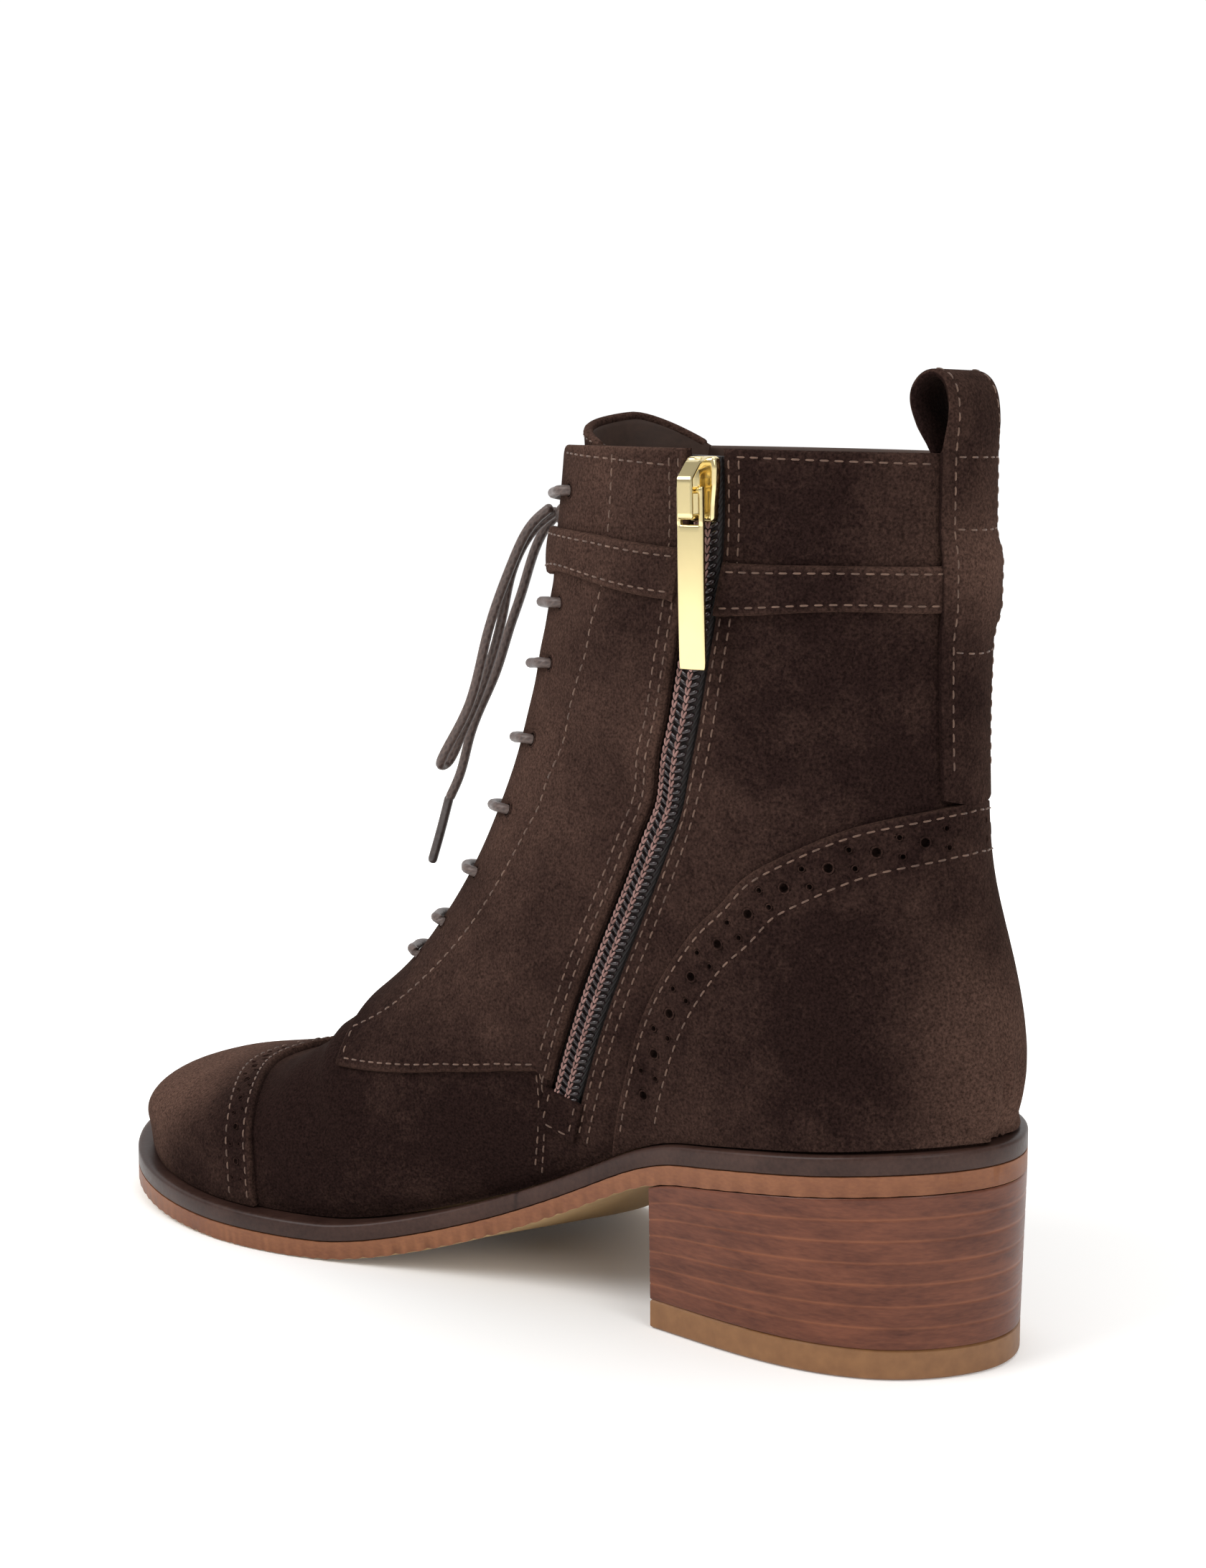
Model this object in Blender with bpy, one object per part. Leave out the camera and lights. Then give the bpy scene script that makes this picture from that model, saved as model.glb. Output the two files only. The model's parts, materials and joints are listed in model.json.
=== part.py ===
"""Block heel ankle boot for the right foot, with a lace front, a side zip and a pull loop.

Lengths in the tables are millimetres, measured from the back of the heel (x), from the middle
line of the heel (y, towards the inner side of the foot, where the zip is) and from the floor (z).
"""

import bpy
import bmesh
import numpy as np
from mathutils import Matrix, Vector

MM = 0.001
GAP = 0.3
SHARP_FROM = 0.6

# Sole
LENGTH = 266.0
CENTRE_Y = -0.3
OUTSOLE_THICK = 4.5
WELT_THICK = 4.5
BALL_FLAT = (176.0, 204.0)
ARCH_SPAN = (74.0, 170.0)
ARCH_LIFT = 4.0
ARCH_HALF_WIDTH = 30.0
# Outline of the sole: distance from the heel, inner edge, outer edge
OUTLINE = (
    (0.0, 0.0, 0.0),
    (3.5, 12.5, -12.5),
    (16.0, 26.3, -26.0),
    (40.0, 33.4, -32.4),
    (74.0, 31.4, -34.2),
    (110.0, 30.2, -38.5),
    (147.0, 36.8, -45.5),
    (181.0, 46.2, -48.0),
    (205.5, 47.3, -44.6),
    (230.0, 41.8, -36.0),
    (249.7, 31.0, -24.0),
    (261.7, 17.5, -9.8),
    (LENGTH, 4.4, 4.4),
)
# Underside of the sole along the foot: distance from the heel, height
UNDERSIDE = (
    (0.0, 41.4),
    (14.0, 41.0),
    (30.0, 39.5),
    (48.0, 37.6),
    (62.0, 35.9),
    (74.0, 33.8),
    (95.0, 22.9),
    (120.0, 9.6),
    (145.0, 2.4),
    (162.0, 0.45),
    (176.0, 0.0),
    (204.0, 0.0),
    (234.0, 1.4),
    (253.5, 3.7),
    (LENGTH, 6.2),
)
# Ledge of the welt outside the upper: at the heel, added by the ball, added by the toe,
# and where each addition starts and how far it takes
LEDGE = (2.6, 2.0, 0.8)
LEDGE_BALL = (60.0, 110.0)
LEDGE_TOE = (215.0, 45.0)

# Heel
HEEL_BREAST = 76.0
HEEL_INSET = 0.8
HEEL_GAP = 0.6
LIFT_THICK = 6.6

# Upper
WALL = 2.0
PANEL_SET = 1.7
WELT_SET = 0.9
SEAT_GAP = 0.6
BED_GAP = 0.5
INSOLE_RISE = 1.2
WALL_SEAT = 4.2
PANEL_FOOT = 0.985
BESIDE_FACING = 16.0
BACK_ROUND = 14.0
SMALL_GIRTH = 60.0
# Sections of the last from toe to collar. Each runs from the ridge in front to its seat on the
# edge of the sole (a share of the edge from toe 0 to heel 1) or, behind the heel, to the back line.
# Columns: ridge x, ridge z, seat share, back x, back z, inner half width, outer half width,
# share of the height where it is widest, roundness above, roundness below, middle y
SECTIONS = {
    "tip": (259.9, 14.6, 0.000, 0.0, 0.0, 0.0, 0.0, 0.45, 2.20, 2.40, 4.2),
    "toe_edge": (259.0, 18.3, 0.028, 0.0, 0.0, 8.3, 8.3, 0.45, 2.20, 2.40, 4.2),
    "toe_front": (256.7, 24.3, 0.060, 0.0, 0.0, 16.0, 16.2, 0.45, 2.20, 2.40, 4.1),
    "toe_box": (251.2, 30.2, 0.100, 0.0, 0.0, 24.2, 24.6, 0.45, 2.25, 2.40, 3.8),
    "toe_top": (242.8, 34.8, 0.140, 0.0, 0.0, 31.0, 30.8, 0.43, 2.30, 2.40, 3.2),
    "cap": (230.0, 37.4, 0.180, 0.0, 0.0, 36.6, 35.2, 0.41, 2.30, 2.40, 2.4),
    "vamp": (213.0, 40.9, 0.240, 0.0, 0.0, 42.2, 41.0, 0.38, 2.25, 2.40, 1.2),
    "ball": (198.0, 46.8, 0.300, 0.0, 0.0, 44.2, 44.2, 0.36, 2.15, 2.40, 0.4),
    "throat": (185.2, 57.4, 0.360, 0.0, 0.0, 43.0, 45.0, 0.34, 2.05, 2.40, 0.0),
    "waist": (168.0, 71.8, 0.440, 0.0, 0.0, 39.2, 43.0, 0.34, 1.95, 2.40, 0.0),
    "instep_low": (155.4, 86.5, 0.520, 0.0, 0.0, 36.0, 39.6, 0.36, 1.95, 2.30, 0.0),
    "instep": (146.2, 101.0, 0.600, 0.0, 0.0, 33.8, 36.6, 0.39, 1.95, 2.20, 0.0),
    "instep_high": (139.4, 115.0, 0.680, 0.0, 0.0, 32.8, 34.6, 0.42, 1.95, 2.10, 0.0),
    "long_heel": (134.2, 128.5, 0.760, 0.0, 0.0, 32.4, 33.4, 0.45, 1.95, 2.10, 0.0),
    "heel_side": (131.2, 139.5, 0.830, 0.0, 0.0, 32.2, 32.8, 0.48, 1.95, 2.10, 0.0),
    "heel_round": (129.2, 148.0, 0.900, 0.0, 0.0, 32.2, 32.5, 0.50, 1.95, 2.10, 0.0),
    "heel_low": (127.6, 155.0, 0.955, 0.0, 0.0, 32.3, 32.4, 0.51, 2.00, 2.10, 0.0),
    "heel_seat": (126.0, 161.0, 1.000, 2.6, 51.0, 32.4, 32.4, 0.52, 2.00, 2.10, 0.0),
    "heel_back": (124.5, 167.0, 1.000, 0.2, 64.0, 32.4, 32.4, 0.53, 2.00, 2.10, 0.0),
    "counter_mid": (123.0, 172.8, 1.000, 3.0, 82.5, 32.3, 32.3, 0.53, 2.00, 2.05, 0.0),
    "counter_top": (121.8, 178.3, 1.000, 8.6, 103.0, 32.2, 32.2, 0.53, 2.10, 2.00, 0.0),
    "ankle": (120.8, 183.5, 1.000, 10.6, 123.0, 32.2, 32.2, 0.52, 2.10, 1.95, 0.0),
    "ankle_high": (120.0, 188.7, 1.000, 11.1, 143.0, 32.4, 32.4, 0.51, 2.10, 1.95, 0.0),
    "shaft": (119.3, 193.5, 1.000, 11.1, 163.0, 32.8, 32.8, 0.50, 2.10, 1.95, 0.0),
    "shaft_high": (118.7, 196.7, 1.000, 11.0, 180.8, 33.2, 33.2, 0.50, 2.10, 1.95, 0.0),
    "collar": (118.2, 200.0, 1.000, 10.9, 197.8, 33.5, 33.5, 0.50, 2.10, 1.95, 0.0),
}
HEEL_SEAT = float(list(SECTIONS).index("heel_seat"))
COLLAR = float(len(SECTIONS) - 1)
THROAT = 8.7
INSTEP_ROWS = (9.2, 9.8, 10.4, 10.9)
ANKLE_ROWS = (12.1, 12.6, 13.1, 13.7, 14.3, 14.9, 15.4, 15.9, 16.45)
INNER, OUTER = 1, -1

# Lines on the upper. A place is a section number and a distance from the ridge.
# Edge of the facing: section, distance
FACING = ((0.0, 4.0), (8.0, 5.0), (9.0, 6.0), (10.5, 9.5), (12.5, 12.5), (19.0, 14.0), (25.0, 15.0))
CORNER_RADIUS = 8.0
# Middle of the zip: section, distance
ZIP_LINE = (
    (0.0, 24.0),
    (5.0, 44.0),
    (8.0, 62.0),
    (10.0, 84.0),
    (11.35, 89.2),
    (12.0, 80.6),
    (13.0, 75.8),
    (15.2, 78.7),
    (18.7, 80.5),
    (20.8, 78.3),
    (25.0, 73.9),
)
ZIP_BOTTOM = 11.35
SLOT_HALF = 4.4
# Rear edge of the facing quarter below the zip: section, distance
QUARTER_LOW = ((8.55, 41.0), (9.4, 50.5), (10.26, 60.5), (11.0, 71.0), (11.5, 79.5))
QUARTER_FRONT = 8.55
# Top edge of the heel counter: section, share of the half girth
COUNTER_EDGE = (
    (11.62, 1.0),
    (12.38, 0.846),
    (13.25, 0.721),
    (14.64, 0.621),
    (16.0, 0.576),
    (17.0, 0.551),
    (18.0, 0.580),
    (18.98, 0.65),
    (20.28, 0.804),
    (20.86, 0.921),
    (21.05, 1.0),
)
# Rear edge of the toe cap: share of the half girth, section
CAP_EDGE = ((0.0, 6.0), (0.25, 6.17), (0.64, 7.0), (0.78, 7.03), (1.0, 6.88))
# Strap round the shaft: distance from the ridge, lower section, upper section
STRAP = (
    (14.0, 19.0, 20.9),
    (30.0, 20.3, 21.75),
    (50.0, 21.25, 22.45),
    (70.0, 21.9, 22.9),
    (82.0, 22.02, 22.93),
    (107.0, 22.72, 23.36),
    (132.0, 23.03, 23.6),
    (140.0, 23.1, 23.65),
)
LAYER = 0.6
LINING_GAP = 0.9
LEATHER = 1.2
# Strip up the back that ends in the pull loop: section, half width, lift over the strap's ends
BACK_STRIP = (
    (21.2, 10.0, 0.0),
    (22.2, 10.6, 0.0),
    (22.75, 11.0, 0.2),
    (23.05, 11.2, 1.7),
    (23.7, 11.4, 1.7),
    (24.0, 11.5, 0.2),
    (25.0, 11.5, 0.0),
)
STRIP_THICK = 1.6
# Sections that the strap crosses at the facing, at the zip and at the back, and its end gaps
STRAP_CROSSES = (20.0, 22.4, 23.3)
STRAP_GAP = (0.4, 0.6)
STRAP_TUCK = 6.5
# Middle of the pull loop above the collar, in the middle plane: x, z
LOOP_PATH = ((11.4, 203.6), (12.4, 208.8), (15.2, 213.6), (19.2, 214.6), (22.4, 211.2), (21.2, 205.4))
LOOP_LEG = 0.8
TONGUE_THICK = 2.0
TONGUE_RISE = 7.6
TONGUE_PEAK = -0.35
TONGUE_LEAN = 0.06
TONGUE_RIM = 0.02
TONGUE_FOOT = 8.3
# Half width of the tongue: section, distance from the ridge
TONGUE_HALF = ((TONGUE_FOOT, 20.0), (12.0, 27.0), (25.0, 33.0))

# Zip
TAPE_HALF = 9.0
TAPE_THICK = 0.8
CHAIN_HALF = 2.8
CHAIN_SUNK = 0.5
SLIDER_AT = 24.2
SLIDER_HALF = (4.0, 7.0)
SLIDER_THICK = 2.6
BRIDGE_HALF = (1.9, 6.4)
BRIDGE_RISE = 6.0
BRIDGE_BAR = 1.2
BRIDGE_SUNK = 0.6
PULL_LENGTH = 38.4
PULL_HALF = 3.3
PULL_THICK = 1.5
PULL_WINDOW = (2.3, 7.3)
PULL_ROWS = (12.0, 24.0)
PULL_CORNER = (1.0, 0.9)
# Slider from its foot to its top: share of the half length, share of the half width
SLIDER_ROWS = ((-1.0, 0.8), (-0.45, 0.86), (0.1, 0.95), (0.7, 1.0), (1.0, 0.86))
PULL_PLAY = 0.3

# Laces
LACE_RADIUS = 1.2
# Heights of the bars of lace across the throat
LACE_BARS = (73.6, 83.0, 96.8, 113.2, 130.6, 149.0, 163.6, 189.4)
EYELET_SET_BACK = 13.0
BAR_DROOP = 2.5
BAR_CLEAR = 0.2
# Lift of a bar above its ends' lift by the facing's edge, and its lift over the throat
BAR_RISE = (0.1, 0.4)
BAR_BRIDGE = (3.0, 2.4)
KNOT_HALF = (4.2, 4.6, 3.2)
KNOT_AT = (123.0, 0.0, 182.9)
# Routes of the free lace from the knot: x, y, z
LOOP_ROUTE = (
    (127.6, 1.5, 183.8),
    (132.3, 2.5, 180.3),
    (136.5, 3.5, 174.7),
    (139.1, 4.2, 168.6),
    (141.3, 5.0, 158.4),
    (144.9, 6.0, 146.0),
    (149.1, 7.0, 135.7),
    (153.0, 8.0, 127.5),
    (156.4, 9.4, 121.4),
    (155.9, 11.6, 122.6),
    (150.3, 12.0, 130.2),
    (146.4, 11.6, 137.1),
    (144.4, 10.3, 145.2),
    (143.0, 8.9, 153.6),
    (140.0, 7.8, 163.1),
    (135.9, 6.9, 172.6),
    (130.6, 5.4, 181.6),
    (127.0, 4.4, 184.6),
)
END_ROUTE = (
    (127.5, -2.1, 184.3),
    (131.6, -2.2, 181.6),
    (136.5, -2.5, 175.7),
    (141.4, -2.5, 164.0),
    (144.8, -2.0, 155.4),
    (148.9, -1.0, 143.5),
    (153.3, 0.0, 134.3),
    (155.6, 1.0, 127.8),
    (158.4, 2.0, 117.5),
    (160.6, 3.0, 112.2),
)
TIP_ROUTE = ((161.0, 3.2, 111.4), (163.1, 4.0, 103.3), (165.0, 5.0, 96.0))


def spline(keys, values, at):
    """Natural cubic curve through rows of values at rising keys, read at the places given."""
    keys = np.asarray(keys, float)
    values = np.asarray(values, float)
    steps = np.diff(keys)
    count = len(keys)
    system = np.eye(count)
    right = np.zeros(values.shape)
    for row in range(1, count - 1):
        before, after = steps[row - 1], steps[row]
        system[row, row - 1:row + 2] = before, 2.0 * (before + after), after
        rise = (values[row + 1] - values[row]) / after
        fall = (values[row] - values[row - 1]) / before
        right[row] = 6.0 * (rise - fall)
    bend = np.linalg.solve(system, right)
    at = np.clip(np.asarray(at, float), keys[0], keys[-1])
    k = np.clip(np.searchsorted(keys, at, side="right") - 1, 0, count - 2)
    shape = at.shape + (1,) * (values.ndim - 1)
    along = (at - keys[k]).reshape(shape)
    step = steps[k].reshape(shape)
    slope = (values[k + 1] - values[k]) / step - step * (2.0 * bend[k] + bend[k + 1]) / 6.0
    curl = (bend[k + 1] - bend[k]) / (6.0 * step)
    return values[k] + along * (slope + along * (bend[k] / 2.0 + along * curl))


def table(rows, at):
    """Second column of a table of pairs, as a smooth curve over the first."""
    rows = np.asarray(rows, float)
    return spline(rows[:, 0], rows[:, 1], at)


def line(rows, at):
    """Second column of a table of pairs, as straight runs over the first."""
    rows = np.asarray(rows, float)
    return np.interp(at, rows[:, 0], rows[:, 1])


def ease(share):
    """Smooth step from 0 to 1."""
    share = np.clip(share, 0.0, 1.0)
    return share * share * (3.0 - 2.0 * share)


def outline_points(count=720):
    """Closed outline of the sole from the heel along the inner edge to the toe and back."""
    inner = [(x, y) for x, y, _ in OUTLINE]
    outer = [(x, y) for x, _, y in OUTLINE[-2:0:-1]]
    ring = np.array(inner + outer + inner[:1])
    padded = np.vstack([ring[-4:-1], ring, ring[1:4]])
    keys = np.concatenate([[0.0], np.cumsum(np.linalg.norm(np.diff(padded, axis=0), axis=1) ** 0.6)])
    return spline(keys, padded, np.linspace(keys[3], keys[2 + len(ring)], count, endpoint=False))


def inset_outline(inset):
    """Outline of the sole moved inwards by a distance worked out from x."""
    points = outline_points()
    along = np.roll(points, -1, 0) - np.roll(points, 1, 0)
    along /= np.linalg.norm(along, axis=1)[:, None]
    inwards = np.stack([along[:, 1], -along[:, 0]], 1)
    if ((points.mean(0) - points) * inwards).sum() < 0.0:
        inwards = -inwards
    return points + inwards * inset(points[:, 0])[:, None]


def ledge(x):
    """Width of the welt outside the upper."""
    heel, ball, toe = LEDGE
    by_ball = ease((x - LEDGE_BALL[0]) / LEDGE_BALL[1])
    by_toe = ease((x - LEDGE_TOE[0]) / LEDGE_TOE[1])
    return heel + ball * by_ball + toe * by_toe


class Edge:
    """An outline split at toe and heel, read on each side by its share from toe to heel."""

    def __init__(self, inset):
        ring = inset_outline(inset)
        toe, heel = ring[:, 0].argmax(), ring[:, 0].argmin()
        rolled = np.roll(ring, -heel, axis=0)
        split = (toe - heel) % len(ring)
        self.sides = {
            INNER: rolled[:split + 1][::-1],
            OUTER: np.vstack([rolled[split:], rolled[:1]]),
        }

    def at(self, side, share):
        """Points of one side at the given shares of its length."""
        points = self.sides[side]
        run = np.concatenate([[0.0], np.cumsum(np.linalg.norm(np.diff(points, axis=0), axis=1))])
        run /= run[-1]
        return np.stack([np.interp(share, run, points[:, axis]) for axis in (0, 1)], -1)

    def across(self, shares, columns):
        """Grid of points from the inner to the outer side at each share."""
        inner, outer = self.at(INNER, shares), self.at(OUTER, shares)
        mix = np.linspace(0.0, 1.0, columns)[None, :, None]
        return inner[:, None] * (1.0 - mix) + outer[:, None] * mix


def underside(x, y):
    """Height of the sole's underside: the long profile, raised under the inner arch."""
    rows = np.array(UNDERSIDE)
    height = np.maximum(spline(rows[:, 0], rows[:, 1], x), 0.0)
    height = np.where((x >= BALL_FLAT[0]) & (x <= BALL_FLAT[1]), 0.0, height)
    share = np.clip((x - ARCH_SPAN[0]) / (ARCH_SPAN[1] - ARCH_SPAN[0]), 0.0, 1.0)
    return height + ARCH_LIFT * np.sin(np.pi * share) ** 1.5 * np.clip(y / ARCH_HALF_WIDTH, -0.7, 1.0)


def sole_top(x, y):
    """Height of the welt's upper face."""
    return underside(x, y) + OUTSOLE_THICK + WELT_THICK


def raised(flat, height):
    """Points of a flat grid with their height added as the third column."""
    return np.concatenate([flat, height[..., None]], -1)


SOLE_EDGE = Edge(lambda x: np.zeros_like(x))
FEATHER_EDGE = Edge(ledge)


def section_rows(q):
    """Columns of the section table at section numbers q."""
    rows = np.array(list(SECTIONS.values()))
    numbers = np.arange(len(rows), dtype=float)
    seat_row = int(HEEL_SEAT)
    columns = spline(numbers, rows, q)
    columns[:, 2] = spline(numbers[:seat_row + 1], rows[:seat_row + 1, 2], np.minimum(q, HEEL_SEAT))
    columns[:, 2] = np.clip(columns[:, 2], 0.0, 1.0)
    columns[:, 3:5] = spline(numbers[seat_row:], rows[seat_row:, 3:5], np.maximum(q, HEEL_SEAT))
    return columns


def section_curves(q, side, steps=90):
    """Half sections from ridge to seat: two quarters of superellipses that meet at the widest place."""
    columns = section_rows(q)
    ridge_x, ridge_z, seat, back_x, back_z = (columns[:, k:k + 1] for k in range(5))
    half = columns[:, 5:6] if side == INNER else columns[:, 6:7]
    wide, above, below, middle = (columns[:, k:k + 1] for k in range(7, 11))
    foot = FEATHER_EDGE.at(side, seat[:, 0])
    on_sole = q[:, None] < HEEL_SEAT
    foot_z = sole_top(foot[:, :1], foot[:, 1:]) + SEAT_GAP
    base_x = np.where(on_sole, foot[:, :1], back_x)
    base_z = np.where(on_sole, foot_z, back_z)
    foot_half = np.where(on_sole, np.maximum(side * (foot[:, 1:] - middle), 0.0), 0.0)
    half = np.maximum(np.maximum(half, 1.02 * foot_half), 1e-6)
    turn = np.linspace(0.0, 1.0, steps)[None]
    upper_y = half * np.sin(turn * np.pi / 2.0) ** (2.0 / above)
    upper_h = wide + (1.0 - wide) * np.cos(turn * np.pi / 2.0) ** (2.0 / above)
    last = np.arccos(np.clip(foot_half / half, 0.0, 0.985) ** (below / 2.0))
    lower_y = half * np.cos(turn * last) ** (2.0 / below)
    lower_h = wide * (1.0 - (np.sin(turn * last) / np.sin(last)) ** (2.0 / below))
    out = np.concatenate([upper_y, lower_y[:, 1:]], 1)
    height = np.concatenate([upper_h, lower_h[:, 1:]], 1)
    x = base_x + (ridge_x - base_x) * height
    z = base_z + (ridge_z - base_z) * height
    return np.stack([x, middle + side * out, z], -1)


def half_girth(q, side):
    """Length of the half sections."""
    curves = section_curves(np.atleast_1d(np.asarray(q, float)), side)
    return np.linalg.norm(np.diff(curves, axis=1), axis=2).sum(1)


def on_section(q, share, side):
    """Points of the last at section numbers and shares of the half girth."""
    curves = section_curves(q, side)
    runs = np.cumsum(np.linalg.norm(np.diff(curves, axis=1), axis=2), axis=1)
    runs = np.concatenate([np.zeros((len(q), 1)), runs], 1)
    wanted = np.clip(share, 0.0, 1.0) * runs[:, -1]
    k = np.clip((runs < wanted[:, None]).sum(1) - 1, 0, curves.shape[1] - 2)
    pick = np.arange(len(q))
    part = (wanted - runs[pick, k]) / np.maximum(runs[pick, k + 1] - runs[pick, k], 1e-9)
    return curves[pick, k] + part[:, None] * (curves[pick, k + 1] - curves[pick, k])


def last_point(q, share, side, lift=0.0):
    """Points of the upper's outer face, moved out along its normal by lift, for any one shape.

    The drawn shape takes in the panels, so the face lies PANEL_SET inside it, WELT_SET at the welt.
    """
    q, share, lift = np.broadcast_arrays(np.asarray(q, float), share, lift)
    shape = q.shape
    q, share, lift = q.ravel(), share.ravel(), lift.ravel()
    point = on_section(q, share, side)
    near = np.clip(q, 0.25, COLLAR - 0.06)
    along = on_section(near + 0.06, share, side) - on_section(near - 0.06, share, side)
    low, high = np.clip(share - 0.006, 0.0, 1.0), np.clip(share + 0.006, 0.0, 1.0)
    round_ = on_section(near, high, side) - on_section(near, low, side)
    normal = side * np.cross(round_, along)
    normal /= np.linalg.norm(normal, axis=1)[:, None] + 1e-12
    at_welt = np.where(q < HEEL_SEAT, ease((share - 0.8) / 0.2), 0.0)
    out = lift - PANEL_SET + (PANEL_SET - WELT_SET) * at_welt
    return (point + normal * out[:, None]).reshape(shape + (3,))


def at_distance(q, distance, side, lift=0.0):
    """Points on the last at distances from the ridge."""
    q, distance = np.broadcast_arrays(np.asarray(q, float), np.asarray(distance, float))
    girth = half_girth(q.ravel(), side).reshape(q.shape)
    return last_point(q, distance / girth, side, lift)


def material(name, colour, roughness, metallic=0.0):
    """Plain surface of one colour."""
    made = bpy.data.materials.new(name)
    made.use_nodes = True
    shader = made.node_tree.nodes["Principled BSDF"]
    shader.inputs["Base Color"].default_value = (*colour, 1.0)
    shader.inputs["Roughness"].default_value = roughness
    shader.inputs["Metallic"].default_value = metallic
    made.diffuse_color = (*colour, 1.0)
    return made


def place(points):
    """Metres from millimetres, with the origin under the middle of the sole."""
    return (np.asarray(points, float) - (LENGTH / 2.0, CENTRE_Y, 0.0)) * MM


def add_object(name, data, surface):
    """Object in the scene with one material."""
    data.materials.append(surface)
    made = bpy.data.objects.new(name, data)
    bpy.context.scene.collection.objects.link(made)
    return made


def between(name, first, second, surface, keep=None, origin=(0.0, 0.0, 0.0)):
    """Closed solid between two grids of points; cells outside keep are left open."""
    rows, columns = first.shape[:2]
    flat = first.reshape(-1, 3)
    _, lead, same = np.unique(np.round(flat, 3), axis=0, return_index=True, return_inverse=True)
    number = same.reshape(rows, columns)
    count = len(lead)
    faces = []
    for i in range(rows - 1):
        for j in range(columns - 1):
            if keep is not None and not keep[i, j]:
                continue
            ring = (number[i, j], number[i, j + 1], number[i + 1, j + 1], number[i + 1, j])
            ring = [int(v) for k, v in enumerate(ring) if v != ring[k - 1]]
            if len(ring) > 2:
                faces.append(ring)
    edges = {(a, b) for face in faces for a, b in zip(face, face[1:] + face[:1])}
    rim = [(a, b) for a, b in edges if (b, a) not in edges]
    walls = [(b, a, a + count, b + count) for a, b in sorted(rim)]
    under = [[v + count for v in reversed(face)] for face in faces]
    points = place(np.vstack([flat[lead], second.reshape(-1, 3)[lead]])) - np.asarray(origin)
    mesh = bpy.data.meshes.new(name)
    mesh.from_pydata(points.tolist(), [], faces + under + walls)
    shape = bmesh.new()
    shape.from_mesh(mesh)
    bmesh.ops.delete(shape, geom=[v for v in shape.verts if not v.link_faces], context="VERTS")
    bmesh.ops.triangulate(shape, faces=shape.faces[:])
    bmesh.ops.recalc_face_normals(shape, faces=shape.faces[:])
    shape.to_mesh(mesh)
    shape.free()
    mesh.shade_smooth()
    mesh.set_sharp_from_angle(angle=SHARP_FROM)
    return add_object(name, mesh, surface)


def tube(name, points, radius, surface):
    """Round cord through a list of points, read from a smooth curve every few diameters."""
    points = np.asarray(points, float)
    keys = np.concatenate([[0.0], np.cumsum(np.linalg.norm(np.diff(points, axis=0), axis=1))])
    count = max(4, int(round(keys[-1] / (5.0 * radius))) + 1)
    route = place(spline(keys, points, np.linspace(0.0, keys[-1], count)))
    data = bpy.data.curves.new(name, "CURVE")
    data.dimensions = "3D"
    data.bevel_depth = radius * MM
    data.bevel_resolution = 2
    data.use_fill_caps = True
    run = data.splines.new("POLY")
    run.points.add(count - 1)
    for point, (x, y, z) in zip(run.points, route):
        point.co = (x, y, z, 1.0)
    return add_object(name, data, surface)


def make_sole(skins):
    """Outsole, welt ring, insole, stacked heel and top lift."""
    even = np.linspace(0.0, 1.0, 35)
    shares = 0.6 * even + 0.4 * (0.5 - 0.5 * np.cos(np.pi * even))
    plan = SOLE_EDGE.across(shares, 4)
    low = underside(plan[..., 0], plan[..., 1])
    between("outsole", raised(plan, low + OUTSOLE_THICK), raised(plan, low), skins["sole_leather"])

    ring_inner = Edge(lambda x: ledge(x) + WALL_SEAT)
    rings = []
    for edge in (SOLE_EDGE, ring_inner):
        sides = [edge.at(INNER, shares), edge.at(OUTER, shares[::-1])[1:]]
        rings.append(np.vstack(sides))
    plan = np.stack(rings, 1)
    low = underside(plan[..., 0], plan[..., 1]) + OUTSOLE_THICK
    between("welt", raised(plan, low + WELT_THICK), raised(plan, low + GAP), skins["welt_leather"])

    bed = Edge(lambda x: ledge(x) + WALL_SEAT + GAP)
    plan = bed.across(shares, 4)
    low = underside(plan[..., 0], plan[..., 1]) + OUTSOLE_THICK
    top = low + WELT_THICK + INSOLE_RISE
    between("insole", raised(plan, top), raised(plan, low + BED_GAP), skins["insole_leather"])

    back = heel_rows(0.0)
    foot = heel_rows(HEEL_INSET)
    seat = underside(back[..., 0], back[..., 1]) - HEEL_GAP
    floor = np.full(foot.shape[:2], LIFT_THICK + GAP)
    between("heel_block", raised(back, seat), raised(foot, floor), skins["heel_leather"])
    between("top_lift", raised(foot, floor - GAP), raised(foot, floor * 0.0), skins["lift_rubber"])


def heel_rows(inset):
    """Grid over the plan of the heel from its back to the breast, drawn in by inset."""
    edge = Edge(lambda x: np.full_like(x, max(inset, 1e-6)))
    rows = []
    share_of_x = np.linspace(0.6, 1.0, 400)
    for side in (INNER, OUTER):
        points = edge.at(side, share_of_x)
        breast = np.interp(-HEEL_BREAST, -points[:, 0], share_of_x)
        rows.append(edge.at(side, np.linspace(1.0, breast, 15)))
    mix = np.linspace(0.0, 1.0, 3)[None, :, None]
    return rows[0][:, None] * (1.0 - mix) + rows[1][:, None] * mix


def corner_drop(q, beyond):
    """Section number lowered near the collar so that the facing's top corner is round."""
    near = np.clip(CORNER_RADIUS - beyond, 0.0, CORNER_RADIUS)
    drop = CORNER_RADIUS - np.sqrt(CORNER_RADIUS ** 2 - near ** 2)
    lowest = COLLAR - 3.0
    lowered = COLLAR - drop / 4.0
    return np.where(q > lowest, lowest + (q - lowest) * (lowered - lowest) / 3.0, q)


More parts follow.
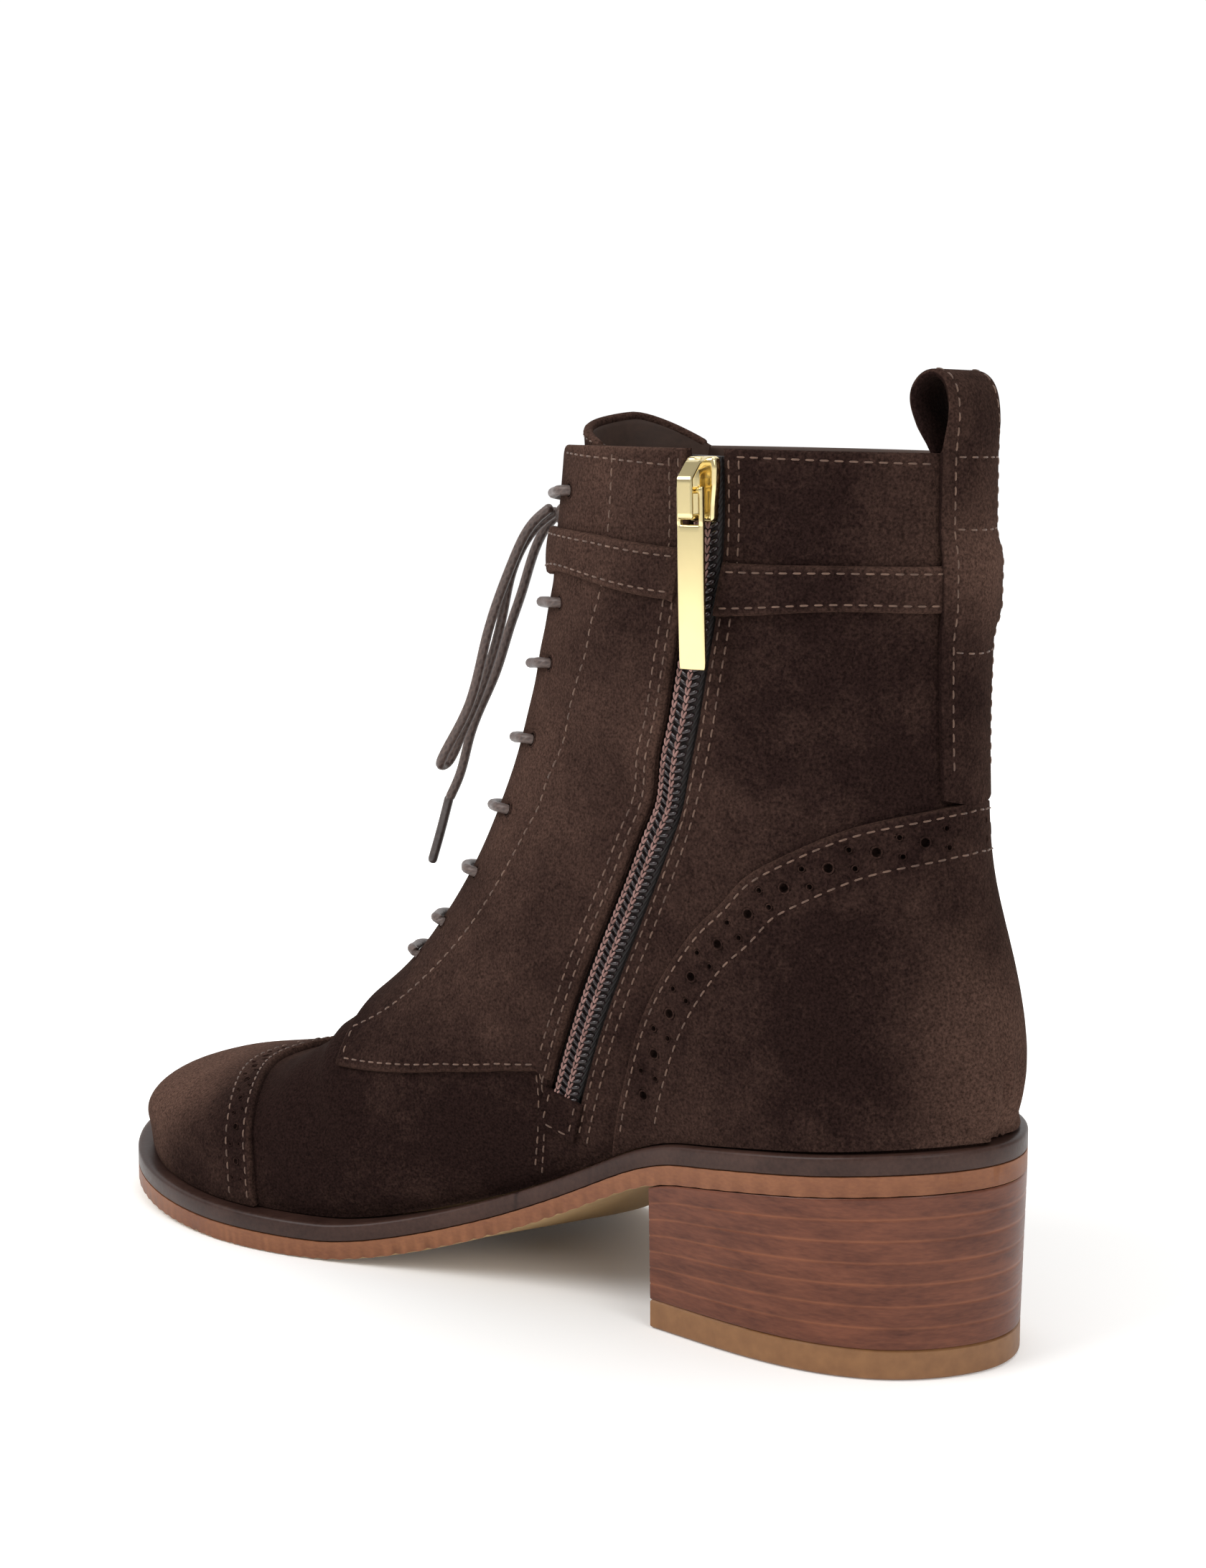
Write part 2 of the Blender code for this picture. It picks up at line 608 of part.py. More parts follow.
def side_grid(q, stops, side, lift):
    """Grid on one side of the last: rows q, columns spread between the stops (distances)."""
    distance = np.concatenate([
        first[:, None] + (second - first)[:, None] * np.linspace(0.0, 1.0, cells + 1)[None, (k > 0):]
        for k, (first, second, cells) in enumerate(stops)
    ], 1)
    girth = half_girth(q, side)[:, None]
    share = np.clip(distance / girth, 0.0, 1.0)
    facing = line(FACING, q)[:, None]
    rows = corner_drop(np.repeat(q[:, None], distance.shape[1], 1), distance - facing)
    return last_point(rows, share, side, lift)


def above_welt(points):
    """Points lifted where they would sink into the welt."""
    lowest = sole_top(points[..., 0], points[..., 1]) + LAYER
    return np.concatenate([points[..., :2], np.maximum(points[..., 2], lowest)[..., None]], -1)


def zip_spread(q):
    """Distance along the section for each millimetre square to the zip, which crosses it aslant."""
    q = np.maximum(q, ZIP_BOTTOM)
    behind, ahead = np.maximum(q - 0.2, ZIP_BOTTOM), np.minimum(q + 0.2, COLLAR)
    middle = line(ZIP_LINE, q)
    along = at_distance(ahead, line(ZIP_LINE, ahead), INNER)
    along = along - at_distance(behind, line(ZIP_LINE, behind), INNER)
    round_ = at_distance(q, middle + 1.0, INNER) - at_distance(q, middle - 1.0, INNER)
    cross = np.linalg.norm(np.cross(along, round_), axis=-1)
    return np.linalg.norm(along, axis=-1) * np.linalg.norm(round_, axis=-1) / cross


def make_upper(skins):
    """Hollow upper: open at the collar, down the throat, along the zip and under the foot."""
    q = np.concatenate([
        [0.0, 0.45],
        np.arange(1.0, 8.1),
        [THROAT, *INSTEP_ROWS, ZIP_BOTTOM, 11.7, *ANKLE_ROWS],
        np.arange(HEEL_SEAT, COLLAR - 0.5),
        [24.5, COLLAR],
    ])
    girth, outer_girth = half_girth(q, INNER), half_girth(q, OUTER)
    scale = np.clip(girth / SMALL_GIRTH, 0.0, 1.0)
    zero = np.zeros_like(q)
    facing = line(FACING, q) * scale
    beside = facing + BESIDE_FACING * scale
    slot = SLOT_HALF * scale * zip_spread(q)
    zip_middle = np.minimum(line(ZIP_LINE, q), 0.875 * girth)
    behind = np.maximum(girth - BACK_ROUND, (girth + zip_middle + slot) / 2.0)
    outer_behind = np.maximum(outer_girth - BACK_ROUND, 0.25 * beside + 0.75 * outer_girth)
    inner_stops = (
        (zero, facing, 2),
        (facing, beside, 2),
        (beside, zip_middle - slot, 3),
        (zip_middle - slot, zip_middle + slot, 1),
        (zip_middle + slot, behind, 3),
        (behind, girth, 2),
    )
    outer_stops = (
        (zero, facing, 2),
        (facing, beside, 2),
        (beside, outer_behind, 6),
        (outer_behind, outer_girth, 2),
    )
    layers = []
    for lift in (0.0, -WALL):
        inner = side_grid(q, inner_stops, INNER, lift)
        outer = side_grid(q, outer_stops, OUTER, lift)
        grid = above_welt(np.concatenate([outer[:, ::-1], inner[:, 1:]], 1))
        grid[0] = grid[0].mean(0)
        layers.append(grid)
    ridge = sum(cells for _, _, cells in outer_stops)
    keep = np.ones((len(q) - 1, layers[0].shape[1] - 1), bool)
    keep[q[:-1] >= THROAT, ridge - 2:ridge + 2] = False
    keep[q[:-1] >= ZIP_BOTTOM, ridge + 7] = False
    between("upper", layers[0], layers[1], skins["suede"], keep)


def make_tongue(skins):
    """Tongue behind the facings, rising above the collar in a shallow arch."""
    q = np.linspace(TONGUE_FOOT, COLLAR, 15)
    share = np.linspace(-1.0, 1.0, 9)
    half = line(TONGUE_HALF, q)
    layers = []
    for lift in (-WALL - LINING_GAP, -WALL - LINING_GAP - TONGUE_THICK):
        grid = tongue_grid(q, half, share, lift)
        tops = [grid]
        for step in (0.5, 1.0):
            reach = np.where(share > TONGUE_PEAK, 1.0 - TONGUE_PEAK, 1.0 + TONGUE_PEAK)
            from_peak = (share - TONGUE_PEAK) / reach
            rise = TONGUE_RISE * step * (1.0 - np.abs(from_peak) ** 1.5)
            lean = np.stack([TONGUE_LEAN * rise, 0.0 * rise, rise + TONGUE_RIM], -1)
            tops.append((grid[-1] + lean)[None])
        layers.append(np.concatenate(tops))
    between("tongue", layers[0], layers[1], skins["suede"])


def tongue_grid(q, half, share, lift):
    """Grid behind the throat from the outer to the inner side."""
    sides = []
    for side in (OUTER, INNER):
        part = share[share * side >= 0.0]
        distance = half[:, None] * np.abs(part)[None]
        grid = at_distance(np.repeat(q[:, None], len(part), 1), distance, side, lift)
        sides.append(grid[:, (1 if side == INNER else 0):])
    return np.concatenate(sides, 1)


def quarter_rear(q):
    """Distance of the facing quarter's rear edge: along the vamp first, then beside the zip."""
    beside_zip = line(ZIP_LINE, q) - SLOT_HALF * zip_spread(q)
    return np.where(q < 11.5, line(QUARTER_LOW, q), beside_zip)


def make_quarters(skins):
    """Facing quarters laid on the upper from the throat to the zip line, one on each side."""
    q = np.concatenate([
        [QUARTER_FRONT, *INSTEP_ROWS, ZIP_BOTTOM, 11.5, 11.7, *ANKLE_ROWS[::2]],
        np.arange(HEEL_SEAT, COLLAR - 0.5),
        [24.5, COLLAR],
    ])
    facing, rear = line(FACING, q), quarter_rear(q)
    for name, side in (("quarter_medial", INNER), ("quarter_lateral", OUTER)):
        stops = ((facing, rear, 6),)
        top = side_grid(q, stops, side, LAYER + LEATHER)
        bottom = side_grid(q, stops, side, LAYER)
        between(name, top, bottom, skins["suede"])


def make_toe_cap(skins):
    """Toe cap laid on the vamp, its rear edge swept back on both sides."""
    share = np.linspace(-1.0, 1.0, 21)
    along = np.linspace(0.0, 1.0, 10)
    edge = table(CAP_EDGE, np.abs(share))
    tip = on_section(np.zeros(1), np.zeros(1), INNER)[0]
    layers = []
    for lift in (LAYER + LEATHER, LAYER):
        sides = []
        for side, chosen in ((OUTER, share <= 0.0), (INNER, share > 0.0)):
            q = along[:, None] * edge[None, chosen]
            part = np.repeat(PANEL_FOOT * np.abs(share[chosen])[None], len(along), 0)
            sides.append(above_welt(last_point(q, part, side, lift)))
        grid = np.concatenate(sides, 1)
        grid[0] = above_welt(tip + (lift, 0.0, 0.0))
        layers.append(grid)
    between("toe_cap", layers[0], layers[1], skins["suede"])


def make_counter(skins):
    """Heel counter: one piece round the back, its top edge an arch on both sides."""
    rows = np.array(COUNTER_EDGE)
    numbers = np.arange(len(rows), dtype=float)
    at = np.linspace(0.0, numbers[-1], 22)
    q, edge = spline(numbers, rows, at).T
    edge = np.minimum(edge, 1.0)
    mix = 1.0 - (1.0 - np.linspace(0.0, 1.0, 7)[None]) ** 1.5
    lowest = np.where(q < HEEL_SEAT, PANEL_FOOT, 1.0)[:, None]
    share = np.minimum(edge[:, None] + (1.0 - edge[:, None]) * mix, lowest)
    behind = q >= HEEL_SEAT
    layers = []
    for lift in (LAYER + LEATHER, LAYER):
        inner = above_welt(last_point(np.repeat(q[:, None], 7, 1), share, INNER, lift))
        outer = above_welt(last_point(np.repeat(q[:, None], 7, 1), share, OUTER, lift))
        middle = (inner[behind, -1] + outer[behind, -1]) / 2.0
        inner[behind, -1] = middle
        outer[behind, -1] = middle
        layers.append(np.concatenate([inner, outer[:, ::-1]], 1))
    first, second = layers
    keep = np.ones((len(q) - 1, first.shape[1] - 1), bool)
    keep[:, 6] = False
    between("heel_counter", first, second, skins["suede"], keep)


def strap_piece(name, side, start, stop, lift, skins):
    """Piece of the strap between two distances from the ridge."""
    rows = np.array(STRAP)
    distance = np.linspace(start, stop, max(6, int((stop - start) / 5.0)))
    low = spline(rows[:, 0], rows[:, 1], distance)
    high = spline(rows[:, 0], rows[:, 2], distance)
    q = low[:, None] + (high - low)[:, None] * np.linspace(0.0, 1.0, 4)[None]
    along = np.repeat(distance[:, None], 4, 1)
    top = at_distance(q, along, side, lift + LEATHER)
    bottom = at_distance(q, along, side, lift)
    between(name, top, bottom, skins["suede"])


def make_straps(skins):
    """Strap round the shaft in four pieces, on the quarters in front and on the upper behind."""
    on_quarter = 2.0 * LAYER + LEATHER
    at_facing, at_zip, at_back = STRAP_CROSSES
    aside = SLOT_HALF + STRAP_GAP[1]
    zip_place = float(line(ZIP_LINE, at_zip))
    at_strip = float(half_girth(at_back, INNER)[0]) - STRAP_TUCK
    front = float(line(FACING, at_facing)) + STRAP_GAP[0]
    for side, word, behind in ((INNER, "medial", aside), (OUTER, "lateral", 1.0 - SLOT_HALF)):
        strap_piece(f"strap_{word}_front", side, front, zip_place - aside, on_quarter, skins)
        strap_piece(f"strap_{word}_rear", side, zip_place + behind, at_strip, LAYER, skins)


def back_band(q, half, lift, columns=7):
    """Grid across the back line, its columns even from one edge to the other."""
    reach = np.linspace(-1.0, 1.0, columns)
    sides = []
    for side in (INNER, OUTER):
        part = np.sort(np.abs(reach[reach * side >= 0.0]))[::-1]
        girth = half_girth(q, side)[:, None]
        distance = girth - half[:, None] * part[None]
        rows = np.repeat(q[:, None], len(part), 1)
        grid = at_distance(rows, distance, side, np.broadcast_to(np.reshape(lift, (-1, 1)), rows.shape))
        sides.append(grid if side == INNER else grid[:, ::-1][:, 1:])
    return np.concatenate(sides, 1)


def make_back(skins):
    """Strip up the back line from the counter, over the strap's ends, with the pull loop on top."""
    rows = np.array(BACK_STRIP)
    q = np.sort(np.concatenate([rows[:, 0], [21.7, 22.5, 23.35, 24.4, 24.7]]))
    half = line(rows[:, :2], q)
    over = LAYER + line(rows[:, (0, 2)], q)
    inside = np.linspace(COLLAR, COLLAR - LOOP_LEG, 4)
    inside_half = np.full_like(inside, half[-1])
    layers = []
    for rise, shift in ((STRIP_THICK, 0.5), (0.0, -0.5)):
        outside = back_band(q, half, over + rise)
        lining = back_band(inside, inside_half, np.full_like(inside, -WALL - LINING_GAP - rise))
        layers.append(np.concatenate([outside, loop_rows(outside[-1], lining[0], shift), lining]))
    between("back_strip", layers[0], layers[1], skins["suede"])


def loop_rows(outside, lining, shift):
    """Rows of the loop above the collar, blending from the outer leg's bow to the inner leg's."""
    middle = len(outside) // 2
    legs = [np.array([row[middle, 0], row[middle, 2]]) for row in (outside, lining)]
    route = np.vstack([legs[0], LOOP_PATH, legs[1]])
    keys = np.concatenate([[0.0], np.cumsum(np.linalg.norm(np.diff(route, axis=0), axis=1))])
    at = np.linspace(0.0, keys[-1], 14)[1:-1]
    ahead = spline(keys, route, at + 0.4) - spline(keys, route, at - 0.4)
    ahead /= np.linalg.norm(ahead, axis=1)[:, None]
    out = np.stack([-ahead[:, 1], ahead[:, 0]], 1)
    share = (at / keys[-1])[:, None]
    from_legs = np.minimum(1.0, 6.0 * np.minimum(share, 1.0 - share))
    centre = spline(keys, route, at) + out * shift * STRIP_THICK * from_legs
    bow = (outside[:, 0] - legs[0][0])[None] * (1.0 - share) + (lining[:, 0] - legs[1][0])[None] * share
    bow = bow * np.abs(2.0 * share - 1.0)
    half = outside[:, 1][None] * (1.0 - share) + lining[:, 1][None] * share
    return np.stack([centre[:, :1] + bow, half, np.repeat(centre[:, 1:], len(outside), 1)], -1)


def make_zip(skins):
    """Zip tape behind the slot, the closed chain in it, the slider and its pull."""
    q = np.concatenate([np.linspace(ZIP_BOTTOM + 0.12, 13.0, 6), np.linspace(13.8, COLLAR - 0.15, 14)])
    middle = line(ZIP_LINE, q)
    bands = (
        ("zip_tape", TAPE_HALF, -WALL - LAYER, TAPE_THICK, 4, "zip_cloth"),
        ("zip_chain", CHAIN_HALF, -CHAIN_SUNK, WALL - CHAIN_SUNK + LAYER - GAP, 3, "zip_coil"),
    )
    for name, half, lift, thick, columns, skin in bands:
        distance = middle[:, None] + half * zip_spread(q)[:, None] * np.linspace(-1.0, 1.0, columns)[None]
        rows = np.repeat(q[:, None], columns, 1)
        top = at_distance(rows, distance, INNER, lift)
        bottom = at_distance(rows, distance, INNER, lift - thick)
        between(name, top, bottom, skins[skin])
    make_slider(skins)


def zip_frame():
    """Place on the chain under the slider, with the directions across, up the zip and outwards."""
    def chain(q, aside=0.0):
        return at_distance(np.array([q]), line(ZIP_LINE, q) + aside, INNER, 0.0)[0]

    origin = chain(SLIDER_AT)
    up = chain(SLIDER_AT + 0.4) - chain(SLIDER_AT - 0.4)
    up /= np.linalg.norm(up)
    across = chain(SLIDER_AT, 1.0) - chain(SLIDER_AT, -1.0)
    outwards = np.cross(up, across)
    outwards *= np.sign(outwards[1]) / np.linalg.norm(outwards)
    across = np.cross(up, outwards)
    return origin, np.stack([across, up, outwards])


def make_slider(skins):
    """Slider body with its bridge, and the pull that hangs from the bridge."""
    frame = zip_frame()
    wide, long = SLIDER_HALF
    shares, narrow = np.array(SLIDER_ROWS).T
    rows = long * shares
    columns = np.linspace(-wide, wide, 5)
    floor = GAP
    layers = []
    for height in (floor + SLIDER_THICK, floor):
        origin, axes = frame
        local = np.stack([narrow[:, None] * columns[None], np.repeat(rows[:, None], 5, 1),
                          np.full((5, 5), height)], -1)
        layers.append(origin + local @ axes)
    slider = between("zip_slider", layers[0], layers[1], skins["gold_metal"])

    top = floor + SLIDER_THICK
    half, reach = BRIDGE_HALF
    turn = np.linspace(0.0, np.pi, 9)
    layers = []
    for grow in (0.0, -BRIDGE_BAR):
        origin, axes = frame
        run = -(reach + grow) * np.cos(turn)
        rise = top - BRIDGE_SUNK + (BRIDGE_SUNK + BRIDGE_RISE + grow) * np.sin(turn) ** 0.5
        rise[[0, -1]] = top - BRIDGE_SUNK
        local = np.stack([np.repeat(half * np.array([[-1.0, 1.0]]), 9, 0),
                          np.repeat(run[:, None], 2, 1), np.repeat(rise[:, None], 2, 1)], -1)
        layers.append(origin + local @ axes)
    bridge = between("zip_bridge", layers[0], layers[1], skins["gold_metal"])
    bridge.hide_render = True
    bridge.display_type = "WIRE"
    joined = slider.modifiers.new("bridge", "BOOLEAN")
    joined.operation = "UNION"
    joined.object = bridge
    make_pull(skins, frame, top)


def make_pull(skins, frame, top):
    """Flat bar with a window for the bridge; its origin lies on the hinge axis under the bridge."""
    origin, axes = frame
    pin = top + BRIDGE_RISE - BRIDGE_BAR - PULL_PLAY - PULL_THICK / 2.0 * 2.0 ** 0.5
    hinge = origin + pin * axes[2]
    wide, window = PULL_WINDOW
    bar = PULL_THICK / 2.0
    columns = np.array([-PULL_HALF, -wide, wide, PULL_HALF])
    cut, end_share = PULL_CORNER
    rows = -np.array([-bar, bar, window, *PULL_ROWS, PULL_LENGTH - cut, PULL_LENGTH])
    narrow = np.where(rows > -PULL_LENGTH, 1.0, end_share)
    layers = []
    for height in (bar, -bar):
        local = np.stack([narrow[:, None] * columns[None], np.repeat(rows[:, None], 4, 1),
                          np.full((7, 4), height)], -1)
        layers.append(hinge + local @ axes)
    keep = np.ones((6, 3), bool)
    keep[1, 1] = False
    axis_point = place(hinge)
    pull = between("zip_pull", layers[0], layers[1], skins["gold_metal"], keep, axis_point)
    pull.location = Vector(axis_point)


def level_point(height, sections, distance, side, lift):
    """Point at one height and one distance from the ridge."""
    heights = at_distance(sections, np.full_like(sections, distance), side)[:, 2]
    q = np.interp(height, heights, sections)
    return at_distance(np.array([q]), np.array([distance]), side, lift)[0]


def make_laces(skins):
    """Bars of lace across the throat, the knot on the top bar, and the free loop and end."""
    clear = LAYER + LEATHER + BAR_CLEAR + LACE_RADIUS
    sections = np.linspace(THROAT, COLLAR, 120)
    ridge_height = at_distance(sections, np.full_like(sections, 12.0), INNER)[:, 2]
    for number, height in enumerate(LACE_BARS, 1):
        edge = float(line(FACING, np.interp(height, ridge_height, sections)))
        profile = (
            (edge + EYELET_SET_BACK, clear),
            (edge + 0.6 * EYELET_SET_BACK, clear + BAR_RISE[0]),
            (edge + 1.0, clear + BAR_RISE[1]),
            (0.6 * edge, BAR_BRIDGE[0]),
            (0.0, BAR_BRIDGE[1]),
        )
        routes = {}
        for side in (INNER, OUTER):
            routes[side] = [
                level_point(height - BAR_DROOP * (1.0 - away / profile[0][0]), sections, away, side, lift)
                for away, lift in profile
            ]
        route = routes[INNER] + routes[OUTER][-2::-1]
        tube(f"lace_bar_{number}", route, LACE_RADIUS, skins["lace_cord"])

    knot = bmesh.new()
    bmesh.ops.create_uvsphere(knot, u_segments=12, v_segments=7, radius=1.0)
    bmesh.ops.transform(knot, matrix=Matrix.Diagonal((*(Vector(KNOT_HALF) * MM), 1.0)), verts=knot.verts)
    bmesh.ops.translate(knot, vec=Vector(place(KNOT_AT)), verts=knot.verts)
    mesh = bpy.data.meshes.new("lace_knot")
    knot.to_mesh(mesh)
    knot.free()
    mesh.shade_smooth()
    add_object("lace_knot", mesh, skins["lace_cord"])
    tube("lace_loop", LOOP_ROUTE, LACE_RADIUS, skins["lace_cord"])
    tube("lace_end", END_ROUTE, LACE_RADIUS, skins["lace_cord"])
    tube("lace_tip", TIP_ROUTE, LACE_RADIUS, skins["lace_tip"])


def clear_scene():
    """Remove the objects that the scene starts with."""
    for old in list(bpy.data.objects):
        bpy.data.objects.remove(old, do_unlink=True)


def main():
    """Build every piece of the boot."""
    clear_scene()
    skins = {
        "suede": material("suede", (0.042, 0.024, 0.018), 0.92),
        "sole_leather": material("sole_leather", (0.32, 0.105, 0.035), 0.5),
        "welt_leather": material("welt_leather", (0.075, 0.035, 0.025), 0.5),
        "insole_leather": material("insole_leather", (0.30, 0.19, 0.11), 0.7),
        "heel_leather": material("heel_leather", (0.19, 0.065, 0.03), 0.45),
        "lift_rubber": material("lift_rubber", (0.35, 0.19, 0.075), 0.6),
        "zip_cloth": material("zip_cloth", (0.05, 0.028, 0.022), 0.9),
        "zip_coil": material("zip_coil", (0.14, 0.075, 0.06), 0.5),
        "gold_metal": material("gold_metal", (0.75, 0.56, 0.28), 0.22, 1.0),
        "lace_cord": material("lace_cord", (0.09, 0.062, 0.054), 0.6),
        "lace_tip": material("lace_tip", (0.05, 0.035, 0.03), 0.35),
    }
    make_sole(skins)
    make_upper(skins)
    make_tongue(skins)
    make_quarters(skins)
    make_toe_cap(skins)
    make_counter(skins)
    make_straps(skins)
    make_back(skins)
    make_zip(skins)
    make_laces(skins)


main()
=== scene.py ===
"""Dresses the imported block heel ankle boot: suede, stitching, zip, laces, stacked heel and a studio.

Lengths are millimetres in the boot's own frame (x from the back of the heel to the toe, y towards
the inner side of the foot, z up from the floor) until a mesh goes into the scene in metres.
"""

import json
import logging
from dataclasses import dataclass, field
from enum import Enum
from typing import Callable, Optional, Sequence, Union

import bmesh
import bpy
import numpy as np
from bpy.types import Material, Node, NodeSocket, NodeTree, Object
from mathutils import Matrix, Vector

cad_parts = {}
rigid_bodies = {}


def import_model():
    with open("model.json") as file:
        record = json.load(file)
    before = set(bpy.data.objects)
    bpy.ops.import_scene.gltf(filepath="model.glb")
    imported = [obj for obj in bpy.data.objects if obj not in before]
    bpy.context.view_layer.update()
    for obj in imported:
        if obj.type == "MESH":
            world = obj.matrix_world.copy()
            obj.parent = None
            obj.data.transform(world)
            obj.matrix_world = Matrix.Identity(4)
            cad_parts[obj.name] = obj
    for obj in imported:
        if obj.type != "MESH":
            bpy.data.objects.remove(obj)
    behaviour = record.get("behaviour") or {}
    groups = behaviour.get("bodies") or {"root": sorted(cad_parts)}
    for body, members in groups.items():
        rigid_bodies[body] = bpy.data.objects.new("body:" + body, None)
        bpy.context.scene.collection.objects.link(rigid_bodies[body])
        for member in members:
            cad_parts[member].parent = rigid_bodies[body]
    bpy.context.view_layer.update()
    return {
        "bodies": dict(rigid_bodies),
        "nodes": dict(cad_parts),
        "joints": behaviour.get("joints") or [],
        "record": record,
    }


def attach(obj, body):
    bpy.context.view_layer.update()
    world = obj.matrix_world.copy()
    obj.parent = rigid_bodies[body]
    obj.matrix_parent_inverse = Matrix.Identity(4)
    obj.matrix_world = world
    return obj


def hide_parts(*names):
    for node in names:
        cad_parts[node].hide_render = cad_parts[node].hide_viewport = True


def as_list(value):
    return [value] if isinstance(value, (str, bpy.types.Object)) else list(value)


LOG = logging.getLogger("boot")
MM = 0.001
LENGTH = 266.0
CENTRE_Y = -0.3
# Types that come often
Array = np.ndarray
Places = Sequence[tuple[float, float]]
Lift = Union[float, Array]
Three = tuple[float, float, float]
Pair = tuple[Array, Array]
Triple = tuple[Array, Array, Array]


class Side(Enum):
    """Half of the boot: the inner one, where the zip is, or the outer one."""

    INNER = 1
    OUTER = -1


class End(Enum):
    """Piece of the strap: the one in front of the zip or the one behind it."""

    FRONT = "front"
    REAR = "rear"


class Body(Enum):
    """Moving group that a piece rides on."""

    BOOT = "boot"
    PULL = "zip_pull"


# Curves and small maths


def spline(keys: Array, values: Array, at: Array) -> Array:
    """Natural cubic curve: second derivatives solve the usual three-band system.

    Args:
        keys: rising places of the known rows.
        values: one row of values for each key.
        at: places to read.

    Returns:
        Values at the places.
    """
    keys, values = np.asarray(keys, float), np.asarray(values, float)
    steps, count = np.diff(keys), len(keys)
    system, right = np.eye(count), np.zeros(values.shape)
    for row in range(1, count - 1):
        before, after = steps[row - 1], steps[row]
        system[row, row - 1:row + 2] = before, 2.0 * (before + after), after
        right[row] = 6.0 * ((values[row + 1] - values[row]) / after - (values[row] - values[row - 1]) / before)
    bend = np.linalg.solve(system, right)
    at = np.clip(np.asarray(at, float), keys[0], keys[-1])
    k = np.clip(np.searchsorted(keys, at, side="right") - 1, 0, count - 2)
    shape = at.shape + (1,) * (values.ndim - 1)
    along, step = (at - keys[k]).reshape(shape), steps[k].reshape(shape)
    slope = (values[k + 1] - values[k]) / step - step * (2.0 * bend[k] + bend[k + 1]) / 6.0
    curl = (bend[k + 1] - bend[k]) / (6.0 * step)
    return values[k] + along * (slope + along * (bend[k] / 2.0 + along * curl))


def line(rows: Sequence[Sequence[float]], at: Array) -> Array:
    """Second column of a table of pairs, as straight runs over the first."""
    rows = np.asarray(rows, float)
    return np.interp(at, rows[:, 0], rows[:, 1])


def ease(share: Array) -> Array:
    """Smooth step from 0 to 1."""
    share = np.clip(share, 0.0, 1.0)
    return share * share * (3.0 - 2.0 * share)


def unit(vectors: Array) -> Array:
    """Vectors scaled to length one."""
    return vectors / (np.linalg.norm(vectors, axis=-1, keepdims=True) + 1e-12)


def lengths(points: Array) -> Array:
    """Run of a line of points from its start."""
    return np.concatenate([[0.0], np.cumsum(np.linalg.norm(np.diff(points, axis=0), axis=1))])


def read(at: Array, run: Array, rows: Array) -> Array:
    """All columns of a table, as straight runs over its places."""
    return np.stack([np.interp(at, run, rows[:, k]) for k in range(rows.shape[1])], -1)


def resample(points: Array, step: float) -> Array:
    """Smooth curve through points, read at even steps.

    Args:
        points: points that the curve goes through.
        step: about the length of one step.

    Returns:
        Points of the curve.
    """
    run = lengths(points)
    count = max(3, int(round(run[-1] / step)) + 1)
    return spline(run, points, np.linspace(0.0, run[-1], count))


def rounded_drop(edge: Array, radius: float) -> Array:
    """Fall of a face near its border: a quarter circle over the given distance from the edge."""
    left = radius - np.clip(edge, 0.0, radius)
    return radius - np.sqrt(np.maximum(radius ** 2 - left ** 2, 0.0))


def crowded(count: int, amount: float = 0.6) -> Array:
    """Shares from 0 to 1, closer together near both ends."""
    even = np.linspace(0.0, 1.0, count)
    return (1.0 - amount) * even + amount * (0.5 - 0.5 * np.cos(np.pi * even))


def place(points: Array) -> Array:
    """Metres from millimetres, with the origin under the middle of the sole."""
    return (np.asarray(points, float) - (LENGTH / 2.0, CENTRE_Y, 0.0)) * MM


# Shape of the sole and of the last


@dataclass
class SoleLine:
    """An outline split at toe and heel, read on each side by its share from toe to heel."""

    ring: Array

    def at(self, side: Side, share: Array) -> Array:
        """Points of one side of the outline.

        Args:
            side: half of the boot.
            share: shares of the side's length, from toe to heel.

        Returns:
            Plan points.
        """
        toe, heel = self.ring[:, 0].argmax(), self.ring[:, 0].argmin()
        rolled = np.roll(self.ring, -heel, axis=0)
        split = (toe - heel) % len(self.ring)
        inner, outer = rolled[:split + 1][::-1], np.vstack([rolled[split:], rolled[:1]])
        points = inner if side is Side.INNER else outer
        run = lengths(points)
        return read(share, run / run[-1], points)

    def across(self, shares: Array, mix: Array) -> Array:
        """Grid from the inner to the outer side: straight mixes of the two at each share."""
        inner, outer = self.at(Side.INNER, shares), self.at(Side.OUTER, shares)
        return inner[:, None] * (1.0 - mix[None, :, None]) + outer[:, None] * mix[None, :, None]


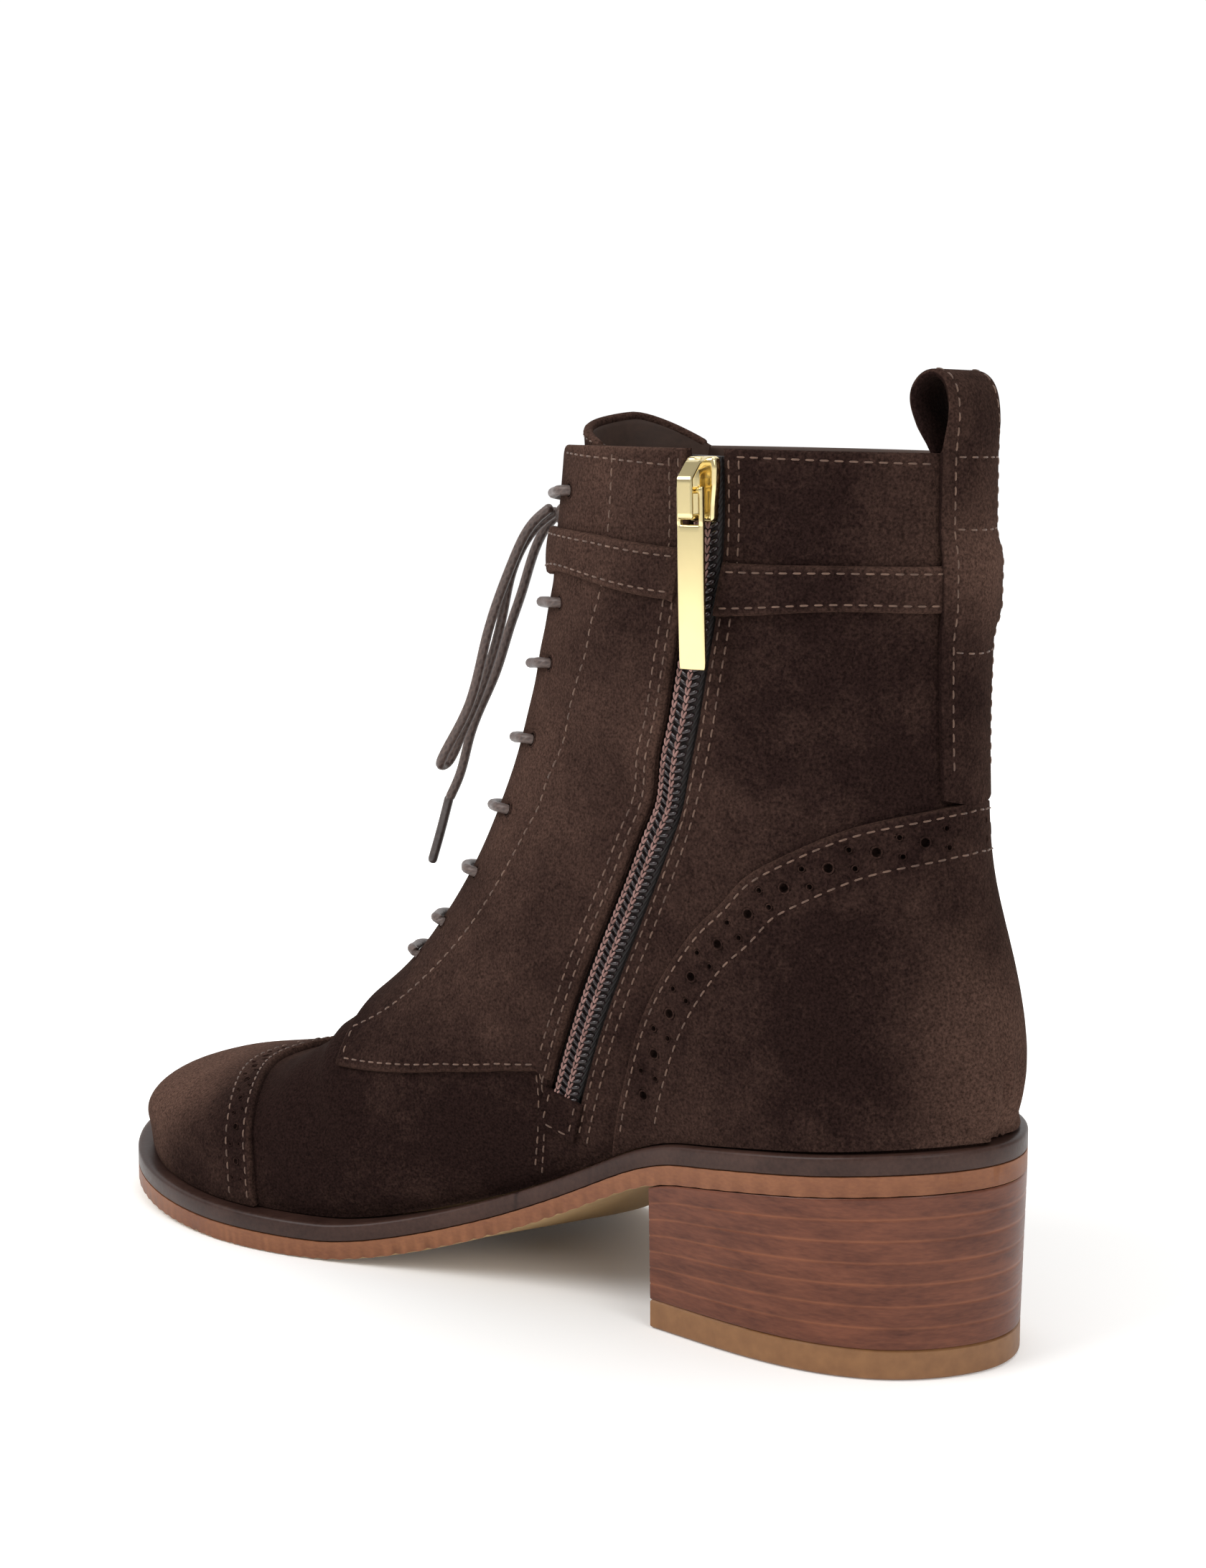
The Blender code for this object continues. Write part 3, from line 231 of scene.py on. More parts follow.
@dataclass
class SolePlan:
    """Plan of the sole and the height of its underside."""

    outsole_thick: float = 4.5
    welt_thick: float = 4.5
    ball_flat: tuple[float, float] = (176.0, 204.0)
    arch_span: tuple[float, float] = (74.0, 170.0)
    arch_lift: float = 4.0
    arch_half_width: float = 30.0
    # Distance from the heel, inner edge, outer edge
    outline: Sequence[Three] = (
        (0.0, 0.0, 0.0), (3.5, 12.5, -12.5), (16.0, 26.3, -26.0), (40.0, 33.4, -32.4),
        (74.0, 31.4, -34.2), (110.0, 30.2, -38.5), (147.0, 36.8, -45.5), (181.0, 46.2, -48.0),
        (205.5, 47.3, -44.6), (230.0, 41.8, -36.0), (249.7, 31.0, -24.0), (261.7, 17.5, -9.8),
        (LENGTH, 4.4, 4.4),
    )
    # Distance from the heel, height of the underside
    profile: Places = (
        (0.0, 41.4), (14.0, 41.0), (30.0, 39.5), (48.0, 37.6), (62.0, 35.9), (74.0, 33.8),
        (95.0, 22.9), (120.0, 9.6), (145.0, 2.4), (162.0, 0.45), (176.0, 0.0), (204.0, 0.0),
        (234.0, 1.4), (253.5, 3.7), (LENGTH, 6.2),
    )

    def ledge(self, x: Array) -> Array:
        """Width of the welt outside the upper: wider by the ball and again by the toe."""
        return 2.6 + 2.0 * ease((x - 60.0) / 110.0) + 0.8 * ease((x - 215.0) / 45.0)

    def drawn_in(self, inset: Callable[[Array], Array]) -> SoleLine:
        """Outline moved inwards, square to itself.

        Args:
            inset: works out the distance from x.

        Returns:
            The new outline.
        """
        inner = [(x, y) for x, y, _ in self.outline]
        outer = [(x, y) for x, _, y in self.outline[-2:0:-1]]
        ring = np.array(inner + outer + inner[:1])
        padded = np.vstack([ring[-4:-1], ring, ring[1:4]])
        keys = np.concatenate([[0.0], np.cumsum(np.linalg.norm(np.diff(padded, axis=0), axis=1) ** 0.6)])
        points = spline(keys, padded, np.linspace(keys[3], keys[2 + len(ring)], 720, endpoint=False))
        along = unit(np.roll(points, -1, 0) - np.roll(points, 1, 0))
        inwards = np.stack([along[:, 1], -along[:, 0]], 1)
        inwards *= np.sign(((points.mean(0) - points) * inwards).sum())
        return SoleLine(points + inwards * inset(points[:, 0])[:, None])

    def underside(self, x: Array, y: Array) -> Array:
        """Height of the underside: the long profile, raised under the inner arch.

        Args:
            x: distances from the back of the heel.
            y: distances towards the inner side.

        Returns:
            Heights over the floor.
        """
        rows = np.array(self.profile)
        height = np.maximum(spline(rows[:, 0], rows[:, 1], x), 0.0)
        height = np.where((x >= self.ball_flat[0]) & (x <= self.ball_flat[1]), 0.0, height)
        share = np.clip((x - self.arch_span[0]) / (self.arch_span[1] - self.arch_span[0]), 0.0, 1.0)
        arch = self.arch_lift * np.sin(np.pi * share) ** 1.5
        return height + arch * np.clip(y / self.arch_half_width, -0.7, 1.0)

    def top(self, x: Array, y: Array) -> Array:
        """Height of the welt's upper face."""
        return self.underside(x, y) + self.outsole_thick + self.welt_thick


@dataclass(frozen=True)
class Crease:
    """Soft trough in the upper between two places (section, share); a negative depth is a ridge."""

    side: Side
    start: tuple[float, float]
    end: tuple[float, float]
    width: float
    depth: float


@dataclass(frozen=True)
class BrushAndLightPatch:
    """Patch where the nap lies the lighter or the darker way: place, radius and amount."""

    q: float
    share: float
    radius: float
    amount: float


@dataclass
class Last:
    """The upper's outer face as a function of section number, distance from the ridge and lift.

    Each section runs from the ridge in front to its seat on the sole's edge or, behind the heel,
    to the back line. It is two quarters of superellipses that meet at the widest place.
    """

    sole: SolePlan
    heel_seat: float = 17.0
    collar: float = 25.0
    panel_set: float = 1.7
    welt_set: float = 0.9
    seat_gap: float = 0.6
    # Ridge x, ridge z, seat share, back x, back z, inner half width, outer half width,
    # share of the height where it is widest, roundness above, roundness below, middle y
    sections: Sequence[tuple[float, ...]] = (
        (259.9, 14.6, 0.0, 0.0, 0.0, 0.0, 0.0, 0.45, 2.2, 2.4, 4.2),
        (259.0, 18.3, 0.028, 0.0, 0.0, 8.3, 8.3, 0.45, 2.2, 2.4, 4.2),
        (256.7, 24.3, 0.06, 0.0, 0.0, 16.0, 16.2, 0.45, 2.2, 2.4, 4.1),
        (251.2, 30.2, 0.1, 0.0, 0.0, 24.2, 24.6, 0.45, 2.25, 2.4, 3.8),
        (242.8, 34.8, 0.14, 0.0, 0.0, 31.0, 30.8, 0.43, 2.3, 2.4, 3.2),
        (230.0, 37.4, 0.18, 0.0, 0.0, 36.6, 35.2, 0.41, 2.3, 2.4, 2.4),
        (213.0, 40.9, 0.24, 0.0, 0.0, 42.2, 41.0, 0.38, 2.25, 2.4, 1.2),
        (198.0, 46.8, 0.3, 0.0, 0.0, 44.2, 44.2, 0.36, 2.15, 2.4, 0.4),
        (185.2, 57.4, 0.36, 0.0, 0.0, 43.0, 45.0, 0.34, 2.05, 2.4, 0.0),
        (168.0, 71.8, 0.44, 0.0, 0.0, 39.2, 43.0, 0.34, 1.95, 2.4, 0.0),
        (155.4, 86.5, 0.52, 0.0, 0.0, 36.0, 39.6, 0.36, 1.95, 2.3, 0.0),
        (146.2, 101.0, 0.6, 0.0, 0.0, 33.8, 36.6, 0.39, 1.95, 2.2, 0.0),
        (139.4, 115.0, 0.68, 0.0, 0.0, 32.8, 34.6, 0.42, 1.95, 2.1, 0.0),
        (134.2, 128.5, 0.76, 0.0, 0.0, 32.4, 33.4, 0.45, 1.95, 2.1, 0.0),
        (131.2, 139.5, 0.83, 0.0, 0.0, 32.2, 32.8, 0.48, 1.95, 2.1, 0.0),
        (129.2, 148.0, 0.9, 0.0, 0.0, 32.2, 32.5, 0.5, 1.95, 2.1, 0.0),
        (127.6, 155.0, 0.955, 0.0, 0.0, 32.3, 32.4, 0.51, 2.0, 2.1, 0.0),
        (126.0, 161.0, 1.0, 2.6, 51.0, 32.4, 32.4, 0.52, 2.0, 2.1, 0.0),
        (124.5, 167.0, 1.0, 0.2, 64.0, 32.4, 32.4, 0.53, 2.0, 2.1, 0.0),
        (123.0, 172.8, 1.0, 3.0, 82.5, 32.3, 32.3, 0.53, 2.0, 2.05, 0.0),
        (121.8, 178.3, 1.0, 8.6, 103.0, 32.2, 32.2, 0.53, 2.1, 2.0, 0.0),
        (120.8, 183.5, 1.0, 10.6, 123.0, 32.2, 32.2, 0.52, 2.1, 1.95, 0.0),
        (120.0, 188.7, 1.0, 11.1, 143.0, 32.4, 32.4, 0.51, 2.1, 1.95, 0.0),
        (119.3, 193.5, 1.0, 11.1, 163.0, 32.8, 32.8, 0.5, 2.1, 1.95, 0.0),
        (118.7, 196.7, 1.0, 11.0, 180.8, 33.2, 33.2, 0.5, 2.1, 1.95, 0.0),
        (118.2, 200.0, 1.0, 10.9, 197.8, 33.5, 33.5, 0.5, 2.1, 1.95, 0.0),
    )
    # Edge of the facing and middle of the zip: section, distance from the ridge
    facing: Places = ((0.0, 4.0), (8.0, 5.0), (9.0, 6.0), (10.5, 9.5), (12.5, 12.5), (19.0, 14.0), (25.0, 15.0))
    zip_line: Places = (
        (0.0, 24.0), (5.0, 44.0), (8.0, 62.0), (10.0, 84.0), (11.35, 89.2), (12.0, 80.6), (13.0, 75.8),
        (15.2, 78.7), (18.7, 80.5), (20.8, 78.3), (25.0, 73.9),
    )
    # Knots of the zip's smooth middle line: section, distance
    zip_knots: Places = (
        (11.35, 89.2), (13.0, 79.0), (15.2, 79.0), (18.7, 80.5), (20.8, 78.3), (23.0, 76.0), (25.0, 73.9),
    )
    throat: float = 8.7
    zip_bottom: float = 11.35
    slot_half: float = 4.4
    corner_radius: float = 8.0
    creases: Sequence[Crease] = (
        Crease(Side.INNER, (18.2, 0.985), (16.75, 0.998), 1.4, 1.5),
        Crease(Side.INNER, (17.9, 0.955), (16.9, 0.965), 2.4, -1.1),
        Crease(Side.INNER, (7.55, 0.10), (8.2, 0.66), 5.0, 1.1),
        Crease(Side.INNER, (8.1, 0.30), (8.75, 0.84), 4.5, -0.8),
        Crease(Side.INNER, (8.7, 0.62), (9.6, 0.90), 4.0, 0.8),
        Crease(Side.INNER, (15.9, 0.27), (17.6, 0.43), 6.0, 1.3),
        Crease(Side.INNER, (17.2, 0.26), (18.9, 0.44), 5.5, -0.9),
        Crease(Side.INNER, (13.2, 0.24), (14.4, 0.38), 5.0, 0.8),
        Crease(Side.INNER, (20.4, 0.62), (21.4, 0.86), 7.0, 1.0),
        Crease(Side.INNER, (17.6, 0.66), (18.9, 0.92), 8.0, 0.9),
        Crease(Side.INNER, (22.2, 0.30), (24.6, 0.33), 5.0, 0.7),
        Crease(Side.INNER, (4.2, 0.72), (5.6, 0.60), 6.0, 0.6),
        Crease(Side.OUTER, (7.6, 0.12), (8.3, 0.62), 5.0, 1.1),
        Crease(Side.OUTER, (8.2, 0.34), (8.7, 0.82), 4.5, -0.8),
        Crease(Side.OUTER, (16.0, 0.28), (17.8, 0.45), 6.0, 1.3),
        Crease(Side.OUTER, (20.2, 0.60), (21.5, 0.86), 7.0, 1.0),
        Crease(Side.OUTER, (18.2, 0.985), (16.9, 0.997), 1.8, 0.8),
    )

    def __post_init__(self) -> None:
        """Tabulate points and normals over section number and share of the half girth."""
        self._q = np.linspace(0.0, self.collar, 1001)
        self._share = np.linspace(0.0, 1.0, 241)
        self._feather = self.sole.drawn_in(self.sole.ledge)
        self._girth: dict[Side, Array] = {}
        self._points: dict[Side, Array] = {}
        self._normals: dict[Side, Array] = {}
        for side in Side:
            curves = self._curves(self._q, side)
            runs = np.cumsum(np.linalg.norm(np.diff(curves, axis=1), axis=2), axis=1)
            runs = np.concatenate([np.zeros((len(self._q), 1)), runs], 1)
            girth = runs[:, -1]
            self._girth[side] = girth
            row = 2.0 * np.arange(len(self._q))[:, None]
            keys = (row + runs / np.maximum(girth, 1e-9)[:, None]).ravel()
            wanted = (row + self._share[None]).ravel()
            flat = curves.reshape(-1, 3)
            points = read(wanted, keys, flat).reshape(len(self._q), len(self._share), 3)
            normals = unit(side.value * np.cross(np.gradient(points, axis=1), np.gradient(points, axis=0)))
            normals[self._q < 0.25] = normals[np.searchsorted(self._q, 0.25)]
            self._points[side], self._normals[side] = points, normals
        inner, outer = self._normals[Side.INNER], self._normals[Side.OUTER]
        behind = self._q >= self.heel_seat
        ridge, back = unit(inner[:, 0] + outer[:, 0]), unit(inner[behind, -1] + outer[behind, -1])
        for normals in (inner, outer):
            normals[:, 0] = ridge
            normals[behind, -1] = back
        self._troughs = [
            (self._bare(*np.linspace(c.start, c.end, 9).T, c.side)[0], c.width, c.depth) for c in self.creases
        ]
        rows = np.array(self.zip_knots)
        knots = self.at(rows[:, 0], rows[:, 1], Side.INNER)
        run = lengths(knots)
        along = np.linspace(0.0, run[-1], 400)
        found, away = self.project(spline(run, knots, along), *read(along, run, rows).T, Side.INNER)
        self._zip = np.maximum.accumulate(found), away

    def _rows(self, q: Array) -> Array:
        """Columns of the section table, as smooth curves.

        Args:
            q: section numbers.

        Returns:
            One row for each number.
        """
        rows, seat_row = np.array(self.sections), int(self.heel_seat)
        numbers = np.arange(len(rows), dtype=float)
        columns = spline(numbers, rows, q)
        seat = spline(numbers[:seat_row + 1], rows[:seat_row + 1, 2], np.minimum(q, self.heel_seat))
        columns[:, 2] = np.clip(seat, 0.0, 1.0)
        columns[:, 3:5] = spline(numbers[seat_row:], rows[seat_row:, 3:5], np.maximum(q, self.heel_seat))
        return columns

    def _curves(self, q: Array, side: Side, steps: int = 90) -> Array:
        """Half sections from ridge to seat: two quarters of superellipses.

        Args:
            q: section numbers.
            side: half of the boot.
            steps: points on each quarter.

        Returns:
            Points, by section and step.
        """
        columns = self._rows(q)
        ridge_x, ridge_z, seat, back_x, back_z = (columns[:, k:k + 1] for k in range(5))
        half = columns[:, 5:6] if side is Side.INNER else columns[:, 6:7]
        wide, above, below, middle = (columns[:, k:k + 1] for k in range(7, 11))
        foot = self._feather.at(side, seat[:, 0])
        on_sole = q[:, None] < self.heel_seat
        base_x = np.where(on_sole, foot[:, :1], back_x)
        base_z = np.where(on_sole, self.sole.top(foot[:, :1], foot[:, 1:]) + self.seat_gap, back_z)
        foot_half = np.where(on_sole, np.maximum(side.value * (foot[:, 1:] - middle), 0.0), 0.0)
        half = np.maximum(np.maximum(half, 1.02 * foot_half), 1e-6)
        turn = np.linspace(0.0, 1.0, steps)[None]
        upper_y = half * np.sin(turn * np.pi / 2.0) ** (2.0 / above)
        upper_h = wide + (1.0 - wide) * np.cos(turn * np.pi / 2.0) ** (2.0 / above)
        last = np.arccos(np.clip(foot_half / half, 0.0, 0.985) ** (below / 2.0))
        lower_y = half * np.cos(turn * last) ** (2.0 / below)
        lower_h = wide * (1.0 - (np.sin(turn * last) / np.sin(last)) ** (2.0 / below))
        out = np.concatenate([upper_y, lower_y[:, 1:]], 1)
        height = np.concatenate([upper_h, lower_h[:, 1:]], 1)
        x = base_x + (ridge_x - base_x) * height
        z = base_z + (ridge_z - base_z) * height
        return np.stack([x, middle + side.value * out, z], -1)

    def _bare(self, q: Array, share: Array, side: Side) -> Pair:
        """Plain face by mixing the four nearest entries of the table.

        Args:
            q: section numbers.
            share: shares of the half girth.
            side: half of the boot.

        Returns:
            Points and unit normals.
        """
        row = np.clip(q / self.collar, 0.0, 1.0) * (len(self._q) - 1)
        column = np.clip(share, 0.0, 1.0) * (len(self._share) - 1)
        i, j = np.minimum(row.astype(int), len(self._q) - 2), np.minimum(column.astype(int), len(self._share) - 2)
        a, b = (row - i)[..., None], (column - j)[..., None]
        found = []
        for grid in (self._points[side], self._normals[side]):
            near = grid[i, j] * (1.0 - b) + grid[i, j + 1] * b
            far = grid[i + 1, j] * (1.0 - b) + grid[i + 1, j + 1] * b
            found.append(near * (1.0 - a) + far * a)
        return found[0], unit(found[1])

    def _relief(self, points: Array) -> Array:
        """Depth of the creases: each is a bell curve of the distance to a short line on the upper.

        Args:
            points: points near the upper's face.

        Returns:
            Depths.
        """
        total = np.zeros(points.shape[:-1])
        for trough, width, depth in self._troughs:
            start, run = trough[:-1], np.diff(trough, axis=0)
            from_start = points[..., None, :] - start
            share = np.clip((from_start * run).sum(-1) / (run * run).sum(-1), 0.0, 1.0)
            away = np.linalg.norm(from_start - share[..., None] * run, axis=-1).min(-1)
            total = total + depth * np.exp(-(away / width) ** 2)
        return total

    def girth(self, q: Array, side: Side) -> Array:
        """Length of the half sections."""
        return np.interp(q, self._q, self._girth[side])

    def face(self, q: Array, share: Array, side: Side, lift: Lift = 0.0) -> Pair:
        """Points and normals: the tabulated face moved along its normal by lift, less set and creases.

        Args:
            q: section numbers.
            share: shares of the half girth, from ridge to seat.
            side: half of the boot.
            lift: height above the upper's outer face.

        Returns:
            Points and unit normals.
        """
        q, share, lift = np.broadcast_arrays(np.asarray(q, float), share, lift)
        point, normal = self._bare(q, share, side)
        at_welt = ease((share - 0.8) / 0.2) * (1.0 - ease((q - 16.3) / 0.7))
        out = lift - self.panel_set + (self.panel_set - self.welt_set) * at_welt - self._relief(point)
        return point + normal * out[..., None], normal

    def at(self, q: Array, distance: Array, side: Side, lift: Lift = 0.0) -> Array:
        """Points at distances from the ridge."""
        q, distance = np.broadcast_arrays(np.asarray(q, float), np.asarray(distance, float))
        return self.face(q, distance / np.maximum(self.girth(q, side), 1e-9), side, lift)[0]

    def above_welt(self, points: Array, clear: float = 0.15) -> Array:
        """Points lifted where they would sink into the welt."""
        lowest = self.sole.top(points[..., 0], points[..., 1]) + clear
        return np.concatenate([points[..., :2], np.maximum(points[..., 2], lowest)[..., None]], -1)

    def zip_middle(self, q: Array) -> Array:
        """Distance of the zip's middle from the ridge: a smooth curve in space through a few knots."""
        return np.where(np.asarray(q) < self.zip_bottom, line(self.zip_line, q), np.interp(q, *self._zip))

    def zip_spread(self, q: Array) -> Array:
        """Distance along the section for each millimetre square to the zip, which crosses it aslant.

        Args:
            q: section numbers.

        Returns:
            Stretch at each number.
        """
        q = np.maximum(q, self.zip_bottom)
        behind, ahead = np.maximum(q - 0.2, self.zip_bottom), np.minimum(q + 0.2, self.collar)
        middle = self.zip_middle(q)
        along = self.at(ahead, self.zip_middle(ahead), Side.INNER)
        along = along - self.at(behind, self.zip_middle(behind), Side.INNER)
        round_ = self.at(q, middle + 1.0, Side.INNER) - self.at(q, middle - 1.0, Side.INNER)
        cross = np.linalg.norm(np.cross(along, round_), axis=-1)
        return np.linalg.norm(along, axis=-1) * np.linalg.norm(round_, axis=-1) / cross

    def cornered(self, q: Array, beyond: Array) -> Array:
        """Section number lowered near the collar so that the facing's top corner is round.

        Args:
            q: section numbers.
            beyond: distances behind the facing's edge.

        Returns:
            New section numbers.
        """
        near = np.clip(self.corner_radius - beyond, 0.0, self.corner_radius)
        drop = self.corner_radius - np.sqrt(self.corner_radius ** 2 - near ** 2)
        lowest, lowered = self.collar - 3.0, self.collar - drop / 4.0
        return np.where(q > lowest, lowest + (q - lowest) * (lowered - lowest) / 3.0, q)

    def project(self, points: Array, q: Array, s: Array, side: Side,
                turns: int = 5) -> Pair:
        """Places on the face nearest to points: Newton steps in the face's own two directions.

        Args:
            points: points near the face.
            q: first guess of the section numbers.
            s: first guess of the distances from the ridge.
            side: half of the boot.
            turns: number of steps.

        Returns:
            Section numbers and distances.
        """
        for _ in range(turns):
            by_q = (self.at(q + 0.05, s, side) - self.at(q - 0.05, s, side)) / 0.1
            by_s = self.at(q, s + 0.5, side) - self.at(q, s - 0.5, side)
            go = points - self.at(q, s, side)
            a, b, c = (by_q * by_q).sum(-1), (by_q * by_s).sum(-1), (by_s * by_s).sum(-1)
            d, e = (go * by_q).sum(-1), (go * by_s).sum(-1)
            det = a * c - b * b
            q, s = q + (d * c - e * b) / det, s + (a * e - b * d) / det
            q = np.clip(q, 0.1, self.collar - 0.1)
            s = np.clip(s, 0.6, self.girth(q, side) - 0.6)
        return q, s

    def walk(self, q: Array, s: Array, side: Side, amount: float,
             steps: int = 5) -> Pair:
        """Line on the face moved sideways: short steps square to the line's first direction.

        Args:
            q: section numbers along the line.
            s: distances from the ridge along the line.
            side: half of the boot.
            amount: how far to go, to the right of the line seen from outside.
            steps: number of short steps.

        Returns:
            Section numbers and distances of the moved line.
        """
        ahead = np.gradient(self.at(q, s, side), axis=0)
        spread = np.exp(-np.linspace(-2.0, 2.0, 25) ** 2)
        weight = np.convolve(np.ones(len(q)), spread, "same")[:, None]
        ahead = unit(np.stack([np.convolve(ahead[:, k], spread, "same") for k in range(3)], -1) / weight)
        for _ in range(steps):
            here, normal = self.face(q, s / self.girth(q, side), side)
            aside = unit(np.cross(ahead, normal))
            q, s = self.project(here + aside * (amount / steps), q, s, side, 2)
        return q, s


# Meshes


def grid_faces(grid: Array) -> Array:
    """Corner numbers of a grid's cells, one four-sided face for each cell."""
    number = np.arange(grid.shape[0] * grid.shape[1]).reshape(grid.shape[:2])
    return np.stack([number[:-1, :-1], number[:-1, 1:], number[1:, 1:], number[1:, :-1]], -1)


def shell(first: Array, second: Array, keep: Optional[Array] = None) -> Triple:
    """Closed solid between two grids: both faces, and a wall along every open border.

    Args:
        first: outer grid of points.
        second: inner grid of points.
        keep: cells that exist; all of them if it is left out.

    Returns:
        Points, four-sided faces, and for each face 0 outer, 1 inner or 2 wall.
    """
    rows, columns = first.shape[:2]
    count = rows * columns
    keep = np.ones((rows - 1, columns - 1), bool) if keep is None else keep
    corners = grid_faces(first)
    outer = corners[keep]
    padded = np.pad(keep, 1)
    walls = []
    for down, right, a, b in ((-1, 0, 0, 1), (0, 1, 1, 2), (1, 0, 2, 3), (0, -1, 3, 0)):
        beside = padded[1 + down:rows + down, 1 + right:columns + right]
        edge = corners[keep & ~beside]
        walls.append(np.stack([edge[:, b], edge[:, a], edge[:, a] + count, edge[:, b] + count], -1))
    wall = np.concatenate(walls)
    faces = np.concatenate([outer, outer[:, ::-1] + count, wall])
    tags = np.repeat([0, 1, 2], [len(outer), len(outer), len(wall)])
    return np.concatenate([first.reshape(-1, 3), second.reshape(-1, 3)]), faces, tags


def swept(middle: Array, ahead: Array, across: Array, size: Array, sides: int = 12) -> Triple:
    """Circles carried along a path: the middle plus the radius times a turn of two cross directions.

    Args:
        middle: points of the path.
        ahead: direction of the path at each point.
        across: direction square to it, from which the circle is set out.
        size: radius at each point.
        sides: corners of the circle.

    Returns:
        Points, four-sided faces, and texture places (share of the turn, millimetres along).
    """
    turn = np.linspace(0.0, 2.0 * np.pi, sides + 1)
    other = np.cross(ahead, across)
    ring = np.cos(turn)[None, :, None] * across[:, None] + np.sin(turn)[None, :, None] * other[:, None]
    grid = middle[:, None] + size[:, None, None] * ring
    uv = np.stack(np.broadcast_arrays(turn[None] / (2.0 * np.pi), lengths(middle)[:, None]), -1)
    return grid.reshape(-1, 3), grid_faces(grid).reshape(-1, 4), uv.reshape(-1, 2)


def tube(path: Array, radius: float, side_of: Sequence[float], sides: int = 12) -> Triple:
    """Round cord: a circle carried along a path, with domed ends that close on a point.

    Args:
        path: points of the middle line.
        radius: radius of the cord.
        side_of: direction that the path never runs along, from which the circle is set out.
        sides: corners of the circle.

    Returns:
        Points, four-sided faces, and texture places (share of the turn, millimetres along).
    """
    ahead = unit(np.gradient(path, axis=0))
    dome = radius * np.array([0.95, 0.75, 0.4])
    small = np.sqrt(np.maximum(1.0 - (dome / radius) ** 2, 0.0))
    middle = np.concatenate([path[:1] - ahead[:1] * dome[:, None], path, path[-1:] + ahead[-1:] * dome[::-1, None]])
    ahead = np.concatenate([np.repeat(ahead[:1], 3, 0), ahead, np.repeat(ahead[-1:], 3, 0)])
    size = radius * np.concatenate([small, np.ones(len(path)), small[::-1]])
    size[[0, -1]] = 0.0
    across = unit(np.cross(ahead, np.asarray(side_of, float)))
    return swept(middle, ahead, across, size, sides)


def scattered(shape: Pair, centres: Array, axes: Array) -> Pair:
    """Copies of one small shape: its points times each copy's three axes, added to its centre.

    Args:
        shape: points and four-sided faces of the small shape.
        centres: one centre for each copy.
        axes: one set of three axis vectors for each copy.

    Returns:
        Points and faces of all the copies.
    """
    points, faces = shape
    made = centres[:, None] + np.einsum("vk,nkd->nvd", points, axes)
    numbers = faces[None] + len(points) * np.arange(len(centres))[:, None, None]
    return made.reshape(-1, 3), numbers.reshape(-1, 4)


def lozenge(length: float, radius: float, arch: float, sides: int = 6, rings: int = 6) -> Pair:
    """Short thread: a circle carried along an arch, thin at both ends.

    Args:
        length: length of the thread.
        radius: radius in its middle.
        arch: rise of the middle over the ends.
        sides: corners of the circle.
        rings: circles along the thread.

    Returns:
        Points (along, across, up) and four-sided faces.
    """
    t = np.linspace(-1.0, 1.0, rings)[:, None]
    turn = np.linspace(0.0, 2.0 * np.pi, sides + 1)[None]
    size = radius * np.sqrt(np.maximum(1.0 - t ** 6, 0.0))
    points = np.stack(np.broadcast_arrays(
        t * length / 2.0, size * np.cos(turn), arch * (1.0 - t * t) + size * np.sin(turn)), -1)
    return points.reshape(-1, 3), grid_faces(points).reshape(-1, 4)


def torus(ring: float, thick: float, around: int = 14, sides: int = 6) -> Pair:
    """Ring lying flat: a small circle carried round a large one.

    Args:
        ring: radius of the large circle.
        thick: radius of the small circle.
        around: corners of the large circle.
        sides: corners of the small circle.

    Returns:
        Points (along, across, up) and four-sided faces.
    """
    a = np.linspace(0.0, 2.0 * np.pi, around + 1)[:, None]
    b = np.linspace(0.0, 2.0 * np.pi, sides + 1)[None]
    out = ring + thick * np.cos(b)
    points = np.stack(np.broadcast_arrays(out * np.cos(a), out * np.sin(a), thick * np.sin(b) + 0.0 * a), -1)
    return points.reshape(-1, 3), grid_faces(points).reshape(-1, 4)


def border_distance(grid: Array, borders: str) -> Array:
    """Distance of grid points from the named borders, run along the grid's own lines.

    Args:
        grid: points in rows and columns.
        borders: letters of the borders: t first row, b last row, l first column, r last column.

    Returns:
        The least of the distances.
    """
    steps = [np.cumsum(np.linalg.norm(np.diff(grid, axis=k), axis=2), axis=k) for k in (0, 1)]
    down, right = np.pad(steps[0], ((1, 0), (0, 0))), np.pad(steps[1], ((0, 0), (1, 0)))
    by_name = {"t": down, "b": down[-1:] - down, "l": right, "r": right[:, -1:] - right}
    return np.min([by_name[name] for name in borders], axis=0)


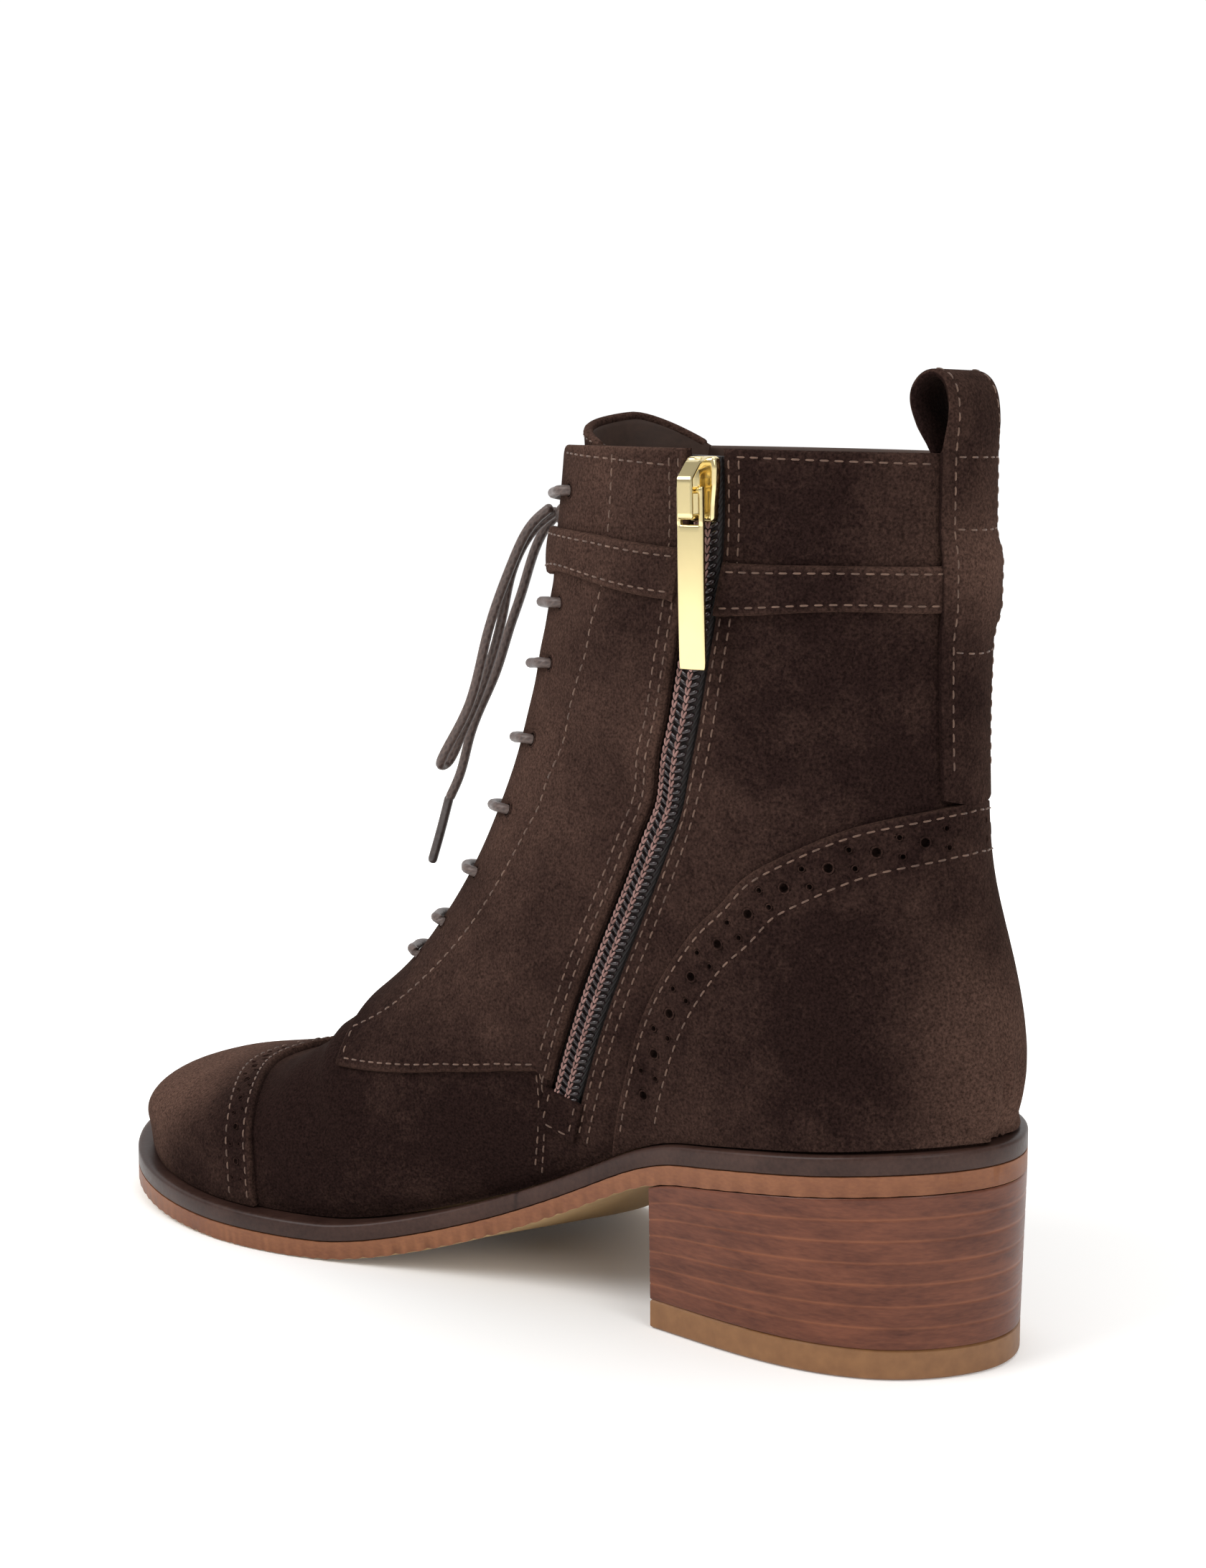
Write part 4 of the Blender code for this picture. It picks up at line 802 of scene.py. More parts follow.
@dataclass
class Piece:
    """A mesh on its way into the scene."""

    name: str
    points: Array
    faces: Array
    skins: Sequence[Material]
    slot: str
    body: Body = Body.BOOT
    replaces: Sequence[str] = ()
    face_skin: Optional[Array] = None
    floats: dict[str, Array] = field(default_factory=dict)
    uv: Optional[Array] = None
    sharp: float = 0.9

    def put(self) -> Object:
        """Make the object: merge doubles, turn faces outwards, shade it, and let it ride its body.

        Returns:
            The object, at the origin, with its place in its mesh.
        """
        used, numbers = np.unique(self.faces, return_inverse=True)
        mesh = bpy.data.meshes.new(self.name)
        mesh.from_pydata(place(self.points[used]).tolist(), [], numbers.reshape(self.faces.shape).tolist())
        for name, values in self.floats.items():
            layer = mesh.attributes.new(name, "FLOAT", "POINT")
            layer.data.foreach_set("value", np.asarray(values, np.float32).ravel()[used])
        if self.uv is not None:
            layer = mesh.uv_layers.new(name="along")
            layer.data.foreach_set("uv", self.uv[self.faces.ravel()].astype(np.float32).ravel())
        for skin in self.skins:
            mesh.materials.append(skin)
        if self.face_skin is not None:
            mesh.polygons.foreach_set("material_index", self.face_skin.astype(np.int32))
        shape = bmesh.new()
        shape.from_mesh(mesh)
        bmesh.ops.remove_doubles(shape, verts=shape.verts[:], dist=2e-6)
        bmesh.ops.recalc_face_normals(shape, faces=shape.faces[:])
        shape.to_mesh(mesh)
        shape.free()
        mesh.shade_smooth()
        mesh.set_sharp_from_angle(angle=self.sharp)
        made = bpy.data.objects.new(self.name, mesh)
        bpy.context.scene.collection.objects.link(made)
        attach(made, self.body.value)
        if self.replaces:
            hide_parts(*self.replaces)
        LOG.info("%s: %d faces", self.name, len(mesh.polygons))
        return made


# Finishes


def linear(colour: str) -> tuple[float, float, float, float]:
    """Linear colour from an sRGB value, by the sRGB curve.

    Args:
        colour: hex value, two digits each for red, green and blue.

    Returns:
        Red, green, blue and full opacity.
    """
    values = np.array([int(colour[k:k + 2], 16) for k in (1, 3, 5)]) / 255.0
    made = np.where(values <= 0.04045, values / 12.92, ((values + 0.055) / 1.055) ** 2.4)
    return (*(float(v) for v in made), 1.0)


def node(tree: NodeTree, kind: str, inputs: Optional[dict] = None, out: Union[int, str] = 0,
         to: Optional[NodeSocket] = None, **settings: object) -> NodeSocket:
    """Add a shader node with its settings and links.

    Args:
        tree: the material's node tree.
        kind: Blender's name of the node type.
        inputs: values, or the sockets that feed them, by input name or number.
        out: the output that is wanted.
        to: the socket that this output feeds.
        settings: properties of the node.

    Returns:
        The output.
    """
    made = tree.nodes.new(kind)
    for name, value in settings.items():
        setattr(made, name, value)
    for name, value in (inputs or {}).items():
        if isinstance(value, NodeSocket):
            tree.links.new(value, made.inputs[name])
        else:
            made.inputs[name].default_value = value
    if to is not None:
        tree.links.new(made.outputs[out], to)
    return made.outputs[out]


def started(name: str, **shader: object) -> tuple[Material, NodeTree, Node]:
    """New material with its principled shader, whose plain values are set here.

    Args:
        name: name of the material.
        shader: values by socket name, with _ for a space.

    Returns:
        The material, its tree and its shader.
    """
    made = bpy.data.materials.new(name)
    made.use_nodes = True
    tree = made.node_tree
    surface = tree.nodes["Principled BSDF"]
    for key, value in shader.items():
        surface.inputs[key.replace("_", " ")].default_value = value
    return made, tree, surface


@dataclass(frozen=True)
class Suede:
    """Calf suede, buffed on the flesh side: a matt nap that turns lighter where it is brushed."""

    name: str = "calf_suede"
    dark: str = "#201513"
    # Lighter end of the nap tone, reached by brushed nap and by painted highlight
    brushed_and_lit: str = "#4f3b33"
    # Painted shade: near-black colour for the shaded inside of punched holes and eyelets
    hole_shade: str = "#090504"
    sheen: str = "#8a6a54"
    patch_mm: float = 30.0
    cloud_mm: float = 9.0
    # Real nap is finer than the picture can show, so these two are drawn as coarse as they need to be
    nap_mm: float = 1.1
    fibre_mm: float = 0.6

    def build(self) -> Material:
        """Nap tone from broad and small noise and the brushing, which also carries painted light; fibre speckle;
        painted shade in holes; bump from the nap.

        Returns:
            The material.
        """
        made, tree, surface = started(
            self.name, Roughness=1.0, Specular_IOR_Level=0.02, Sheen_Weight=0.07,
            Sheen_Roughness=0.42, Sheen_Tint=linear(self.sheen))
        where = node(tree, "ShaderNodeTexCoord", out="Object")
        patch, cloud, nap, fibre = (
            node(tree, "ShaderNodeTexNoise",
                 {"Vector": where, "Scale": 1.0 / (size * MM), "Detail": detail, "Roughness": 0.6}, "Fac")
            for size, detail in ((self.patch_mm, 3.0), (self.cloud_mm, 3.0), (self.nap_mm, 2.0), (self.fibre_mm, 2.0)))
        # The nap attribute holds the brushed nap and painted light: highlight patches, lighter panel edges, and shade
        # on the back strip's inner face
        tone = node(tree, "ShaderNodeAttribute", out="Fac", attribute_name="nap")
        for noise, amount in ((patch, 0.8), (cloud, 0.45), (nap, 0.45)):
            tone = node(tree, "ShaderNodeMath", {0: noise, 1: amount, 2: tone}, operation="MULTIPLY_ADD")
        tone = node(tree, "ShaderNodeMapRange", {"Value": tone, "From Min": 0.62, "From Max": 1.62})
        speck = node(tree, "ShaderNodeMapRange",
                     {"Value": fibre, "From Min": 0.3, "From Max": 0.7, "To Min": 0.5, "To Max": 1.5})
        # Painted shade: holes and eyelets are darkened towards the near-black hole colour by their attribute
        inside = node(tree, "ShaderNodeAttribute", out="Fac", attribute_name="hole_shade")
        colour = node(tree, "ShaderNodeMix", {0: tone, 6: linear(self.dark), 7: linear(self.brushed_and_lit)}, 2,
                      data_type="RGBA")
        colour = node(tree, "ShaderNodeMix", {0: 1.0, 6: colour, 7: speck}, 2,
                      data_type="RGBA", blend_type="MULTIPLY")
        node(tree, "ShaderNodeMix", {0: inside, 6: colour, 7: linear(self.hole_shade)}, 2,
             surface.inputs["Base Color"], data_type="RGBA")
        height = node(tree, "ShaderNodeMath", {0: nap, 1: 1.4, 2: fibre}, operation="MULTIPLY_ADD")
        node(tree, "ShaderNodeBump", {"Strength": 0.55, "Distance": 0.35 * MM, "Height": height},
             to=surface.inputs["Normal"])
        return made


@dataclass(frozen=True)
class Leather:
    """Smooth dressed leather: fine grain, soft tone changes, a waxed gloss that varies a little."""

    name: str
    colour: str
    other: str
    roughness: float
    coat: float = 0.0
    # Real grain is finer; it is drawn as coarse as it needs to be to show
    grain_mm: float = 0.9
    tone_mm: float = 14.0
    stretch: Three = (1.0, 1.0, 1.0)
    bump_mm: float = 0.06
    edge: str = ""
    gloss: float = 0.3

    def build(self) -> Material:
        """Two tones by stretched noise, roughness and bump by fine grain, and a darker edge attribute.

        Returns:
            The material.
        """
        made, tree, surface = started(
            self.name, Coat_Weight=self.coat, Coat_Roughness=0.22, Specular_IOR_Level=self.gloss)
        where = node(tree, "ShaderNodeTexCoord", out="Object")
        drawn = node(tree, "ShaderNodeMapping", {"Vector": where, "Scale": self.stretch})
        tone = node(tree, "ShaderNodeTexNoise",
                    {"Vector": drawn, "Scale": 1.0 / (self.tone_mm * MM), "Detail": 4.0, "Roughness": 0.65}, "Fac")
        grain = node(tree, "ShaderNodeTexNoise",
                     {"Vector": drawn, "Scale": 1.0 / (self.grain_mm * MM), "Detail": 3.0}, "Fac")
        mixed = node(tree, "ShaderNodeMath", {0: grain, 1: 0.5, 2: tone}, operation="MULTIPLY_ADD")
        mixed = node(tree, "ShaderNodeMapRange", {"Value": mixed, "From Min": 0.5, "From Max": 1.0})
        colour = node(tree, "ShaderNodeMix", {0: mixed, 6: linear(self.colour), 7: linear(self.other)}, 2,
                      data_type="RGBA")
        if self.edge:
            seam = node(tree, "ShaderNodeAttribute", out="Fac", attribute_name="seam")
            edge_tone = node(tree, "ShaderNodeMapRange",
                        {"Value": tone, "From Min": 0.35, "From Max": 0.6, "To Min": 0.4, "To Max": 1.0})
            seam = node(tree, "ShaderNodeMath", {0: seam, 1: edge_tone}, operation="MULTIPLY")
            colour = node(tree, "ShaderNodeMix", {0: seam, 6: colour, 7: linear(self.edge)}, 2, data_type="RGBA")
        tree.links.new(colour, surface.inputs["Base Color"])
        node(tree, "ShaderNodeMapRange",
             {"Value": grain, "To Min": self.roughness - 0.08, "To Max": self.roughness + 0.12},
             to=surface.inputs["Roughness"])
        node(tree, "ShaderNodeBump", {"Strength": 0.5, "Distance": self.bump_mm * MM, "Height": grain},
             to=surface.inputs["Normal"])
        return made


@dataclass(frozen=True)
class Thread:
    """Spun polyester thread: small tone changes from stitch to stitch and a dull lustre."""

    name: str
    colour: str
    other: str
    tone_mm: float = 3.5
    # Real ply is finer; it is drawn as coarse as it needs to be to show
    ply_mm: float = 0.4

    def build(self) -> Material:
        """Two tones by noise as long as a stitch; fine ply as bump.

        Returns:
            The material.
        """
        made, tree, surface = started(self.name, Roughness=0.62, Sheen_Weight=0.15, Specular_IOR_Level=0.35)
        where = node(tree, "ShaderNodeTexCoord", out="Object")
        tone, ply = (node(tree, "ShaderNodeTexNoise", {"Vector": where, "Scale": 1.0 / (size * MM)}, "Fac")
                     for size in (self.tone_mm, self.ply_mm))
        tone = node(tree, "ShaderNodeMapRange", {"Value": tone, "From Min": 0.3, "From Max": 0.7})
        node(tree, "ShaderNodeMix", {0: tone, 6: linear(self.colour), 7: linear(self.other)}, 2,
             surface.inputs["Base Color"], data_type="RGBA")
        node(tree, "ShaderNodeBump", {"Strength": 0.4, "Distance": 0.1 * MM, "Height": ply},
             to=surface.inputs["Normal"])
        return made


@dataclass(frozen=True)
class Braid:
    """Waxed round cord, braided: two sets of strands cross in lozenges, with a waxy lustre."""

    name: str
    colour: str
    other: str
    strands: float = 5.0
    lay_mm: float = 2.6
    depth_mm: float = 0.16
    fuzz_mm: float = 0.7

    def build(self) -> Material:
        """Strand height is the larger of two folded waves, turned opposite ways round the cord.

        Returns:
            The material.
        """
        made, tree, surface = started(self.name, Roughness=0.5, Coat_Weight=0.15, Coat_Roughness=0.35)
        along = node(tree, "ShaderNodeUVMap", uv_map="along")
        turned = node(tree, "ShaderNodeSeparateXYZ", {0: along}, "X")
        run = node(tree, "ShaderNodeMath", {0: turned.node.outputs["Y"], 1: 1.0 / self.lay_mm}, operation="MULTIPLY")
        waves = []
        for turn in (self.strands, -self.strands):
            wave = node(tree, "ShaderNodeMath", {0: turned, 1: turn, 2: run}, operation="MULTIPLY_ADD")
            waves.append(node(tree, "ShaderNodeMath", {0: wave, 1: 0.5}, operation="PINGPONG"))
        height = node(tree, "ShaderNodeMath", {0: waves[0], 1: waves[1]}, operation="MAXIMUM")
        where = node(tree, "ShaderNodeTexCoord", out="Object")
        fuzz = node(tree, "ShaderNodeTexNoise", {"Vector": where, "Scale": 1.0 / (self.fuzz_mm * MM)}, "Fac")
        tone = node(tree, "ShaderNodeMath", {0: height, 1: 1.1, 2: fuzz}, operation="MULTIPLY_ADD")
        tone = node(tree, "ShaderNodeMapRange", {"Value": tone, "From Min": 0.5, "From Max": 1.2})
        node(tree, "ShaderNodeMix", {0: tone, 6: linear(self.colour), 7: linear(self.other)}, 2,
             surface.inputs["Base Color"], data_type="RGBA")
        node(tree, "ShaderNodeBump", {"Strength": 0.8, "Distance": self.depth_mm * MM, "Height": height},
             to=surface.inputs["Normal"])
        return made


@dataclass(frozen=True)
class Webbing:
    """Woven zip tape: close twill ribs along the tape, no gloss."""

    name: str
    colour: str
    other: str
    rib_mm: float = 0.7
    # A wave texture of scale 1 repeats every 0.314 units
    wave_unit: float = 0.314

    def build(self) -> Material:
        """Twill from bands turned aslant, in tone and in bump.

        Returns:
            The material.
        """
        made, tree, surface = started(self.name, Roughness=0.88, Sheen_Weight=0.2)
        where = node(tree, "ShaderNodeTexCoord", out="Object")
        scale = self.wave_unit / (self.rib_mm * MM)
        rib = node(tree, "ShaderNodeTexWave", {"Vector": where, "Scale": scale, "Distortion": 1.0}, "Fac",
                   bands_direction="DIAGONAL")
        node(tree, "ShaderNodeMix", {0: rib, 6: linear(self.colour), 7: linear(self.other)}, 2,
             surface.inputs["Base Color"], data_type="RGBA")
        node(tree, "ShaderNodeBump", {"Strength": 0.5, "Distance": 0.15 * MM, "Height": rib},
             to=surface.inputs["Normal"])
        return made


@dataclass(frozen=True)
class GoldPlate:
    """Zinc casting plated pale gold and polished: a mirror with faint handling haze."""

    name: str = "pale_gold_plate"
    colour: str = "#e6d4a0"
    haze_mm: float = 6.0

    def build(self) -> Material:
        """Metal colour, with roughness by soft noise.

        Returns:
            The material.
        """
        made, tree, surface = started(self.name, Metallic=1.0, Base_Color=linear(self.colour))
        where = node(tree, "ShaderNodeTexCoord", out="Object")
        haze = node(tree, "ShaderNodeTexNoise",
                    {"Vector": where, "Scale": 1.0 / (self.haze_mm * MM), "Detail": 4.0}, "Fac")
        node(tree, "ShaderNodeMapRange", {"Value": haze, "To Min": 0.1, "To Max": 0.24},
             to=surface.inputs["Roughness"])
        return made


@dataclass(frozen=True)
class Moulded:
    """Moulded nylon or rubber: even colour with fine specks and a soft gloss."""

    name: str
    colour: str
    other: str
    roughness: float
    speck_mm: float = 1.2

    def build(self) -> Material:
        """Two tones by specks; bump from the same specks.

        Returns:
            The material.
        """
        made, tree, surface = started(self.name, Roughness=self.roughness)
        where = node(tree, "ShaderNodeTexCoord", out="Object")
        speck = node(tree, "ShaderNodeTexNoise",
                     {"Vector": where, "Scale": 1.0 / (self.speck_mm * MM), "Detail": 3.0}, "Fac")
        tone = node(tree, "ShaderNodeMapRange", {"Value": speck, "From Min": 0.3, "From Max": 0.7})
        node(tree, "ShaderNodeMix", {0: tone, 6: linear(self.colour), 7: linear(self.other)}, 2,
             surface.inputs["Base Color"], data_type="RGBA")
        node(tree, "ShaderNodeBump", {"Strength": 0.25, "Distance": 0.1 * MM, "Height": speck},
             to=surface.inputs["Normal"])
        return made


class Finishes:
    """Every material of the boot, made once."""

    def __init__(self) -> None:
        """Build each finish in the tones of the boot."""
        self.suede = Suede().build()
        self.lining = Leather("pigskin_lining", "#34241c", "#46332a", 0.6, grain_mm=1.4).build()
        self.insole = Leather("insole_sock_leather", "#8a6a4c", "#9a7a58", 0.6, grain_mm=1.2).build()
        self.thread = Thread("polyester_stitch_thread", "#4a362c", "#6b5142").build()
        self.welt = Leather("waxed_welt_leather", "#2a1a16", "#453029", 0.38, gloss=0.22, tone_mm=22.0,
                            edge="#1c1110").build()
        self.sole = Leather("stained_sole_leather", "#6f4430", "#8c5c3e", 0.44, tone_mm=20.0, gloss=0.25,
                            stretch=(0.7, 0.7, 1.6), edge="#4a2415").build()
        self.tread = Leather("natural_sole_leather", "#93764e", "#a98b60", 0.55, tone_mm=20.0).build()
        self.stack = Leather("stacked_heel_leather", "#4a2519", "#6f402d", 0.36, coat=0.06, grain_mm=1.1, tone_mm=8.0,
                             gloss=0.25, stretch=(0.45, 0.45, 2.2), bump_mm=0.08, edge="#7f4c33").build()
        self.lift = Moulded("top_lift_rubber", "#78502d", "#855c36", 0.5, speck_mm=3.0).build()
        self.tape = Webbing("woven_zip_tape", "#170e0c", "#261814").build()
        self.coil = Moulded("nylon_zip_coil", "#160f10", "#2c2021", 0.24, speck_mm=2.0).build()
        self.coil_thread = Thread("zip_sewing_thread", "#6e4d46", "#94716a", tone_mm=2.0).build()
        self.gold = GoldPlate().build()
        self.lace = Braid("waxed_round_lace", "#3a2c28", "#5c4a43").build()
        self.aglet = Moulded("lace_tip_film", "#3a312f", "#4e4441", 0.3).build()


# Sub-assemblies


@dataclass
class BrushAndLight:
    """Tone of the suede as soft patches placed on the last: its hand-brushed nap, and painted highlight on the toe and
    on the dart at the back of the heel.
    """

    last: Last
    # The lighter patches on the toe (sections 2.4 to 4.8) and the one at section 17.2 by the back line are painted
    # highlight
    patches: Sequence[BrushAndLightPatch] = (
        BrushAndLightPatch(21.5, 0.20, 18.0, 0.28), BrushAndLightPatch(16.0, 0.16, 24.0, 0.25), BrushAndLightPatch(13.0, 0.22, 20.0, 0.23),
        BrushAndLightPatch(18.5, 0.36, 16.0, 0.24), BrushAndLightPatch(24.2, 0.30, 14.0, 0.22), BrushAndLightPatch(10.6, 0.38, 16.0, 0.26),
        BrushAndLightPatch(14.4, 0.40, 12.0, 0.14), BrushAndLightPatch(8.4, 0.72, 30.0, -0.34), BrushAndLightPatch(7.4, 0.45, 20.0, -0.20),
        BrushAndLightPatch(10.4, 0.88, 22.0, -0.30), BrushAndLightPatch(4.6, 0.16, 16.0, 0.40), BrushAndLightPatch(2.4, 0.55, 13.0, 0.50),
        BrushAndLightPatch(5.0, 0.85, 14.0, -0.12), BrushAndLightPatch(21.6, 0.78, 24.0, -0.26), BrushAndLightPatch(23.4, 0.66, 18.0, -0.18),
        BrushAndLightPatch(18.0, 0.72, 20.0, -0.30), BrushAndLightPatch(17.2, 0.95, 15.0, 0.50), BrushAndLightPatch(23.6, 0.99, 12.0, 0.42),
        BrushAndLightPatch(19.4, 0.84, 14.0, 0.04), BrushAndLightPatch(16.4, 0.62, 13.0, 0.06), BrushAndLightPatch(15.4, 0.86, 18.0, -0.26),
        BrushAndLightPatch(13.6, 0.66, 14.0, -0.12), BrushAndLightPatch(20.2, 0.55, 12.0, -0.12), BrushAndLightPatch(18.8, 0.97, 13.0, 0.30),
        BrushAndLightPatch(3.6, 0.42, 14.0, 0.26), BrushAndLightPatch(4.8, 0.55, 16.0, 0.80),
    )

    def tone(self, points: Array) -> Array:
        """Sum of bell curves of the distance to each patch's middle, on both halves of the boot.

        Args:
            points: points near the upper's face.

        Returns:
            Tones, where 0 is the plain suede.
        """
        total = np.zeros(points.shape[:-1])
        for patch in self.patches:
            for side in Side:
                middle = self.last.face(np.array(patch.q), np.array(patch.share), side)[0]
                away = np.linalg.norm(points - middle, axis=-1)
                total = total + patch.amount * np.exp(-(away / patch.radius) ** 2)
        return total


def spots(points: Array, normals: Array, at: Array, near: float = 0.8) -> Triple:
    """Places along a line, whose direction is read a little before and after each place.

    Args:
        points: points of the line.
        normals: outward normals there.
        at: distances along the line.
        near: how far before and after.

    Returns:
        Points, normals and directions, the last two not yet of length one.
    """
    run = lengths(points)
    ahead = read(at + near, run, points) - read(at - near, run, points)
    return read(at, run, points), read(at, run, normals), ahead


@dataclass
class Stitching:
    """Rows of thread sewn on the upper."""

    last: Last
    skins: Finishes
    pitch: float = 3.05
    length: float = 2.35
    radius: float = 0.22
    arch: float = 0.24
    sunk: float = 0.16
    _centres: list[Array] = field(default_factory=list)
    _axes: list[Array] = field(default_factory=list)

    def along(self, points: Array, normals: Array) -> None:
        """Sew a row: stitches at even steps of the line's length, each turned along the line.

        Args:
            points: points of the line.
            normals: outward normals there.
        """
        total = lengths(points)[-1]
        count = max(2, int(total / self.pitch))
        centre, normal, ahead = spots(points, normals, (np.arange(count) + 0.5) * total / count)
        ahead = unit(ahead)
        normal = unit(normal - (normal * ahead).sum(-1, keepdims=True) * ahead)
        self._centres.append(centre - self.sunk * normal)
        self._axes.append(np.stack([ahead, np.cross(normal, ahead), normal], 1))

    def on_last(self, q: Array, s: Array, side: Side, lift: Lift) -> None:
        """Sew a row along a line on the last at a lift."""
        share = s / self.last.girth(q, side)
        self.along(*self.last.face(q, share, side, lift))

    def put(self, name: str) -> Object:
        """Make one object of all the rows sewn so far and start afresh.

        Args:
            name: name of the object.

        Returns:
            The object.
        """
        points, faces = scattered(
            lozenge(self.length, self.radius, self.arch), np.concatenate(self._centres), np.concatenate(self._axes))
        self._centres, self._axes = [], []
        return Piece(name, points, faces, [self.skins.thread], "suede").put()


@dataclass
class Perforations:
    """Row of punched holes: one large hole, then a pair of small ones across the row, and so on."""

    pitch: float = 10.8
    large: float = 1.2
    small: float = 0.68
    spread: float = 2.1
    depth: float = 1.0
    centres: Array = field(default_factory=lambda: np.zeros((0, 3)))
    normals: Array = field(default_factory=lambda: np.zeros((0, 3)))
    radii: Array = field(default_factory=lambda: np.zeros(0))

    def along(self, points: Array, normals: Array) -> None:
        """Set out the row: large holes at whole pitches, pairs at half pitches to both sides.

        Args:
            points: points of the row's middle line.
            normals: outward normals there.
        """
        total = lengths(points)[-1]
        count = int((total - 2.0) / self.pitch)
        # Patch of lighter or darker suede, mostly from the lie of the nap, on a few patches painted highlight: place,
        # radius and amount.
        whole = (total - (count - 0.5) * self.pitch) / 2.0 + self.pitch * np.arange(count)
        at = np.concatenate([whole, whole + self.pitch / 2.0, whole + self.pitch / 2.0])
        aside = self.spread * np.repeat([0.0, 1.0, -1.0], count)
        centre, normal, ahead = spots(points, normals, at)
        normal = unit(normal)
        across = unit(np.cross(normal, ahead))
        self.centres = np.concatenate([self.centres, centre + aside[:, None] * across])
        self.normals = np.concatenate([self.normals, normal])
        self.radii = np.concatenate([self.radii, np.repeat([self.large, self.small, self.small], count)])

    def share(self, points: Array) -> Array:
        """How far into a hole each point lies: 1 well inside, 0 outside, eased over the rim."""
        away = np.linalg.norm(points[..., None, :] - self.centres, axis=-1)
        return ease((self.radii + 0.12 - away) / 0.4).max(-1)

    def rims(self, name: str, skin: Material) -> Object:
        """Pressed rims: one thin ring scaled to each hole.

        Args:
            name: name of the object.
            skin: its material.

        Returns:
            The object.
        """
        ahead = unit(np.cross(self.normals, (0.3, 0.2, 0.9)))
        axes = np.stack([ahead, np.cross(self.normals, ahead), self.normals], 1)
        axes[:, :2] *= self.radii[:, None, None]
        points, faces = scattered(torus(1.0, 0.17), self.centres - 0.05 * self.normals, axes)
        return Piece(name, points, faces, [skin], "suede").put()


@dataclass
class Sewn:
    """What each sub-assembly in suede works with: the last, the finishes, the brushing with its painted highlight, and
    the stitching.
    """

    last: Last
    skins: Finishes
    brush_and_light: BrushAndLight
    stitching: Stitching

    def suede(self, name: str, mesh: Triple, node_name: str = "", tone: Lift = 0.0, lined: bool = False,
              hole_shade: Optional[Array] = None) -> Object:
        """Suede piece that carries its tone (brushed nap and painted light) and the painted shade of its holes as
        attributes.

        Args:
            name: name of the object.
            mesh: points, faces, and tags of the faces, which are read only where it is lined.
            node_name: node that it stands for, if there is one.
            tone: what is added to the brushing; on some pieces this is painted light or painted shade.
            lined: whether its inner faces are lining leather.
            hole_shade: how far into a hole each point lies, which sets how dark the painted shade there is.

        Returns:
            The object.
        """
        points, faces, tags = mesh
        hole_shade = np.zeros(len(points)) if hole_shade is None else hole_shade
        skins = [self.skins.suede, self.skins.lining] if lined else [self.skins.suede]
        # The nap attribute carries painted light as well as the brushed nap; the hole attribute is painted shade
        return Piece(name, points, faces, skins, "suede", replaces=(node_name,) if node_name else (),
                     face_skin=(tags == 1).astype(int) if lined else None,
                     floats={"nap": self.brush_and_light.tone(points) + tone, "hole_shade": hole_shade}).put()


